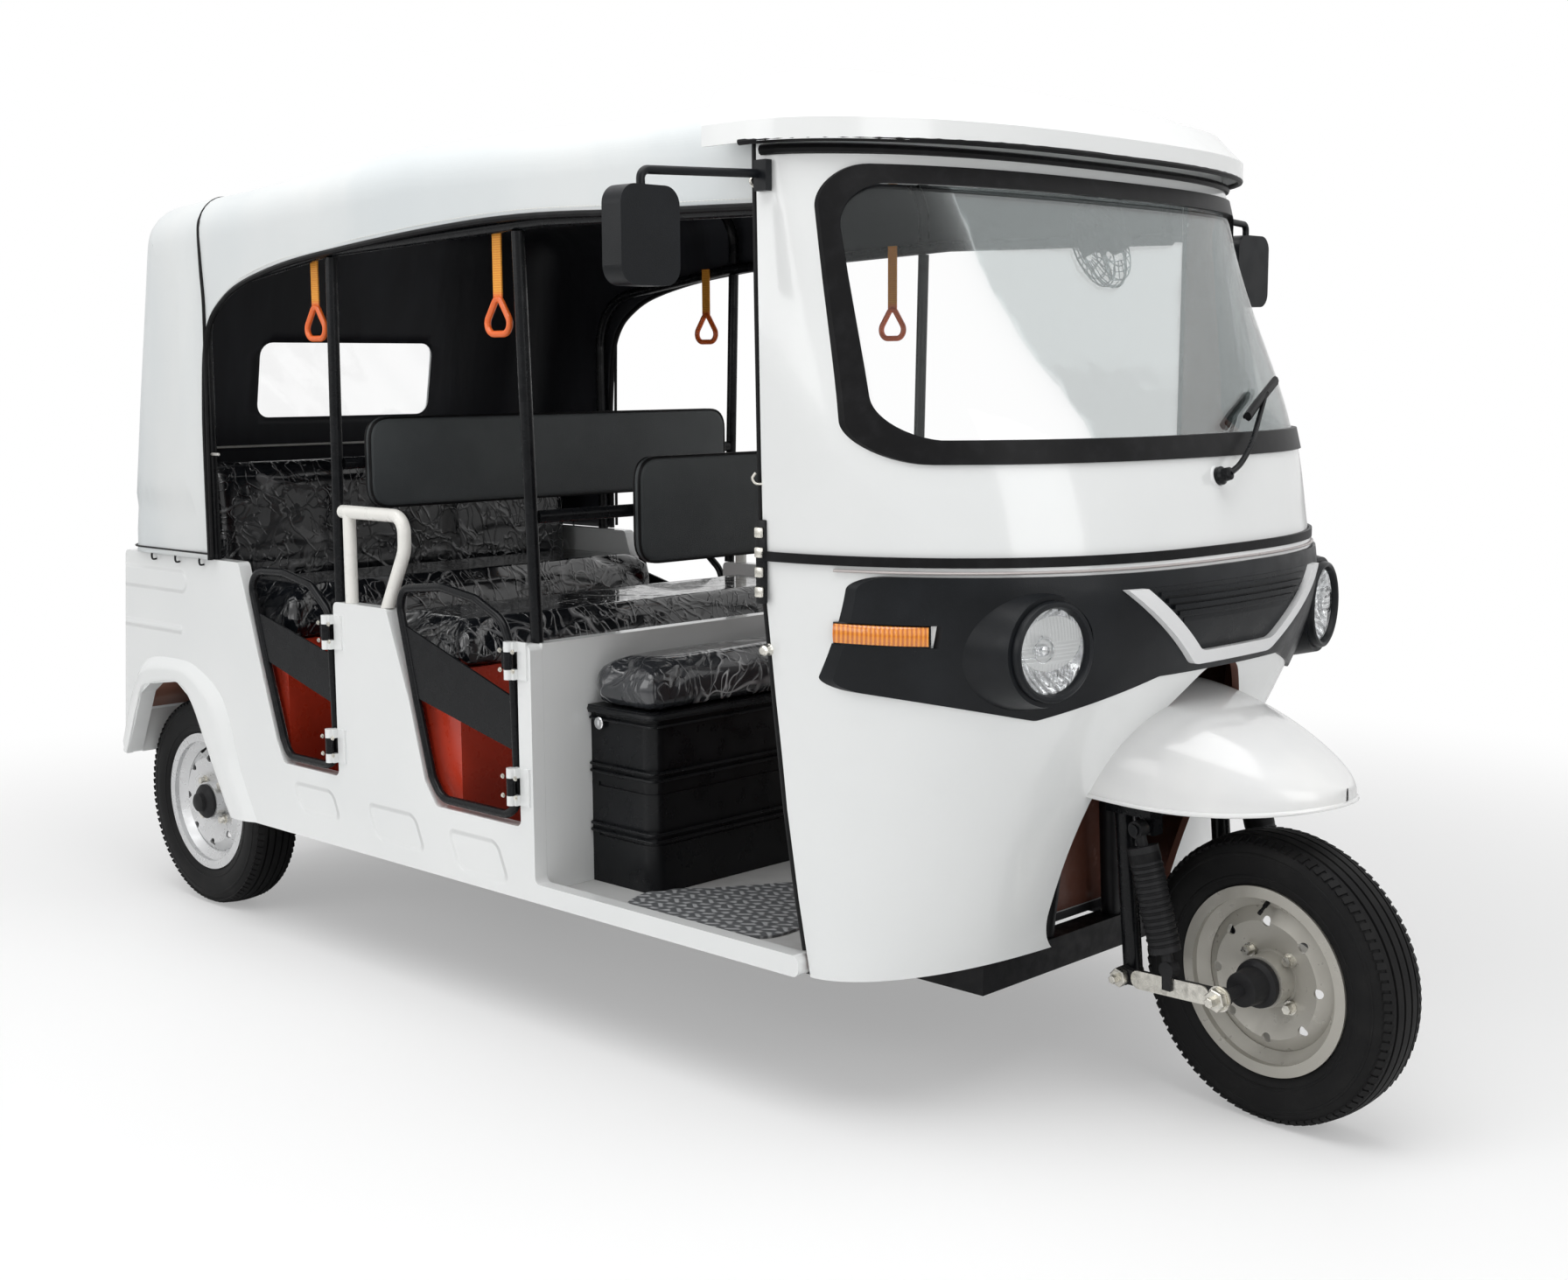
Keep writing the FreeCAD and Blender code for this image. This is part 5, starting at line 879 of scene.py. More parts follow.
def canopyRows(columns, eave):  # points across each column, each with the way out of the cloth
    plan = canopyPlan
    last = len(columns) - 1
    normals = []
    for i in range(len(columns)):
        t = (columns[min(i + 1, last)] - columns[max(i - 1, 0)]).normalized()
        normals.append(Vector((t.z, 0, -t.x)))
    half, r = plan["half"], plan["shoulder"]
    inner = [p - n * r for p, n in zip(columns, normals)]
    inner = [Vector((p.x, 0, max(p.z, plan["foot"]))) for p in inner]
    wideHalf, cut = plan["window"][0], plan["window"][-1]
    ys = [half - r, *plan["flats"], wideHalf, wideHalf - cut, *plan["middle"], 0.0]
    rows = []
    for p, n, e, s in zip(columns, normals, canopyFeet(inner, eave), inner):
        across = []
        for k in range(plan["down"]):
            q = e.lerp(s, k / plan["down"])
            across.append((Vector((q.x, half, q.z)), Vector((0, 1, 0))))
        for k in range(plan["round"]):
            a = turn / 4 * (1 - k / plan["round"])
            q = s + (p - s) * math.cos(a)
            across.append((Vector((q.x, half - r + r * math.sin(a), max(q.z, plan["foot"]))),
                           n * math.cos(a) + Vector((0, math.sin(a), 0))))
        across += [(Vector((p.x, y, p.z)), n) for y in ys]
        other = [(Vector((q.x, -q.y, q.z)), Vector((m.x, -m.y, m.z))) for q, m in across[:-1]]
        rows.append(across + other[::-1])
    return rows


def canopyPoint(q, m):  # a point of the cloth, sagging and a little uneven
    plan = canopyPlan
    free = 1.0 if q.z > plan["foot"] + 0.03 else 0.3
    wide, fine = plan["soft"]
    soft = noise.noise(Vector((q.x * 2.1, q.y * 2.6, q.z * 1.3))) * wide
    soft += noise.noise(Vector((q.x * 7.5, q.y * 7.5 + 3, q.z * 3.4))) * fine
    lift = canopySag(q.x, q.y) * max(m.z, 0) + soft * free
    if q.x < -1.13 and q.z > 1.0:  # the back panel stands a little fuller
        lift += plan["full"] * min(1, (-1.13 - q.x) / 0.05) * max(0.0, 1 - m.z)
    return q + m * lift


def windowCorner(quad, places, points, want):  # a cell at the window's corner keeps its outer part
    outer = min(quad, key=lambda m: abs(places[m].y - want[0]) + abs(places[m].z - want[1]))
    first = quad.index(outer)
    before, after, across = quad[first - 1], quad[(first + 1) % 4], quad[(first + 2) % 4]
    arc = []
    for k in range(1, 6):
        a = turn / 4 * k / 6
        centre = points[across]
        arc.append(centre + (points[after] - centre) * math.cos(a) + (points[before] - centre) * math.sin(a))
    start = len(points)
    points += arc
    return [outer, after] + [start + k for k in range(5)] + [before]


def canopyMesh(columns, rows):
    wideHalf, low, high = canopyPlan["window"][:3]
    wide = len(rows[0])
    places = [q for row in rows for q, m in row]
    points = [canopyPoint(q, m) for row in rows for q, m in row]
    faces = []
    for i in range(len(rows) - 1):
        z0, z1 = columns[i].z, columns[i + 1].z
        inside = columns[i].x < -1.36 and z1 > low - 1e-4 and z0 < high + 1e-4
        topCell, footCell = z0 > high - 1e-4, z1 < low + 1e-4
        for k in range(wide - 1):
            a, b = i * wide + k, (i + 1) * wide + k
            quad = [a, a + 1, b + 1, b]
            y0, y1 = rows[i][k][0].y, rows[i][k + 1][0].y
            if not (inside and max(abs(y0), abs(y1)) < wideHalf + 1e-4):
                faces.append(quad)
            elif max(abs(y0), abs(y1)) > wideHalf - 1e-4 and (topCell or footCell):
                want = (max(y0, y1) if y0 + y1 > 0 else min(y0, y1), high if topCell else low)
                faces.append(windowCorner(quad, places, points, want))
    mesh = bpy.data.meshes.new("canopy_cover")
    mesh.from_pydata([tuple(p) for p in points], [], faces)
    return mesh


def canopySheet(eave):
    columns = canopyColumns()
    mesh = canopyMesh(columns, canopyRows(columns, eave))
    made = bmesh.new()
    made.from_mesh(mesh)
    bmesh.ops.remove_doubles(made, verts=made.verts, dist=1e-5)
    top = max(made.faces, key=lambda f: f.calc_center_median().z)
    bmesh.ops.recalc_face_normals(made, faces=made.faces)
    if top.normal.z < 0:
        bmesh.ops.reverse_faces(made, faces=made.faces)
    area = sum(f.calc_area() for f in made.faces)
    made.to_mesh(mesh)
    made.free()
    for face in mesh.polygons:
        face.use_smooth = True
    for finish in (outerCloth, lining):
        mesh.materials.append(finish.material)
    cover = bpy.data.objects.new("canopy_cover", mesh)
    scene.collection.objects.link(cover)
    wall = cover.modifiers.new("cloth_thickness", "SOLIDIFY")
    wall.thickness, wall.offset, wall.material_offset = canopyPlan["cloth"], -1, 1
    wall.use_even_offset = True
    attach(cover, "body")
    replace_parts(cover, "canopy")
    return cover, area


trimPlan = {
    "piping": 0.0065, "hoopThick": 0.004, "hemThick": 0.0022, "hoopTop": 1.6835, "hemHeight": 0.876,
    "hoop": ((-1.089, 0.87), (-1.087, 1.10), (-1.082, 1.30), (-1.078, 1.44), (-1.084, 1.52)),
    "ridge": (0.44, 0.34, 0.17, 0.0),
    "welt": ((-0.004, -0.004), (-0.004, 0.003), (0.002, 0.0045), (0.014, 0.0045), (0.017, -0.004)),
    "film": (24, 8), "filmWave": 0.0015,
    "seam": ((-1.075, 0.596), (-1.30, 0.597), (-1.41, 0.585), (-1.449, 0.50), (-1.4555, 0.25), (-1.4555, 0)),
    "seamHeight": 1.105, "seamThick": 0.0032, "hookWire": 0.0024, "sideHooks": (-1.155, -1.265, -1.375),
    "backHooks": (-0.42, -0.14, 0.14, 0.42), "hookInset": 0.006,
    "sideHook": ((0, -0.006, 0.848), (0, 0.004, 0.848), (0, 0.006, 0.858), (0, 0.003, 0.867),
                 (0.004, 0.003, 0.873)),
    "backHook": ((-1.512, 0.848), (-1.524, 0.848), (-1.527, 0.858), (-1.522, 0.870)),
    "stitchProud": 0.0025, "stitchRise": 0.013,
}


def shoulderPoint(x, top, angle, proud):  # on the canopy's rounded shoulder
    r, half = canopyPlan["shoulder"], canopyPlan["half"]
    a = math.radians(angle)
    return Vector((x, half - r + (r + proud) * math.sin(a), top - r + (r + proud) * math.cos(a)))


def canopyPiping(eave):  # the eave's binding, the hoop over the quarter and the hem
    plan = trimPlan
    half = canopyPlan["half"]
    form = Form()
    line = [Vector((p.x, half + 0.0005, p.z)) for p in eave]
    form.tube(line, plan["piping"], 8)
    hoop = [Vector((x, half + 0.004, z)) for x, z in plan["hoop"]]
    top = plan["hoopTop"]
    hoop += [shoulderPoint(-1.092 - 0.03 * k / 4, top, 78 - 78 * k / 4, 0.003) for k in range(5)]
    ridge = [Vector((-1.122 - 0.02 * (1 - abs(y) / 0.5), y, top + 0.003)) for y in plan["ridge"]]
    form.tube(bothSides(smoothPath(hoop, 5) + ridge), plan["hoopThick"], 8)
    z = plan["hemHeight"]
    hem = [Vector((-1.106, half + 0.002, z)), Vector((-1.37, half + 0.002, z))]
    for k in range(7):
        a = turn / 4 * k / 6
        hem.append(Vector((-1.425 - 0.09 * math.sin(a), half - 0.092 + 0.094 * math.cos(a), z)))
    hem += [Vector((-1.5135, y, z)) for y in (0.4, 0.2, 0.0)]
    form.tube(bothSides(hem), plan["hemThick"], 6)
    left = Form().tube(line, plan["piping"], 8)
    form.add([Vector((p.x, -p.y, p.z)) for p in left.points], left.faces)
    return form.make("canopy_piping", "body", trimRubber)


def onBack(y, z, proud):  # a place on the canopy's back panel
    (topX, topZ), (footX, footZ) = canopyPlan["profile"][-2:]
    share = (topZ - z) / (topZ - footZ)
    return Vector((topX + (footX - topX) * share - canopyPlan["full"] - proud, y, z))


def rearWindow():
    wideHalf, low, high, cut = canopyPlan["window"]
    corners = [(0, -wideHalf, low), (0, wideHalf, low), (0, wideHalf, high), (0, -wideHalf, high)]
    ring = roundPath(corners, cut, 6, True)
    middle = (low + high) / 2
    bands = []
    for wider, proud in trimPlan["welt"]:
        bands.append([onBack(p.y + math.copysign(wider, p.y), p.z + math.copysign(wider, p.z - middle), proud)
                      for p in ring])
    welt = Form().rings(bands, caps=False).make("rear_window_welt", "body", outerCloth)
    film = Form()
    wide, tall = trimPlan["film"]
    grid = [[onBack(wideHalf * (2 * i / wide - 1) * 0.995, low + (high - low) * k / tall,
                    -0.001 + trimPlan["filmWave"] * math.sin(i * 0.8 + k)) for k in range(tall + 1)]
            for i in range(wide + 1)]
    for i in range(wide):
        for k in range(tall):
            film.add([grid[i][k], grid[i + 1][k], grid[i + 1][k + 1], grid[i][k + 1]], [[0, 1, 2, 3]])
    return [welt, film.make("rear_window_film", "body", windowFilm)]


def canopySeam():
    path = bothSides([Vector((x, y, trimPlan["seamHeight"])) for x, y in trimPlan["seam"]])
    strip = Form().tube(smoothPath(path, 4), trimPlan["seamThick"], 6)
    return strip.make("lining_seam", "body", tubeWhite)


def lashingHooks():
    form = Form()
    plan = trimPlan
    y = canopyPlan["half"] - plan["hookInset"]
    for x in plan["sideHooks"]:
        for s in (-1, 1):
            path = [(x + ahead, s * (y + out), z) for ahead, out, z in plan["sideHook"]]
            form.tube(smoothPath(path, 4), plan["hookWire"], 6, up=(1, 0, 0))
    for y in plan["backHooks"]:
        path = [(x, y, z) for x, z in plan["backHook"]]
        form.tube(smoothPath(path, 4), plan["hookWire"], 6, up=(0, 1, 0))
    return form.make("lashing_hooks", "body", frameBlack)


def eaveStitches():
    y, rise = canopyPlan["half"] + trimPlan["stitchProud"], trimPlan["stitchRise"]
    line = [Vector((x, y, z)) for x, z in canopyPlan["eave"][:9]]
    sewn = [Vector((p.x, p.y, p.z + rise)) for p in smoothPath(line, 5)]
    edges = [(i, i + 1) for i in range(len(sewn) - 1)]
    threads = []
    for s, name in ((1, "left"), (-1, "right")):
        here = [Vector((p.x, s * p.y, p.z)) for p in sewn]
        threads.append(grow(paleStitches, "eave_stitches_" + name, here, "body", edges=edges))
    return threads


eaveLine = smoothPath(flat(canopyPlan["eave"]), 6)
cover, coverArea = canopySheet(eaveLine)
canopyPieces = [canopyPiping(eaveLine), *rearWindow(), canopySeam(), lashingHooks(), *eaveStitches()]
print("canopy sewn, cloth area", round(coverArea, 3))


# Cushions and backrests

padPlan = {
    "voxel": 0.0115, "pressure": 4.0, "frames": 20, "most": 0.022, "shrink": 0.006,
    "wide": 0.0032, "fine": 0.0014,  # how deep the wrinkles are
}
pads = (  # name, low and high corner, finish, room for swelling, edge, node it stands for
    ("rear_cushion_pad", (-1.1972, -0.56, 0.6904), (-0.8575, 0.56, 0.8103), seatFilm, 0.016, 0.026,
     "bench_cushions"),
    ("middle_cushion_pad", (-0.5575, -0.56, 0.6904), (-0.2175, 0.56, 0.7843), seatFilm, 0.016, 0.026, None),
    ("driver_cushion_pad", (0.0418, -0.466, 0.6384), (0.2385, 0.466, 0.7363), boxFilm, 0.014, 0.03,
     "driver_cushion"),
    ("rear_backrest_pad", (-1.2675, -0.56, 0.6904), (-1.1975, 0.56, 1.105), seatFilm, 0.004, 0.024, None),
)
boards = (  # name, rear and front face, half width, foot and head, node it stands for
    ("middle_backrest_pad", -0.5974, -0.5674, 0.53, 1.0, 1.195, "bench_backrests"),
    ("driver_backrest_pad", 0.0353, 0.0653, 0.330, 0.905, 1.12, "driver_backrest"),
)
boardPlan = {"corner": 0.05, "edge": 0.012, "crown": 0.004, "step": 0.03, "piping": 0.0032}


def within(p, low, high):
    return Vector(min(max(p[i], low[i]), high[i]) for i in range(3))


def swell(piece, low, high):  # a pad is blown up by cloth, its foot held flat
    source = piece.data
    groupHere = piece.vertex_groups.new(name="held")
    groupHere.add([v.index for v in source.vertices if v.co.z < low.z + 0.012], 1.0, "REPLACE")
    cloth = piece.modifiers.new("swell", "CLOTH")
    wear = cloth.settings
    wear.use_pressure, wear.uniform_pressure_force = True, padPlan["pressure"]
    wear.effector_weights.gravity = 0
    wear.vertex_group_mass = "held"
    wear.tension_stiffness, wear.compression_stiffness, wear.bending_stiffness = 12, 12, 0.4
    for frameNumber in range(1, padPlan["frames"] + 1):
        scene.frame_set(frameNumber)
    shape = bpy.data.meshes.new_from_object(piece.evaluated_get(bpy.context.evaluated_depsgraph_get()))
    for v, w in zip(source.vertices, shape.vertices):
        push = w.co - v.co
        if push.length > padPlan["most"]:
            push *= padPlan["most"] / push.length
        v.co = within(v.co + push, low, high)
    piece.modifiers.remove(cloth)
    piece.vertex_groups.clear()
    bpy.data.meshes.remove(shape)
    scene.frame_set(1)


def wrinkle(mesh, low, high):  # pulled in between the corners, creased where the film gathers
    centre = (low + high) / 2
    for v in mesh.vertices:
        if v.co.z > low.z + 0.004:
            q = v.co
            wave = noise.noise(Vector((q.x * 9, q.y * 9, q.z * 5))) * padPlan["wide"]
            wave += noise.noise(Vector((q.x * 24, q.y * 24, q.z * 20 + 5))) * padPlan["fine"]
            rise = min(1, (q.z - low.z) / 0.03)
            v.co = within(q + (q - centre).normalized() * wave * rise, low, high)


def seatPad(name, low, high, finish, tuck, edge, node):
    low, high = Vector(low), Vector(high)
    shrink = padPlan["shrink"]
    form = Form().block(low + Vector((shrink, shrink, 0)), high - Vector((shrink, shrink, tuck)), edge, 3)
    rough = form.make(name + "_start", "body", finish)
    remesh = rough.modifiers.new("voxels", "REMESH")
    remesh.mode, remesh.voxel_size = "VOXEL", padPlan["voxel"]
    mesh = bpy.data.meshes.new_from_object(rough.evaluated_get(bpy.context.evaluated_depsgraph_get()))
    bpy.data.objects.remove(rough)
    mesh.name = name
    piece = bpy.data.objects.new(name, mesh)
    scene.collection.objects.link(piece)
    swell(piece, low, high)
    wrinkle(mesh, low, high)
    mesh.materials.clear()
    mesh.materials.append(finish.material)
    for face in mesh.polygons:
        face.use_smooth = True
    smoother = piece.modifiers.new("smoother", "SUBSURF")
    smoother.levels = smoother.render_levels = 1
    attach(piece, "body")
    if node:
        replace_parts(piece, node)


def boardPad(name, x0, x1, half, z0, z1, node):  # an upholstered board with piped edges
    plan = boardPlan
    edge, crown = plan["edge"], plan["crown"]
    thick, reach = (x1 - x0) / 2, (z1 - z0) / 2
    corners = [(0, -half, z0), (0, half, z0), (0, half, z1), (0, -half, z1)]
    base = roundPath(corners, plan["corner"], 8, True)
    outline = []
    for a, b in zip(base, base[1:] + base[:1]):
        steps = max(1, round((b - a).length / plan["step"]))
        outline += [a.lerp(b, k / steps) for k in range(steps)]

    def ring(inset, x):
        middle, shareY, shareZ = (z0 + z1) / 2, max(0.0, 1 - inset / half), max(0.0, 1 - inset / reach)
        return [Vector(((x0 + x1) / 2 + x, p.y * shareY, middle + (p.z - middle) * shareZ)) for p in outline]
    halfLine = []
    for k in range(5, -1, -1):
        a = turn / 4 * k / 5
        halfLine.append((edge * (1 - math.sin(a)), thick - crown - edge + edge * math.cos(a)))
    for share in (0.12, 0.3, 0.55, 0.8, 1.0):
        rise = thick - crown + crown * math.sin(turn / 4 * share)
        halfLine.append((edge + (reach * 0.97 - edge) * share, rise))
    rings = [ring(i, -x) for i, x in reversed(halfLine)] + [ring(i, x) for i, x in halfLine]
    piece = Form().rings(rings).make(name, "body", padGrey, 60)
    piping = Form()
    edgeX = thick - crown - edge * 0.35
    for x in (-edgeX, edgeX):
        piping.tube(ring(0.0025, x), plan["piping"], 6, closed=True, up=(1, 0, 0))
    piping.make(name + "_piping", "body", trimRubber)
    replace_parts(piece, node)


for row in pads:
    seatPad(*row)
for row in boards:
    boardPad(*row)
print("cushions filled")


# Tyres and wheel fittings

rake = math.radians(25)
steerAxis = Vector((-math.sin(rake), 0, math.cos(rake)))
steerFoot = Vector((1.3875, 0, 0))
steerTurn = Matrix.Translation(steerFoot) @ Matrix.Rotation(math.radians(-7), 4, steerAxis) \
    @ Matrix.Translation(-steerFoot)
wheels = {  # place, the side that faces out, body
    "front": (steerTurn @ Matrix.Translation((1.3225, 0, 0.255)), -1, "front_wheel"),
    "right": (Matrix.Translation((-1.2975, -0.495, 0.255)), -1, "right_wheel"),
    "left": (Matrix.Translation((-1.2975, 0.495, 0.255)), 1, "left_wheel"),
}
tyrePlan = {
    "crown": 0.2549, "fall": 0.0058, "shoulder": 0.046, "shoulderFall": 2.2, "edge": 0.0398,
    "wall": ((0.0425, 0.1528), (0.0425, 0.1672), (0.0470, 0.1705), (0.0515, 0.1780), (0.0528, 0.1830),
             (0.0541, 0.1838), (0.0547, 0.1868), (0.0540, 0.1880), (0.0560, 0.1960), (0.0570, 0.2060),
             (0.0571, 0.2140), (0.0562, 0.2215), (0.0569, 0.2225), (0.0564, 0.2262), (0.0552, 0.2268),
             (0.0535, 0.2330), (0.0512, 0.2385), (0.0480, 0.2436), (0.0445, 0.2462), (0.0400, 0.2478)),
    "grooves": (0.0285, 0.0098), "rib": 0.009,
    "groove": ((0.0024, 0), (0.0015, 0.0056), (-0.0015, 0.0056), (-0.0024, 0)),
    "lugs": 92, "lugRadius": 0.2458, "lugSide": 0.0442, "tip": 0.47, "lean": 0.22, "steps": 120,
    "lug": {"Wide": 0.0170, "Long": 0.0116, "High": 0.0050},
}
hubPlan = {
    "nuts": 4, "nutCircle": 0.060, "nutFace": 0.0222, "nut": {"Size": 0.0088, "High": 0.011},
    "beadRadius": 0.1255, "bead": (0.0015, 0.0022),
    "beadFace": 0.0185, "frontFace": 0.0522, "rearFace": 0.0442,
    "frontCap": ((0, 0.0), (0, 0.040), (0.004, 0.043), (0.012, 0.042), (0.016, 0.033), (0.052, 0.030),
                 (0.054, 0.024), (0.0545, 0.0)),
    "rearCap": ((0, 0.0), (0, 0.041), (0.006, 0.042), (0.012, 0.036), (0.016, 0.024), (0.026, 0.022),
                (0.030, 0.016), (0.031, 0.0)),
    "valve": ((0, 0), (0.0, 0.0045), (0.012, 0.0042), (0.013, 0.003), (0.022, 0.0028), (0.023, 0.0038),
              (0.030, 0.0036), (0.031, 0)), "valveAt": (0.028, 0.1375), "valveLean": (0.85, -0.5),
}


def treadRadius(w):
    plan = tyrePlan
    return plan["crown"] - plan["fall"] * (abs(w) / plan["shoulder"]) ** plan["shoulderFall"]


def tyreProfile():  # one closed line round the rubber, as (across, radius)
    plan = tyrePlan
    half = list(plan["wall"]) + [(plan["edge"], treadRadius(plan["edge"]) - 0.0004)]
    for groove in plan["grooves"]:
        for shift, deep in plan["groove"]:
            half.append((groove + shift, treadRadius(groove + shift) - deep))
        half.append((groove - plan["rib"], treadRadius(groove - plan["rib"])))
    return half + [(-w, r) for w, r in reversed(half)]


def makeTyre(name):
    plan = tyrePlan
    matrix, body = wheels[name][0], wheels[name][2]
    form = Form().lathe(tyreProfile(), (0, 0, 0), (0, 1, 0), plan["steps"], closed=True)
    rubberPiece = form.moved(matrix).make(name + "_tyre_rubber", body, tyreBlack, 40)
    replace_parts(rubberPiece, name + "_tyre")
    for s, word in ((1, "left"), (-1, "right")):
        circle, facing = [], []
        for i in range(plan["lugs"]):
            a = turn * (i + (0.5 if s > 0 else 0)) / plan["lugs"]
            out = Vector((math.cos(a), 0, math.sin(a)))
            circle.append(out * plan["lugRadius"] + Vector((0, s * plan["lugSide"], 0)))
            facing.append(out)
        lugs = grow(tyreLugs, name + "_tyre_lugs_" + word, circle, body, normals=facing,
                    Tip=-s * plan["tip"], Lean=s * plan["lean"], **plan["lug"])
        lugs.data.transform(matrix)


def wheelFittings(name):
    plan = hubPlan
    matrix, outward, body = wheels[name]
    places, facing = [], []
    for i in range(plan["nuts"]):
        a = turn / 2 * (2 * i + 1) / plan["nuts"]
        r = plan["nutCircle"]
        places.append(matrix @ Vector((r * math.cos(a), outward * plan["nutFace"], r * math.sin(a))))
        facing.append(matrix.to_3x3() @ Vector((0, outward, 0)))
    grow(zincBolts, name + "_wheel_nuts", places, body, normals=facing, **plan["nut"])
    form = Form()
    if name == "front":
        for s in (-1, 1):  # seals over the hub's bearings
            form.lathe(plan["frontCap"], (0, s * plan["frontFace"], 0), (0, s, 0), 32)
    else:
        form.lathe(plan["rearCap"], (0, outward * plan["rearFace"], 0), (0, outward, 0), 36)
    form.moved(matrix).make(name + "_hub_cap", body, axleGrey, 40)
    (y, z), (leanY, leanZ) = plan["valveAt"], plan["valveLean"]
    valve = Form().lathe(plan["valve"], (0, outward * y, z), (0, outward * leanY, leanZ), 14)
    valve.moved(matrix).make(name + "_valve", body, trimRubber, 40)
    across, deep = plan["bead"]
    ring = [(across * math.cos(turn * k / 6), plan["beadRadius"] + deep * math.sin(turn * k / 6))
            for k in range(6)]
    bead = Form().lathe(ring, (0, outward * plan["beadFace"], 0), (0, 1, 0), 72, closed=True)
    bead.moved(matrix).make(name + "_rim_bead", body, frontSteel if name == "front" else rearSteel, 60)


for name in wheels:
    makeTyre(name)
    wheelFittings(name)
print("wheels dressed")


# Front suspension: bellows over the spring units, axle nuts, link plates

suspensionPlan = {
    "side": 0.158, "top": (1.1505, 0.516), "foot": (1.2145, 0.280),
    "ridges": 13, "start": 0.16, "share": 0.60, "waist": 0.0245, "crest": 0.0285,
    "collar": ((0.765, 0.0275), (0.83, 0.0275), (0.84, 0.022), (0.84, 0.0)),
    "nutFace": 0.1600, "plateFace": 0.1602, "axle": (1.3225, 0.255), "pivot": (1.1105, 0.243),
    "washer": ((0, 0.0), (0, 0.0225), (0.0028, 0.0225), (0.0029, 0.0)), "smallNut": 0.86,
    "nut": ((0.0, 0.0), (0.0, 0.0185), (0.0015, 0.0200), (0.013, 0.0200), (0.0145, 0.0180),
            (0.0145, 0.009), (0.028, 0.009), (0.029, 0.0078), (0.029, 0.0)),
    "plate": ((1.1480, 0.2451), (1.2860, 0.2529)), "plateHalf": 0.0165, "plateThick": 0.0022,
}


def springBellows():
    plan = suspensionPlan
    form = Form()
    for s in (-1, 1):
        top, foot = [Vector((x, s * plan["side"], z)) for x, z in (plan["top"], plan["foot"])]
        long = (top - foot).length
        pitch = long * plan["share"] / plan["ridges"]
        profile = [(long * plan["start"], 0.0)]
        for k in range(plan["ridges"]):
            x = long * plan["start"] + pitch * k
            for share, r in ((0, "waist"), (0.25, "crest"), (0.55, "crest"), (0.8, "waist")):
                profile.append((x + pitch * share, plan[r]))
        profile += [(long * share, r) for share, r in plan["collar"]]
        form.lathe(profile, foot, top - foot, 28)
    form.moved(steerTurn).make("spring_bellows", "steering", bellowsRubber, 50)


def axleNuts():
    plan = suspensionPlan
    form = Form()
    (x, z), (pivotX, pivotZ) = plan["axle"], plan["pivot"]
    thick = plan["washer"][2][0]
    for s in (-1, 1):
        out = (0, s, 0)
        form.lathe(plan["washer"], (x, s * plan["nutFace"], z), out, 28)
        form.lathe(plan["nut"], (x, s * (plan["nutFace"] + thick), z), out, 6)
        small = [(long, r * plan["smallNut"]) for long, r in plan["nut"]]
        form.lathe(small, (pivotX, s * plan["plateFace"], pivotZ), out, 6)
    form.moved(steerTurn).make("axle_nuts", "steering", zinc, 30)


def linkPlates():
    plan = suspensionPlan
    form = Form()
    r = plan["plateHalf"]
    for s in (-1, 1):
        path = []
        for (x, z), start in zip(plan["plate"], (turn / 4, -turn / 4)):
            for k in range(9):
                a = start + turn / 2 * k / 8
                path.append(Vector((x + r * math.cos(a), s * plan["plateFace"], z + r * math.sin(a))))
        form.plate(path, (0, s * plan["plateThick"], 0))
    form.moved(steerTurn).make("link_plates", "steering", zinc, 30)


springBellows()
axleNuts()
linkPlates()


# Headlights, turned out a little, and the line of the cowl that the lamps follow

lampPlan = {
    "nose": (1.1545, 0.430, 0.844), "toe": 12,
    "bezel": ((-0.120, 0.0790), (-0.120, 0.0818), (-0.006, 0.0818), (-0.002, 0.0802), (0.0, 0.0765),
              (-0.0015, 0.0725), (-0.006, 0.0700), (-0.013, 0.0690), (-0.020, 0.0690), (-0.020, 0.0735)),
    "backPlate": ((-0.121, 0.0), (-0.121, 0.0805), (-0.119, 0.0805), (-0.119, 0.0)),
    "bowlRim": ((-0.0145, 0.0688), (-0.0150, 0.0660)), "bowlFloor": (-0.064, 0.0),
    "bowl": 0.0645, "bowlReach": 0.0515, "bowlBack": -0.062, "bowlDeep": 0.045,
    "lensRim": ((-0.0135, 0.0686), (-0.0125, 0.0684)), "lens": 0.0675, "lensBack": -0.0115,
    "lensDome": 0.0085,
    "bulb": ((-0.062, 0.0), (-0.062, 0.016), (-0.052, 0.016), (-0.050, 0.011), (-0.032, 0.011),
             (-0.026, 0.008), (-0.023, 0.0)),
    "shade": 0.020, "shadeBack": -0.030, "shadeWire": 0.0016, "arm": (-0.056, 0.030), "armWire": 0.0013,
}
cowlRows = (  # height, half width, doorway edge and nose
    (0.262, 0.5802, 0.7575, 0.9545), (0.3994, 0.5878, 0.7373, 1.0005), (0.5512, 0.596, 0.7197, 1.0676),
    (0.7392, 0.6099, 0.7086, 1.1722), (0.9055, 0.6257, 0.7035, 1.2227), (0.985, 0.632, 0.7025, 1.2075),
    (1.0649, 0.6339, 0.7025, 1.1913), (1.1448, 0.6358, 0.7025, 1.1727), (1.3749, 0.6396, 0.7025, 1.060),
    (1.6049, 0.6427, 0.7025, 0.9474), (1.68, 0.6427, 0.7025, 0.9106))
cowlPower = 2.7  # how square the cowl's plan is


def cowlRow(z):
    for a, b in zip(cowlRows, cowlRows[1:]):
        if a[0] <= z <= b[0]:
            t = (z - a[0]) / (b[0] - a[0])
            return [p + (q - p) * t for p, q in zip(a[1:], b[1:])]
    return list(cowlRows[-1][1:])


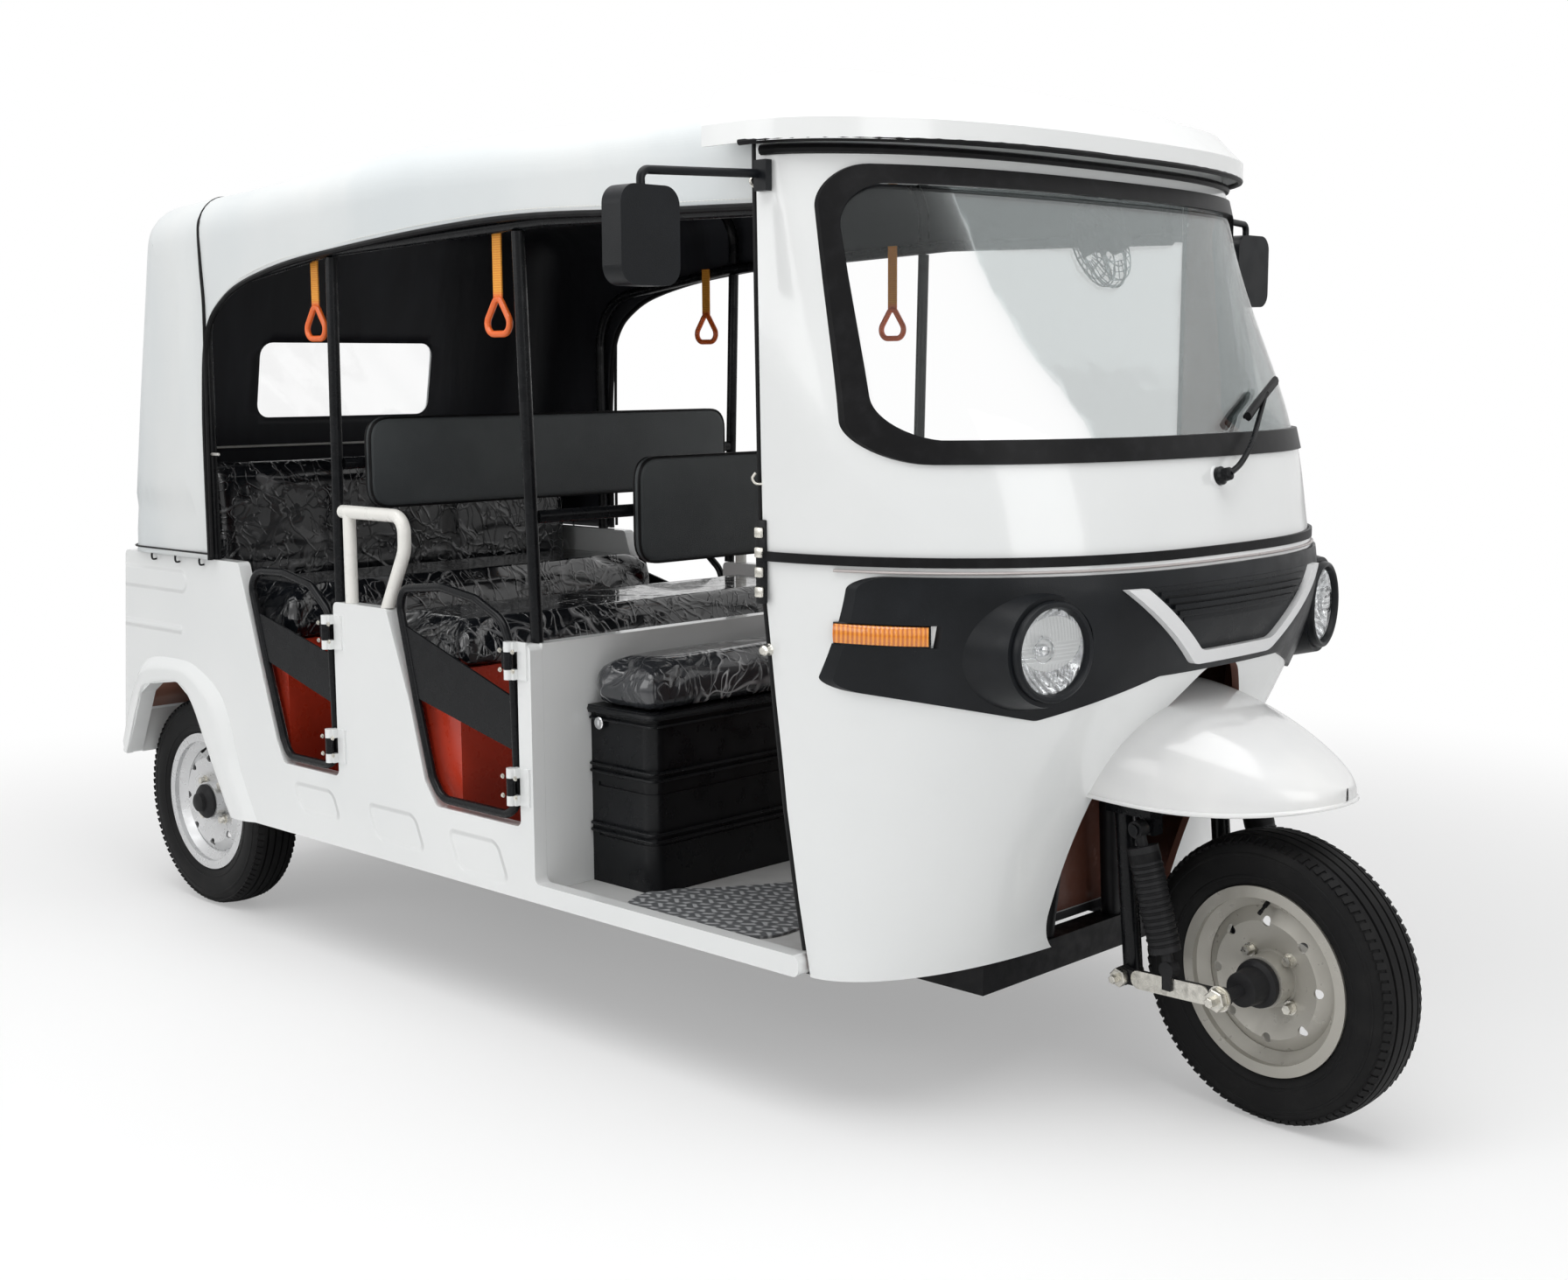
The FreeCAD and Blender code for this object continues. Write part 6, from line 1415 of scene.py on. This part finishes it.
def cowlFace(y, z, proud=0.0):  # a point on the cowl
    half, edge, nose = cowlRow(z)

    def place(v):
        c = min(1.0, (abs(v) / half)) ** (cowlPower / 2)
        return Vector((edge + (nose - edge) * math.sqrt(max(0.0, 1 - c * c)), v, z))
    step = 0.004 if y < 0 else -0.004
    along = (place(y + step) - place(y)).normalized()
    out = Vector((abs(along.y), -along.x * (1 if along.y > 0 else -1), 0)).normalized()
    return place(y) + (out if out.x >= 0 else -out) * proud


def planLine(half, edge, nose, z, angles):  # a level line round the cab's front
    line = []
    for a in angles:
        c = math.cos(a)
        line.append(Vector((edge + (nose - edge) * math.sin(a),
                            -math.copysign(half * abs(c) ** (2 / cowlPower), c), z)))
    return line


def headlamps():
    plan = lampPlan
    bezels, bowls, lenses, bulbs = Form(), Form(), Form(), Form()
    toe = math.radians(plan["toe"])
    noseX, noseY, noseZ = plan["nose"]
    bowl = list(plan["bowlRim"])
    for k in range(12):
        r = plan["bowl"] - plan["bowlReach"] * k / 11
        bowl.append((plan["bowlBack"] + plan["bowlDeep"] * (r / plan["bowl"]) ** 2, r))
    bowl.append(plan["bowlFloor"])
    dome = list(plan["lensRim"])
    for k in range(9):
        r = plan["lens"] * (1 - k / 8)
        dome.append((plan["lensBack"] + plan["lensDome"] * (1 - (r / plan["lens"]) ** 2), r))
    for s in (-1, 1):
        nose = Vector((noseX, s * noseY, noseZ))
        axis = Vector((math.cos(toe), s * math.sin(toe), 0))
        shade = nose + axis * plan["shadeBack"]
        up = Vector((0, 0, plan["shade"]))
        bezels.lathe(plan["bezel"], nose, axis, 72)
        bezels.lathe(plan["backPlate"], nose, axis, 36)
        bowls.lathe(bowl, nose, axis, 64)
        lenses.lathe(dome, nose, axis, 72)
        bulbs.lathe(plan["bulb"], nose, axis, 28)
        ring = [shade + Matrix.Rotation(turn * k / 28, 3, axis) @ up for k in range(28)]
        bulbs.tube(ring, plan["shadeWire"], 6, closed=True)
        for k in range(3):
            arm = Matrix.Rotation(turn * k / 3, 3, axis)
            back, out = plan["arm"]
            foot = nose + axis * back + arm @ Vector((0, 0, out))
            bulbs.tube([shade + arm @ up, foot], plan["armWire"], 6)
    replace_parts(bezels.make("headlight_bezels", "body", satin, 30), "front_lamps")
    bowls.make("headlight_bowls", "body", facetedBowl(), 60)
    bulbs.make("headlight_bulbs", "body", chrome, 40)
    lenses.make("headlight_lenses", "body", flutedLens(), 60)


def flutedLens():  # clear glass with upright flutes and a few level ones
    f = clear("fluted_lens", (0.95, 0.97, 0.98), 0.05, 0.05)
    y, z = f.axis("Y"), f.axis("Z")
    upright = (y * 900).sine()
    level = (z * 520).sine()
    middle = (z - lampPlan["nose"][2]).size() < 0.018
    f.set(Normal=f.bump(f.blend(middle, upright, level), 0.003, 0.9))
    return f


def facetedBowl():
    f = metal("lamp_bowl", (0.96, 0.97, 0.98), 0.10, 30)
    f.set(Metallic=0.75)
    cells = f.node("ShaderNodeTexVoronoi", {"feature": "F1"},
                   {"Vector": f.stretch(0.4, 1, 1), "Scale": 85.0}, "Distance")
    f.set(Normal=f.bump((f.axis("Y") * 330).sine() * 0.6 + cells, 0.004, 0.8))
    return f


headlamps()


# Mudguard: a saddle with a drooping rounded tip and a rolled lip

mudPlan = {
    "root": 1.0600, "tip": 1.4360, "wide": 0.206, "rootTop": 0.747, "tipTop": 0.598,
    "rootFoot": 0.565, "tipFoot": 0.572, "sweep": 0.010, "wall": 0.004, "lip": 0.0042,
    "along": 24, "across": 32, "narrow": 0.10,
    "taper": 2.6, "droop": 1.75, "footPower": 4, "sideShare": 0.72, "topShare": 0.74,  # curve powers
}


def mudguard():
    plan = mudPlan
    count, wide = plan["along"] + 1, plan["across"] + 1
    outer, inner = [], []
    for i in range(count):
        t = math.sin(turn / 4 * i / plan["along"])
        x = plan["root"] + (plan["tip"] - plan["root"]) * t
        half = plan["wide"] * (1 - t ** plan["taper"]) ** 0.5 * (1 - plan["narrow"] * t) + plan["wall"]
        top = plan["tipTop"] + (plan["rootTop"] - plan["tipTop"]) * (1 - t ** plan["droop"])
        foot = plan["rootFoot"] + (plan["tipFoot"] - plan["rootFoot"]) * t ** plan["footPower"]
        foot -= plan["sweep"] * math.sin(turn / 2 * t)
        for rows, less in ((outer, 0.0), (inner, plan["wall"])):
            row = []
            for k in range(wide):
                c, n = math.cos(turn / 2 * k / plan["across"]), math.sin(turn / 2 * k / plan["across"])
                y = -(half - less) * math.copysign(abs(c) ** plan["sideShare"], c)
                row.append(Vector((x - less, y, foot + (top - less - foot) * n ** plan["topShare"])))
            rows.append(row)
    form = Form()
    for rows in (outer, inner):
        faces = [[i * wide + k, i * wide + k + 1, (i + 1) * wide + k + 1, (i + 1) * wide + k]
                 for i in range(plan["along"]) for k in range(plan["across"])]
        form.add([p for row in rows for p in row], faces)
    form.tube([row[0] for row in outer] + [row[-1] for row in reversed(outer)], plan["lip"], 8)
    form.tube([p.lerp(q, 0.5) for p, q in zip(outer[0], inner[0])], plan["lip"], 8, up=(1, 0, 0))
    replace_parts(form.make("mudguard_shell", "body", pearl, 40), "mudguard")


mudguard()


turnPlan = {"from": 0.5425, "long": 0.0625, "height": 0.866, "halfHigh": 0.0165, "stand": 0.004,
            "bulge": 0.013, "rim": 0.0035, "along": 12, "up": 8}


def turnLamps():
    plan = turnPlan
    form, rims = Form(), Form()
    count, high = plan["along"], plan["up"]
    for s in (-1, 1):
        grid = []
        for i in range(count + 1):
            y = s * (plan["from"] + plan["long"] * i / count)
            p = cowlFace(y, plan["height"], 0.008)
            out = (p - cowlFace(y, plan["height"])).normalized()
            ease = math.sin(turn / 2 * min(max(i / count, 0.06), 0.94)) ** 0.25
            column = []
            for k in range(high + 1):
                a = turn / 2 * k / high
                bulge = plan["bulge"] * max(math.sin(a), 0) ** 0.5 * ease
                z = plan["height"] - plan["halfHigh"] * math.cos(a)
                column.append(Vector((p.x, p.y, z)) + out * (bulge - plan["stand"]))
            grid.append(column)
        for i in range(count):
            for k in range(high):
                form.add([grid[i][k], grid[i + 1][k], grid[i + 1][k + 1], grid[i][k + 1]], [[0, 1, 2, 3]])
        for end in (0, count):
            form.add(grid[end], [list(range(high + 1))])
        loop = [column[0] for column in grid] + [column[high] for column in reversed(grid)]
        rims.tube(loop, plan["rim"], 6, closed=True, up=(1, 0, 0))
    form.make("turn_lamp_lenses", "body", amberLens, 40)
    rims.make("turn_lamp_frames", "body", satin, 40)


turnLamps()
print("lamps made")


# Cab: belt strip, wiper, latches, fan, cap gasket, driver's box trim and mat

stripPlan = {"half": 0.612, "height": 0.9685, "proud": 0.0035, "thick": 0.0042, "steps": 30}
wiperPlan = {
    "hub": (1.191, -0.015, 1.108), "base": (1.183, -0.015, 1.106), "facing": (0.97, 0.0, 0.24),
    "hubShape": ((-0.016, 0.0), (-0.016, 0.016), (0.002, 0.016), (0.006, 0.012), (0.018, 0.011),
                 (0.020, 0.008), (0.020, 0)),
    "baseShape": ((-0.010, 0.0), (-0.010, 0.021), (0.0, 0.021), (0.003, 0.018), (0.003, 0)),
    "arm": ((1.207, -0.015, 1.112), (1.204, 0.025, 1.128), (1.194, 0.075, 1.160),
            (1.165, 0.150, 1.208), (1.150, 0.194, 1.243)), "thick": 0.0068, "taper": 0.0026,
    "joint": ((1.150, 0.194, 1.243), (1.146, 0.198, 1.242)), "jointThick": 0.006,
    "carrier": ((1.166, 0.108, 1.205), (1.156, 0.155, 1.227), (1.144, 0.205, 1.246),
                (1.129, 0.262, 1.266)), "carrierThick": 0.0062,
    "blade": ((1.158, 0.108, 1.204), (1.148, 0.155, 1.226), (1.136, 0.205, 1.245),
              (1.121, 0.262, 1.265)), "bladeThick": 0.0022,
}
latchPlan = {
    "strip": ((0.690, -0.6385, 0.905), (0.712, -0.6315, 1.045)), "keepers": 4, "first": 0.925,
    "pitch": 0.033, "half": 0.009, "x": (0.693, 0.710), "y": (-0.6455, -0.638),
    "knob": ((0, 0), (0, 0.010), (0.004, 0.010), (0.008, 0.007), (0.016, 0.006), (0.020, 0.009),
             (0.024, 0.006), (0.0245, 0)), "knobAt": (0.700, -0.6155, 0.826), "knobFacing": (0.2, -0.98, 0),
    "hookHeights": (1.104, 1.583), "hookWire": 0.0025,
    "hook": ((0.704, 0.628, 0), (0.698, 0.643, 0.001), (0.692, 0.646, 0.010), (0.694, 0.641, 0.018)),
}
fanPlan = {
    "middle": (0.845, 0.115, 1.515), "facing": (-0.93, -0.1, -0.34),
    "rings": ((0.082, 0.0), (0.074, 0.018), (0.056, 0.026), (0.034, 0.030), (0.074, -0.016), (0.050, -0.022)),
    "hoop": 0.0028, "wire": 0.0013, "spoke": 0.0011, "spokes": 20, "blades": 4,
    "spokeLine": ((0.031, 0.018), (0.026, 0.056), (0.016, 0.075), (0.0, 0.082), (-0.016, 0.074),
                  (-0.024, 0.040)),
    "motor": ((-0.050, 0), (-0.050, 0.022), (-0.044, 0.027), (-0.020, 0.028), (-0.012, 0.012),
              (0.010, 0.012), (0.014, 0.008), (0.014, 0)),
    "blade": ((0.012, -0.010, 0), (0.066, -0.026, 0.008), (0.070, 0.014, -0.004), (0.012, 0.010, 0)),
    "bladeThick": 0.0016, "stem": ((0.868, 0.115, 1.62), (0.868, 0.115, 1.679)), "stemThick": 0.0065,
    "foot": ((0.843, 0.093, 1.672), (0.893, 0.137, 1.6799)),
}
gasketPlan = {"half": 0.6687, "edge": 0.7025, "nose": 0.9766, "height": 1.6535, "start": 0.686,
              "inset": 0.004, "thick": 0.0055, "seatHalf": 0.6475, "seatNose": 0.9310,
              "seatHeight": 1.640, "seatThick": 0.0085}
boxPlan = {
    "lock": ((0, 0), (0, 0.0125), (0.003, 0.0125), (0.0045, 0.011), (0.0045, 0.0)),
    "lockAt": (0.076, -0.4575, 0.604), "slot": ((0.0752, -0.4632, 0.5985), (0.0768, -0.4615, 0.6095)),
    "ribs": ((0.630, 0.0065), (0.612, 0.0025), (0.520, 0.0028), (0.506, 0.0028), (0.400, 0.0028),
             (0.386, 0.0028)), "corner": 0.012, "x": (0.0418, 0.2305), "half": 0.458,
}
matPlan = {
    "height": 0.2806, "thick": 0.0045,
    "outline": ((0.206, -0.432), (0.232, -0.530), (0.300, -0.566), (0.400, -0.562), (0.500, -0.560),
                (0.578, -0.520), (0.592, -0.452), (0.560, -0.33), (0.470, -0.235), (0.370, -0.205),
                (0.318, -0.275), (0.268, -0.352)),
}


def beltStrip():
    plan = stripPlan
    line = [cowlFace(plan["half"] * math.sin(turn / 4 * k / plan["steps"]), plan["height"], plan["proud"])
            for k in range(-plan["steps"], plan["steps"] + 1)]
    Form().tube(line, plan["thick"], 8, flat=0.6).make("pale_belt_strip", "body", stripPale)


def wiper():
    plan = wiperPlan
    arm, blade = Form(), Form()
    arm.lathe(plan["hubShape"], plan["hub"], plan["facing"], 24)
    line = smoothPath(plan["arm"], 6)
    arm.tube(line, [plan["thick"] - plan["taper"] * k / 24 for k in range(len(line))], 8, flat=0.7)
    arm.tube(plan["joint"], plan["jointThick"], 8)
    blade.tube(smoothPath(plan["carrier"], 6), plan["carrierThick"], 8, flat=1.5)
    blade.tube(smoothPath(plan["blade"], 6), plan["bladeThick"], 6, flat=2.0)
    arm.make("wiper_arm", "body", frameBlack)
    blade.make("wiper_blade", "body", trimRubber)
    base = Form().lathe(plan["baseShape"], plan["base"], plan["facing"], 24)
    base.make("wiper_base", "body", silver, 30)


def doorwayLatches():
    plan = latchPlan
    knobs, hooks = Form(), Form()
    low, high = plan["strip"]
    strip = Form().block(low, high, 0.002)
    (x0, x1), (y0, y1) = plan["x"], plan["y"]
    for k in range(plan["keepers"]):
        z = plan["first"] + plan["pitch"] * k
        knobs.block((x0, y0, z - plan["half"]), (x1, y1, z + plan["half"]), 0.003)
    knobs.lathe(plan["knob"], plan["knobAt"], plan["knobFacing"], 20)
    strip.make("doorway_latch_strip", "body", frameBlack, 30)
    knobs.make("doorway_latch_keepers", "body", zinc, 30)
    for height in plan["hookHeights"]:
        for s in (-1, 1):
            line = [(x, s * y, height + z) for x, y, z in plan["hook"]]
            hooks.tube(smoothPath(line, 4), plan["hookWire"], 6)
    hooks.make("side_curtain_hooks", "body", zinc)


def cabFan():
    plan = fanPlan
    fan, cage = Form(), Form()
    middle, ahead = Vector(plan["middle"]), Vector(plan["facing"]).normalized()
    across = ahead.cross(Vector((0, 0, 1))).normalized()
    up = across.cross(ahead)

    def outward(a):
        return across * math.cos(a) + up * math.sin(a)
    for r, shift in plan["rings"]:
        ring = [middle + ahead * shift + outward(turn * k / 36) * r for k in range(36)]
        cage.tube(ring, plan["hoop"] if shift == 0 else plan["wire"], 5, closed=True)
    for k in range(plan["spokes"]):
        out = outward(turn * k / plan["spokes"])
        cage.tube([middle + ahead * x + out * r for x, r in plan["spokeLine"]], plan["spoke"], 5)
    fan.lathe(plan["motor"], middle, ahead, 28)
    for k in range(plan["blades"]):
        out = outward(turn * k / plan["blades"])
        beside = ahead.cross(out)
        corners = [middle + out * r + beside * w + ahead * x for r, w, x in plan["blade"]]
        fan.plate(corners, ahead * plan["bladeThick"])
    stem = [middle - ahead * 0.040, middle - ahead * 0.055 + up * 0.03, *plan["stem"]]
    fan.tube(smoothPath(stem, 5), plan["stemThick"], 8)
    low, high = plan["foot"]
    fan.block(low, high, 0.002)
    fan.make("cab_fan_motor", "body", satin, 30)
    cage.make("cab_fan_cage", "body", frameBlack, 60)


def capGasket():
    plan = gasketPlan
    half, start, z = plan["half"], plan["start"], plan["height"]
    arc = planLine(half, plan["edge"], plan["nose"], z, [turn / 2 * k / 40 for k in range(41)])
    line = [Vector((start, -half, z)), *arc, Vector((start, half, z))]
    drawn = [Vector((p.x - (plan["inset"] if p.x > plan["edge"] + 0.0075 else 0),
                     p.y * (1 - plan["inset"] / half), z)) for p in line]
    seat = planLine(plan["seatHalf"], plan["edge"], plan["seatNose"], plan["seatHeight"],
                    [turn / 2 * (0.02 + 0.96 * k / 40) for k in range(41)])
    gasket = Form().tube(drawn, plan["thick"], 8).tube(seat, plan["seatThick"], 8)
    gasket.make("roof_cap_gasket", "body", trimRubber)


def boxTrim():
    plan = boxPlan
    lock, ribs = Form(), Form()
    low, high = plan["slot"]
    lock.lathe(plan["lock"], plan["lockAt"], (0, -1, 0), 24).block(low, high)
    lock.make("seat_box_lock", "body", chrome, 30)
    (x0, x1), half = plan["x"], plan["half"]
    for z, r in plan["ribs"]:
        corners = [(x0, -half, z), (x1, -half, z), (x1, half, z), (x0, half, z)]
        ribs.tube(roundPath(corners, plan["corner"], 5, True), r, 8, closed=True)
    ribs.make("seat_box_ribs", "body", boxBlack, 40)


def cabMat():
    outline = smoothPath([(x, y, matPlan["height"]) for x, y in matPlan["outline"]], 6, True)
    Form().plate(outline, (0, 0, matPlan["thick"])).make("cab_mat", "body", matGrey, 30)


beltStrip()
wiper()
doorwayLatches()
cabFan()
capGasket()
boxTrim()
cabMat()


# Handlebar grips and levers, and the dash dials

barPlan = {
    "height": 1.010, "end": (-0.090, 0.330, 0.040), "elbow": (0, 0.165, 0.040), "grooves": 14,
    "start": 0.004, "pitch": 0.008, "gripFoot": ((-0.002, 0.0), (-0.002, 0.0175)),
    "groove": ((0, 0.0178), (0.005, 0.0178), (0.0056, 0.0166), (0.0074, 0.0166)),
    "collar": ((0.118, 0.0200), (0.124, 0.0200), (0.124, 0.0)), "hold": 0.140,
    "clamp": ((-0.014, 0), (-0.014, 0.019), (0.014, 0.019), (0.014, 0)),
    "lever": ((0.012, 0), (0.034, 0.010), (0.042, 0.06), (0.040, 0.135)), "leverThick": 0.0048,
}
dialPlan = {
    "at": (0.985, 0.0, 0.965), "facing": (-0.80, 0, 0.60),
    "middle": ((-0.052, 0.0), (-0.052, 0.034), (-0.020, 0.052), (0.0, 0.055), (0.003, 0.053),
               (0.003, 0.047), (-0.003, 0.046), (-0.003, 0.0)),
    "outer": ((-0.045, 0.0), (-0.045, 0.022), (-0.014, 0.032), (0.0, 0.034), (0.002, 0.032),
              (0.002, 0.028), (-0.002, 0.027), (-0.002, 0.0)),
    "side": 0.105, "drop": 0.004, "foot": ((0.955, -0.150, 0.9200), (1.035, 0.150, 0.938)),
    "marks": 11, "first": 210, "step": 24, "markIn": 0.036, "needle": 205, "needleLong": 0.034,
    "markEnds": (0.0445, 0.043), "markHalf": 0.0012, "wideMark": 0.002, "markSeat": 0.0028,
    "markThick": 0.0006, "needleHalf": 0.0018, "needleSeat": 0.002, "needleThick": 0.001,
}


def barFittings():
    plan = barPlan
    grips, levers = Form(), Form()
    centre = Vector((steerFoot.x - math.tan(rake) * plan["height"], 0, plan["height"]))
    grip = list(plan["gripFoot"])
    for k in range(plan["grooves"]):
        grip += [(plan["start"] + plan["pitch"] * k + x, r) for x, r in plan["groove"]]
    grip += plan["collar"]
    for s in (-1, 1):
        end, elbow = [centre + Vector((x, s * y, z)) for x, y, z in (plan["end"], plan["elbow"])]
        inward = (elbow - end).normalized()
        grips.lathe(grip, end, inward, 24)
        hold = end + inward * plan["hold"]
        levers.lathe(plan["clamp"], hold, inward, 20)
        ahead = Vector((0, 0, 1)).cross(inward)
        ahead = ahead if ahead.x > 0 else -ahead
        line = [hold + ahead * out - inward * back for out, back in plan["lever"]]
        levers.tube(smoothPath(line, 6), plan["leverThick"], 8, flat=0.7)
    for form, name, finish in ((grips, "bar_grips", bellowsRubber), (levers, "brake_levers", silver)):
        form.moved(steerTurn).make(name, "steering", finish, 40)


def dashDials():
    plan = dialPlan
    dial, marks = Form(), Form()
    middle, face = Vector(plan["at"]), Vector(plan["facing"]).normalized()
    across = Vector((0, 1, 0))
    up = face.cross(across)
    dial.lathe(plan["middle"], middle, face, 40)
    for s in (-1, 1):
        dial.lathe(plan["outer"], middle + Vector((0, s * plan["side"], -plan["drop"])), face, 32)
    low, high = plan["foot"]
    dial.block(low, high, 0.008)
    dial.make("dash_dials", "body", satin, 30)
    for k in range(plan["marks"]):
        a = math.radians(plan["first"] - plan["step"] * k)
        out = across * math.cos(a) + up * math.sin(a)
        seat = middle - face * plan["markSeat"]
        p, q = seat + out * plan["markIn"], seat + out * plan["markEnds"][k % 2]
        beside = face.cross(out) * plan["markHalf" if k % 5 else "wideMark"]
        marks.plate([p - beside, q - beside, q + beside, p + beside], face * plan["markThick"])
    a = math.radians(plan["needle"])
    needle = across * math.cos(a) + up * math.sin(a)
    beside = face.cross(needle) * plan["needleHalf"]
    seat = middle - face * plan["needleSeat"]
    marks.plate([seat - beside, seat + needle * plan["needleLong"], seat + beside],
                face * plan["needleThick"])
    marks.make("dial_marks", "body", tubeWhite, 30)


barFittings()
dashDials()
print("cab fitted")


# Body sides: arch flares, hinge bolts, number plate, grab bracket, mirrors

flarePlan = {
    "inner": ((2872, 350), (2789, 513), (2744, 540), (2616, 558), (2551, 522), (2487, 421), (2411, 295),
              (2388, 263)),
    "outer": ((2893, 398), (2835, 530), (2762, 598), (2640, 612), (2531, 600), (2419, 533), (2355, 376),
              (2290, 263)),  # millimetres back and up
    "section": ((0.0, -0.002), (0.0, 0.0006), (0.12, 0.0045), (0.26, 0.0100), (0.38, 0.0134),
                (0.50, 0.0145), (0.80, 0.0150), (0.93, 0.0146), (0.985, 0.0125), (1.0, 0.008),
                (1.0, -0.006), (0.97, -0.006)), "half": 0.600, "steps": 49,
}
hingePlan = {"doors": (("fore", -0.0075), ("aft", -0.6355)), "rows": (0.452, 0.700), "ups": (0.018, 0.056),
             "beside": 0.0195, "face": 0.6195, "bolt": {"Size": 0.0034, "High": 0.0022, "Sides": 12}}
platePlan = {
    "foot": (-1.5560, 0.545), "head": (-1.5485, 0.655), "half": 0.16, "corner": 0.012, "thick": 0.0016,
    "bolts": ((-1.5530, -0.075, 0.600), (-1.5530, 0.075, 0.600)),
    "bracket": ((-1.5300, -0.062, 0.775), (-1.5100, 0.062, 0.805)),
    "handle": ((-1.528, -0.045, 0.782), (-1.545, -0.045, 0.779), (-1.545, 0.045, 0.779),
               (-1.528, 0.045, 0.782)), "handleCorner": 0.010, "handleWire": 0.004,
    "edge": 0.004, "bolt": {"Size": 0.006, "High": 0.004}, "boltFacing": (-1, 0, 0.1),
}
mirrorPlan = {"side": 0.881, "half": 0.053, "low": 1.428, "high": 1.564, "corner": 0.026, "thick": 0.0009}


def archFlares():
    plan = flarePlan
    form = Form()
    lines = []
    for pairs in (plan["outer"], plan["inner"]):
        points = [(at(back / 1000), 0, z / 1000) for back, z in pairs]
        lines.append(alongPath(smoothPath(points, 8), plan["steps"]))
    for s in (-1, 1):
        rings = []
        for p, q in zip(*lines):
            ring = []
            for share, proud in plan["section"]:
                w = p.lerp(q, share)
                ring.append(Vector((w.x, s * (plan["half"] + proud), w.z)))
            rings.append(ring)
        form.rings(rings)
    form.make("arch_flares", "body", gloss, 38)


def hingeBolts():
    plan = hingePlan
    for word, x in plan["doors"]:
        for s, hand in ((-1, "right"), (1, "left")):
            fixed, moving = [[Vector((x + way * plan["beside"], s * plan["face"], z + up))
                              for z in plan["rows"] for up in plan["ups"]] for way in (1, -1)]
            facing = [Vector((0, s, 0))] * len(fixed)
            grow(zincBolts, word + "_hinge_bolts_" + hand, fixed, "body", normals=facing, **plan["bolt"])
            grow(zincBolts, word + "_door_bolts_" + hand, moving, "door_" + word + "_" + hand,
                 normals=facing, **plan["bolt"])


def rearDetails():
    plan = platePlan
    half = plan["half"]
    (footX, footZ), (headX, headZ) = plan["foot"], plan["head"]
    corners = [(footX, -half, footZ), (footX, half, footZ), (headX, half, headZ), (headX, -half, headZ)]
    plate = Form().plate(roundPath(corners, plan["corner"], 4, True), (plan["thick"], 0, 0.0001))
    plate.make("number_plate_blank", "body", plateWhite, 30)
    grow(zincBolts, "number_plate_bolts", plan["bolts"], "body",
         normals=[plan["boltFacing"]] * 2, **plan["bolt"])
    low, high = plan["bracket"]
    bracket = Form().block(low, high, plan["edge"])
    bracket.tube(roundPath(plan["handle"], plan["handleCorner"], 4), plan["handleWire"], 8)
    bracket.make("rear_grab_bracket", "body", frameBlack, 30)


def mirrorGlasses():
    plan = mirrorPlan
    form = Form()
    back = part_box("mirrors")[0].x + 0.0004
    low, high, half = plan["low"], plan["high"], plan["half"]
    for s in (-1, 1):
        y = s * plan["side"]
        corners = [(back, y - half, low), (back, y + half, low),
                   (back, y + half, high), (back, y - half, high)]
        form.plate(roundPath(corners, plan["corner"], 6, True), (-plan["thick"], 0, 0))
    form.make("mirror_glasses", "body", mirrorGlass, 30)


archFlares()
hingeBolts()
rearDetails()
mirrorGlasses()
print("body trimmed")
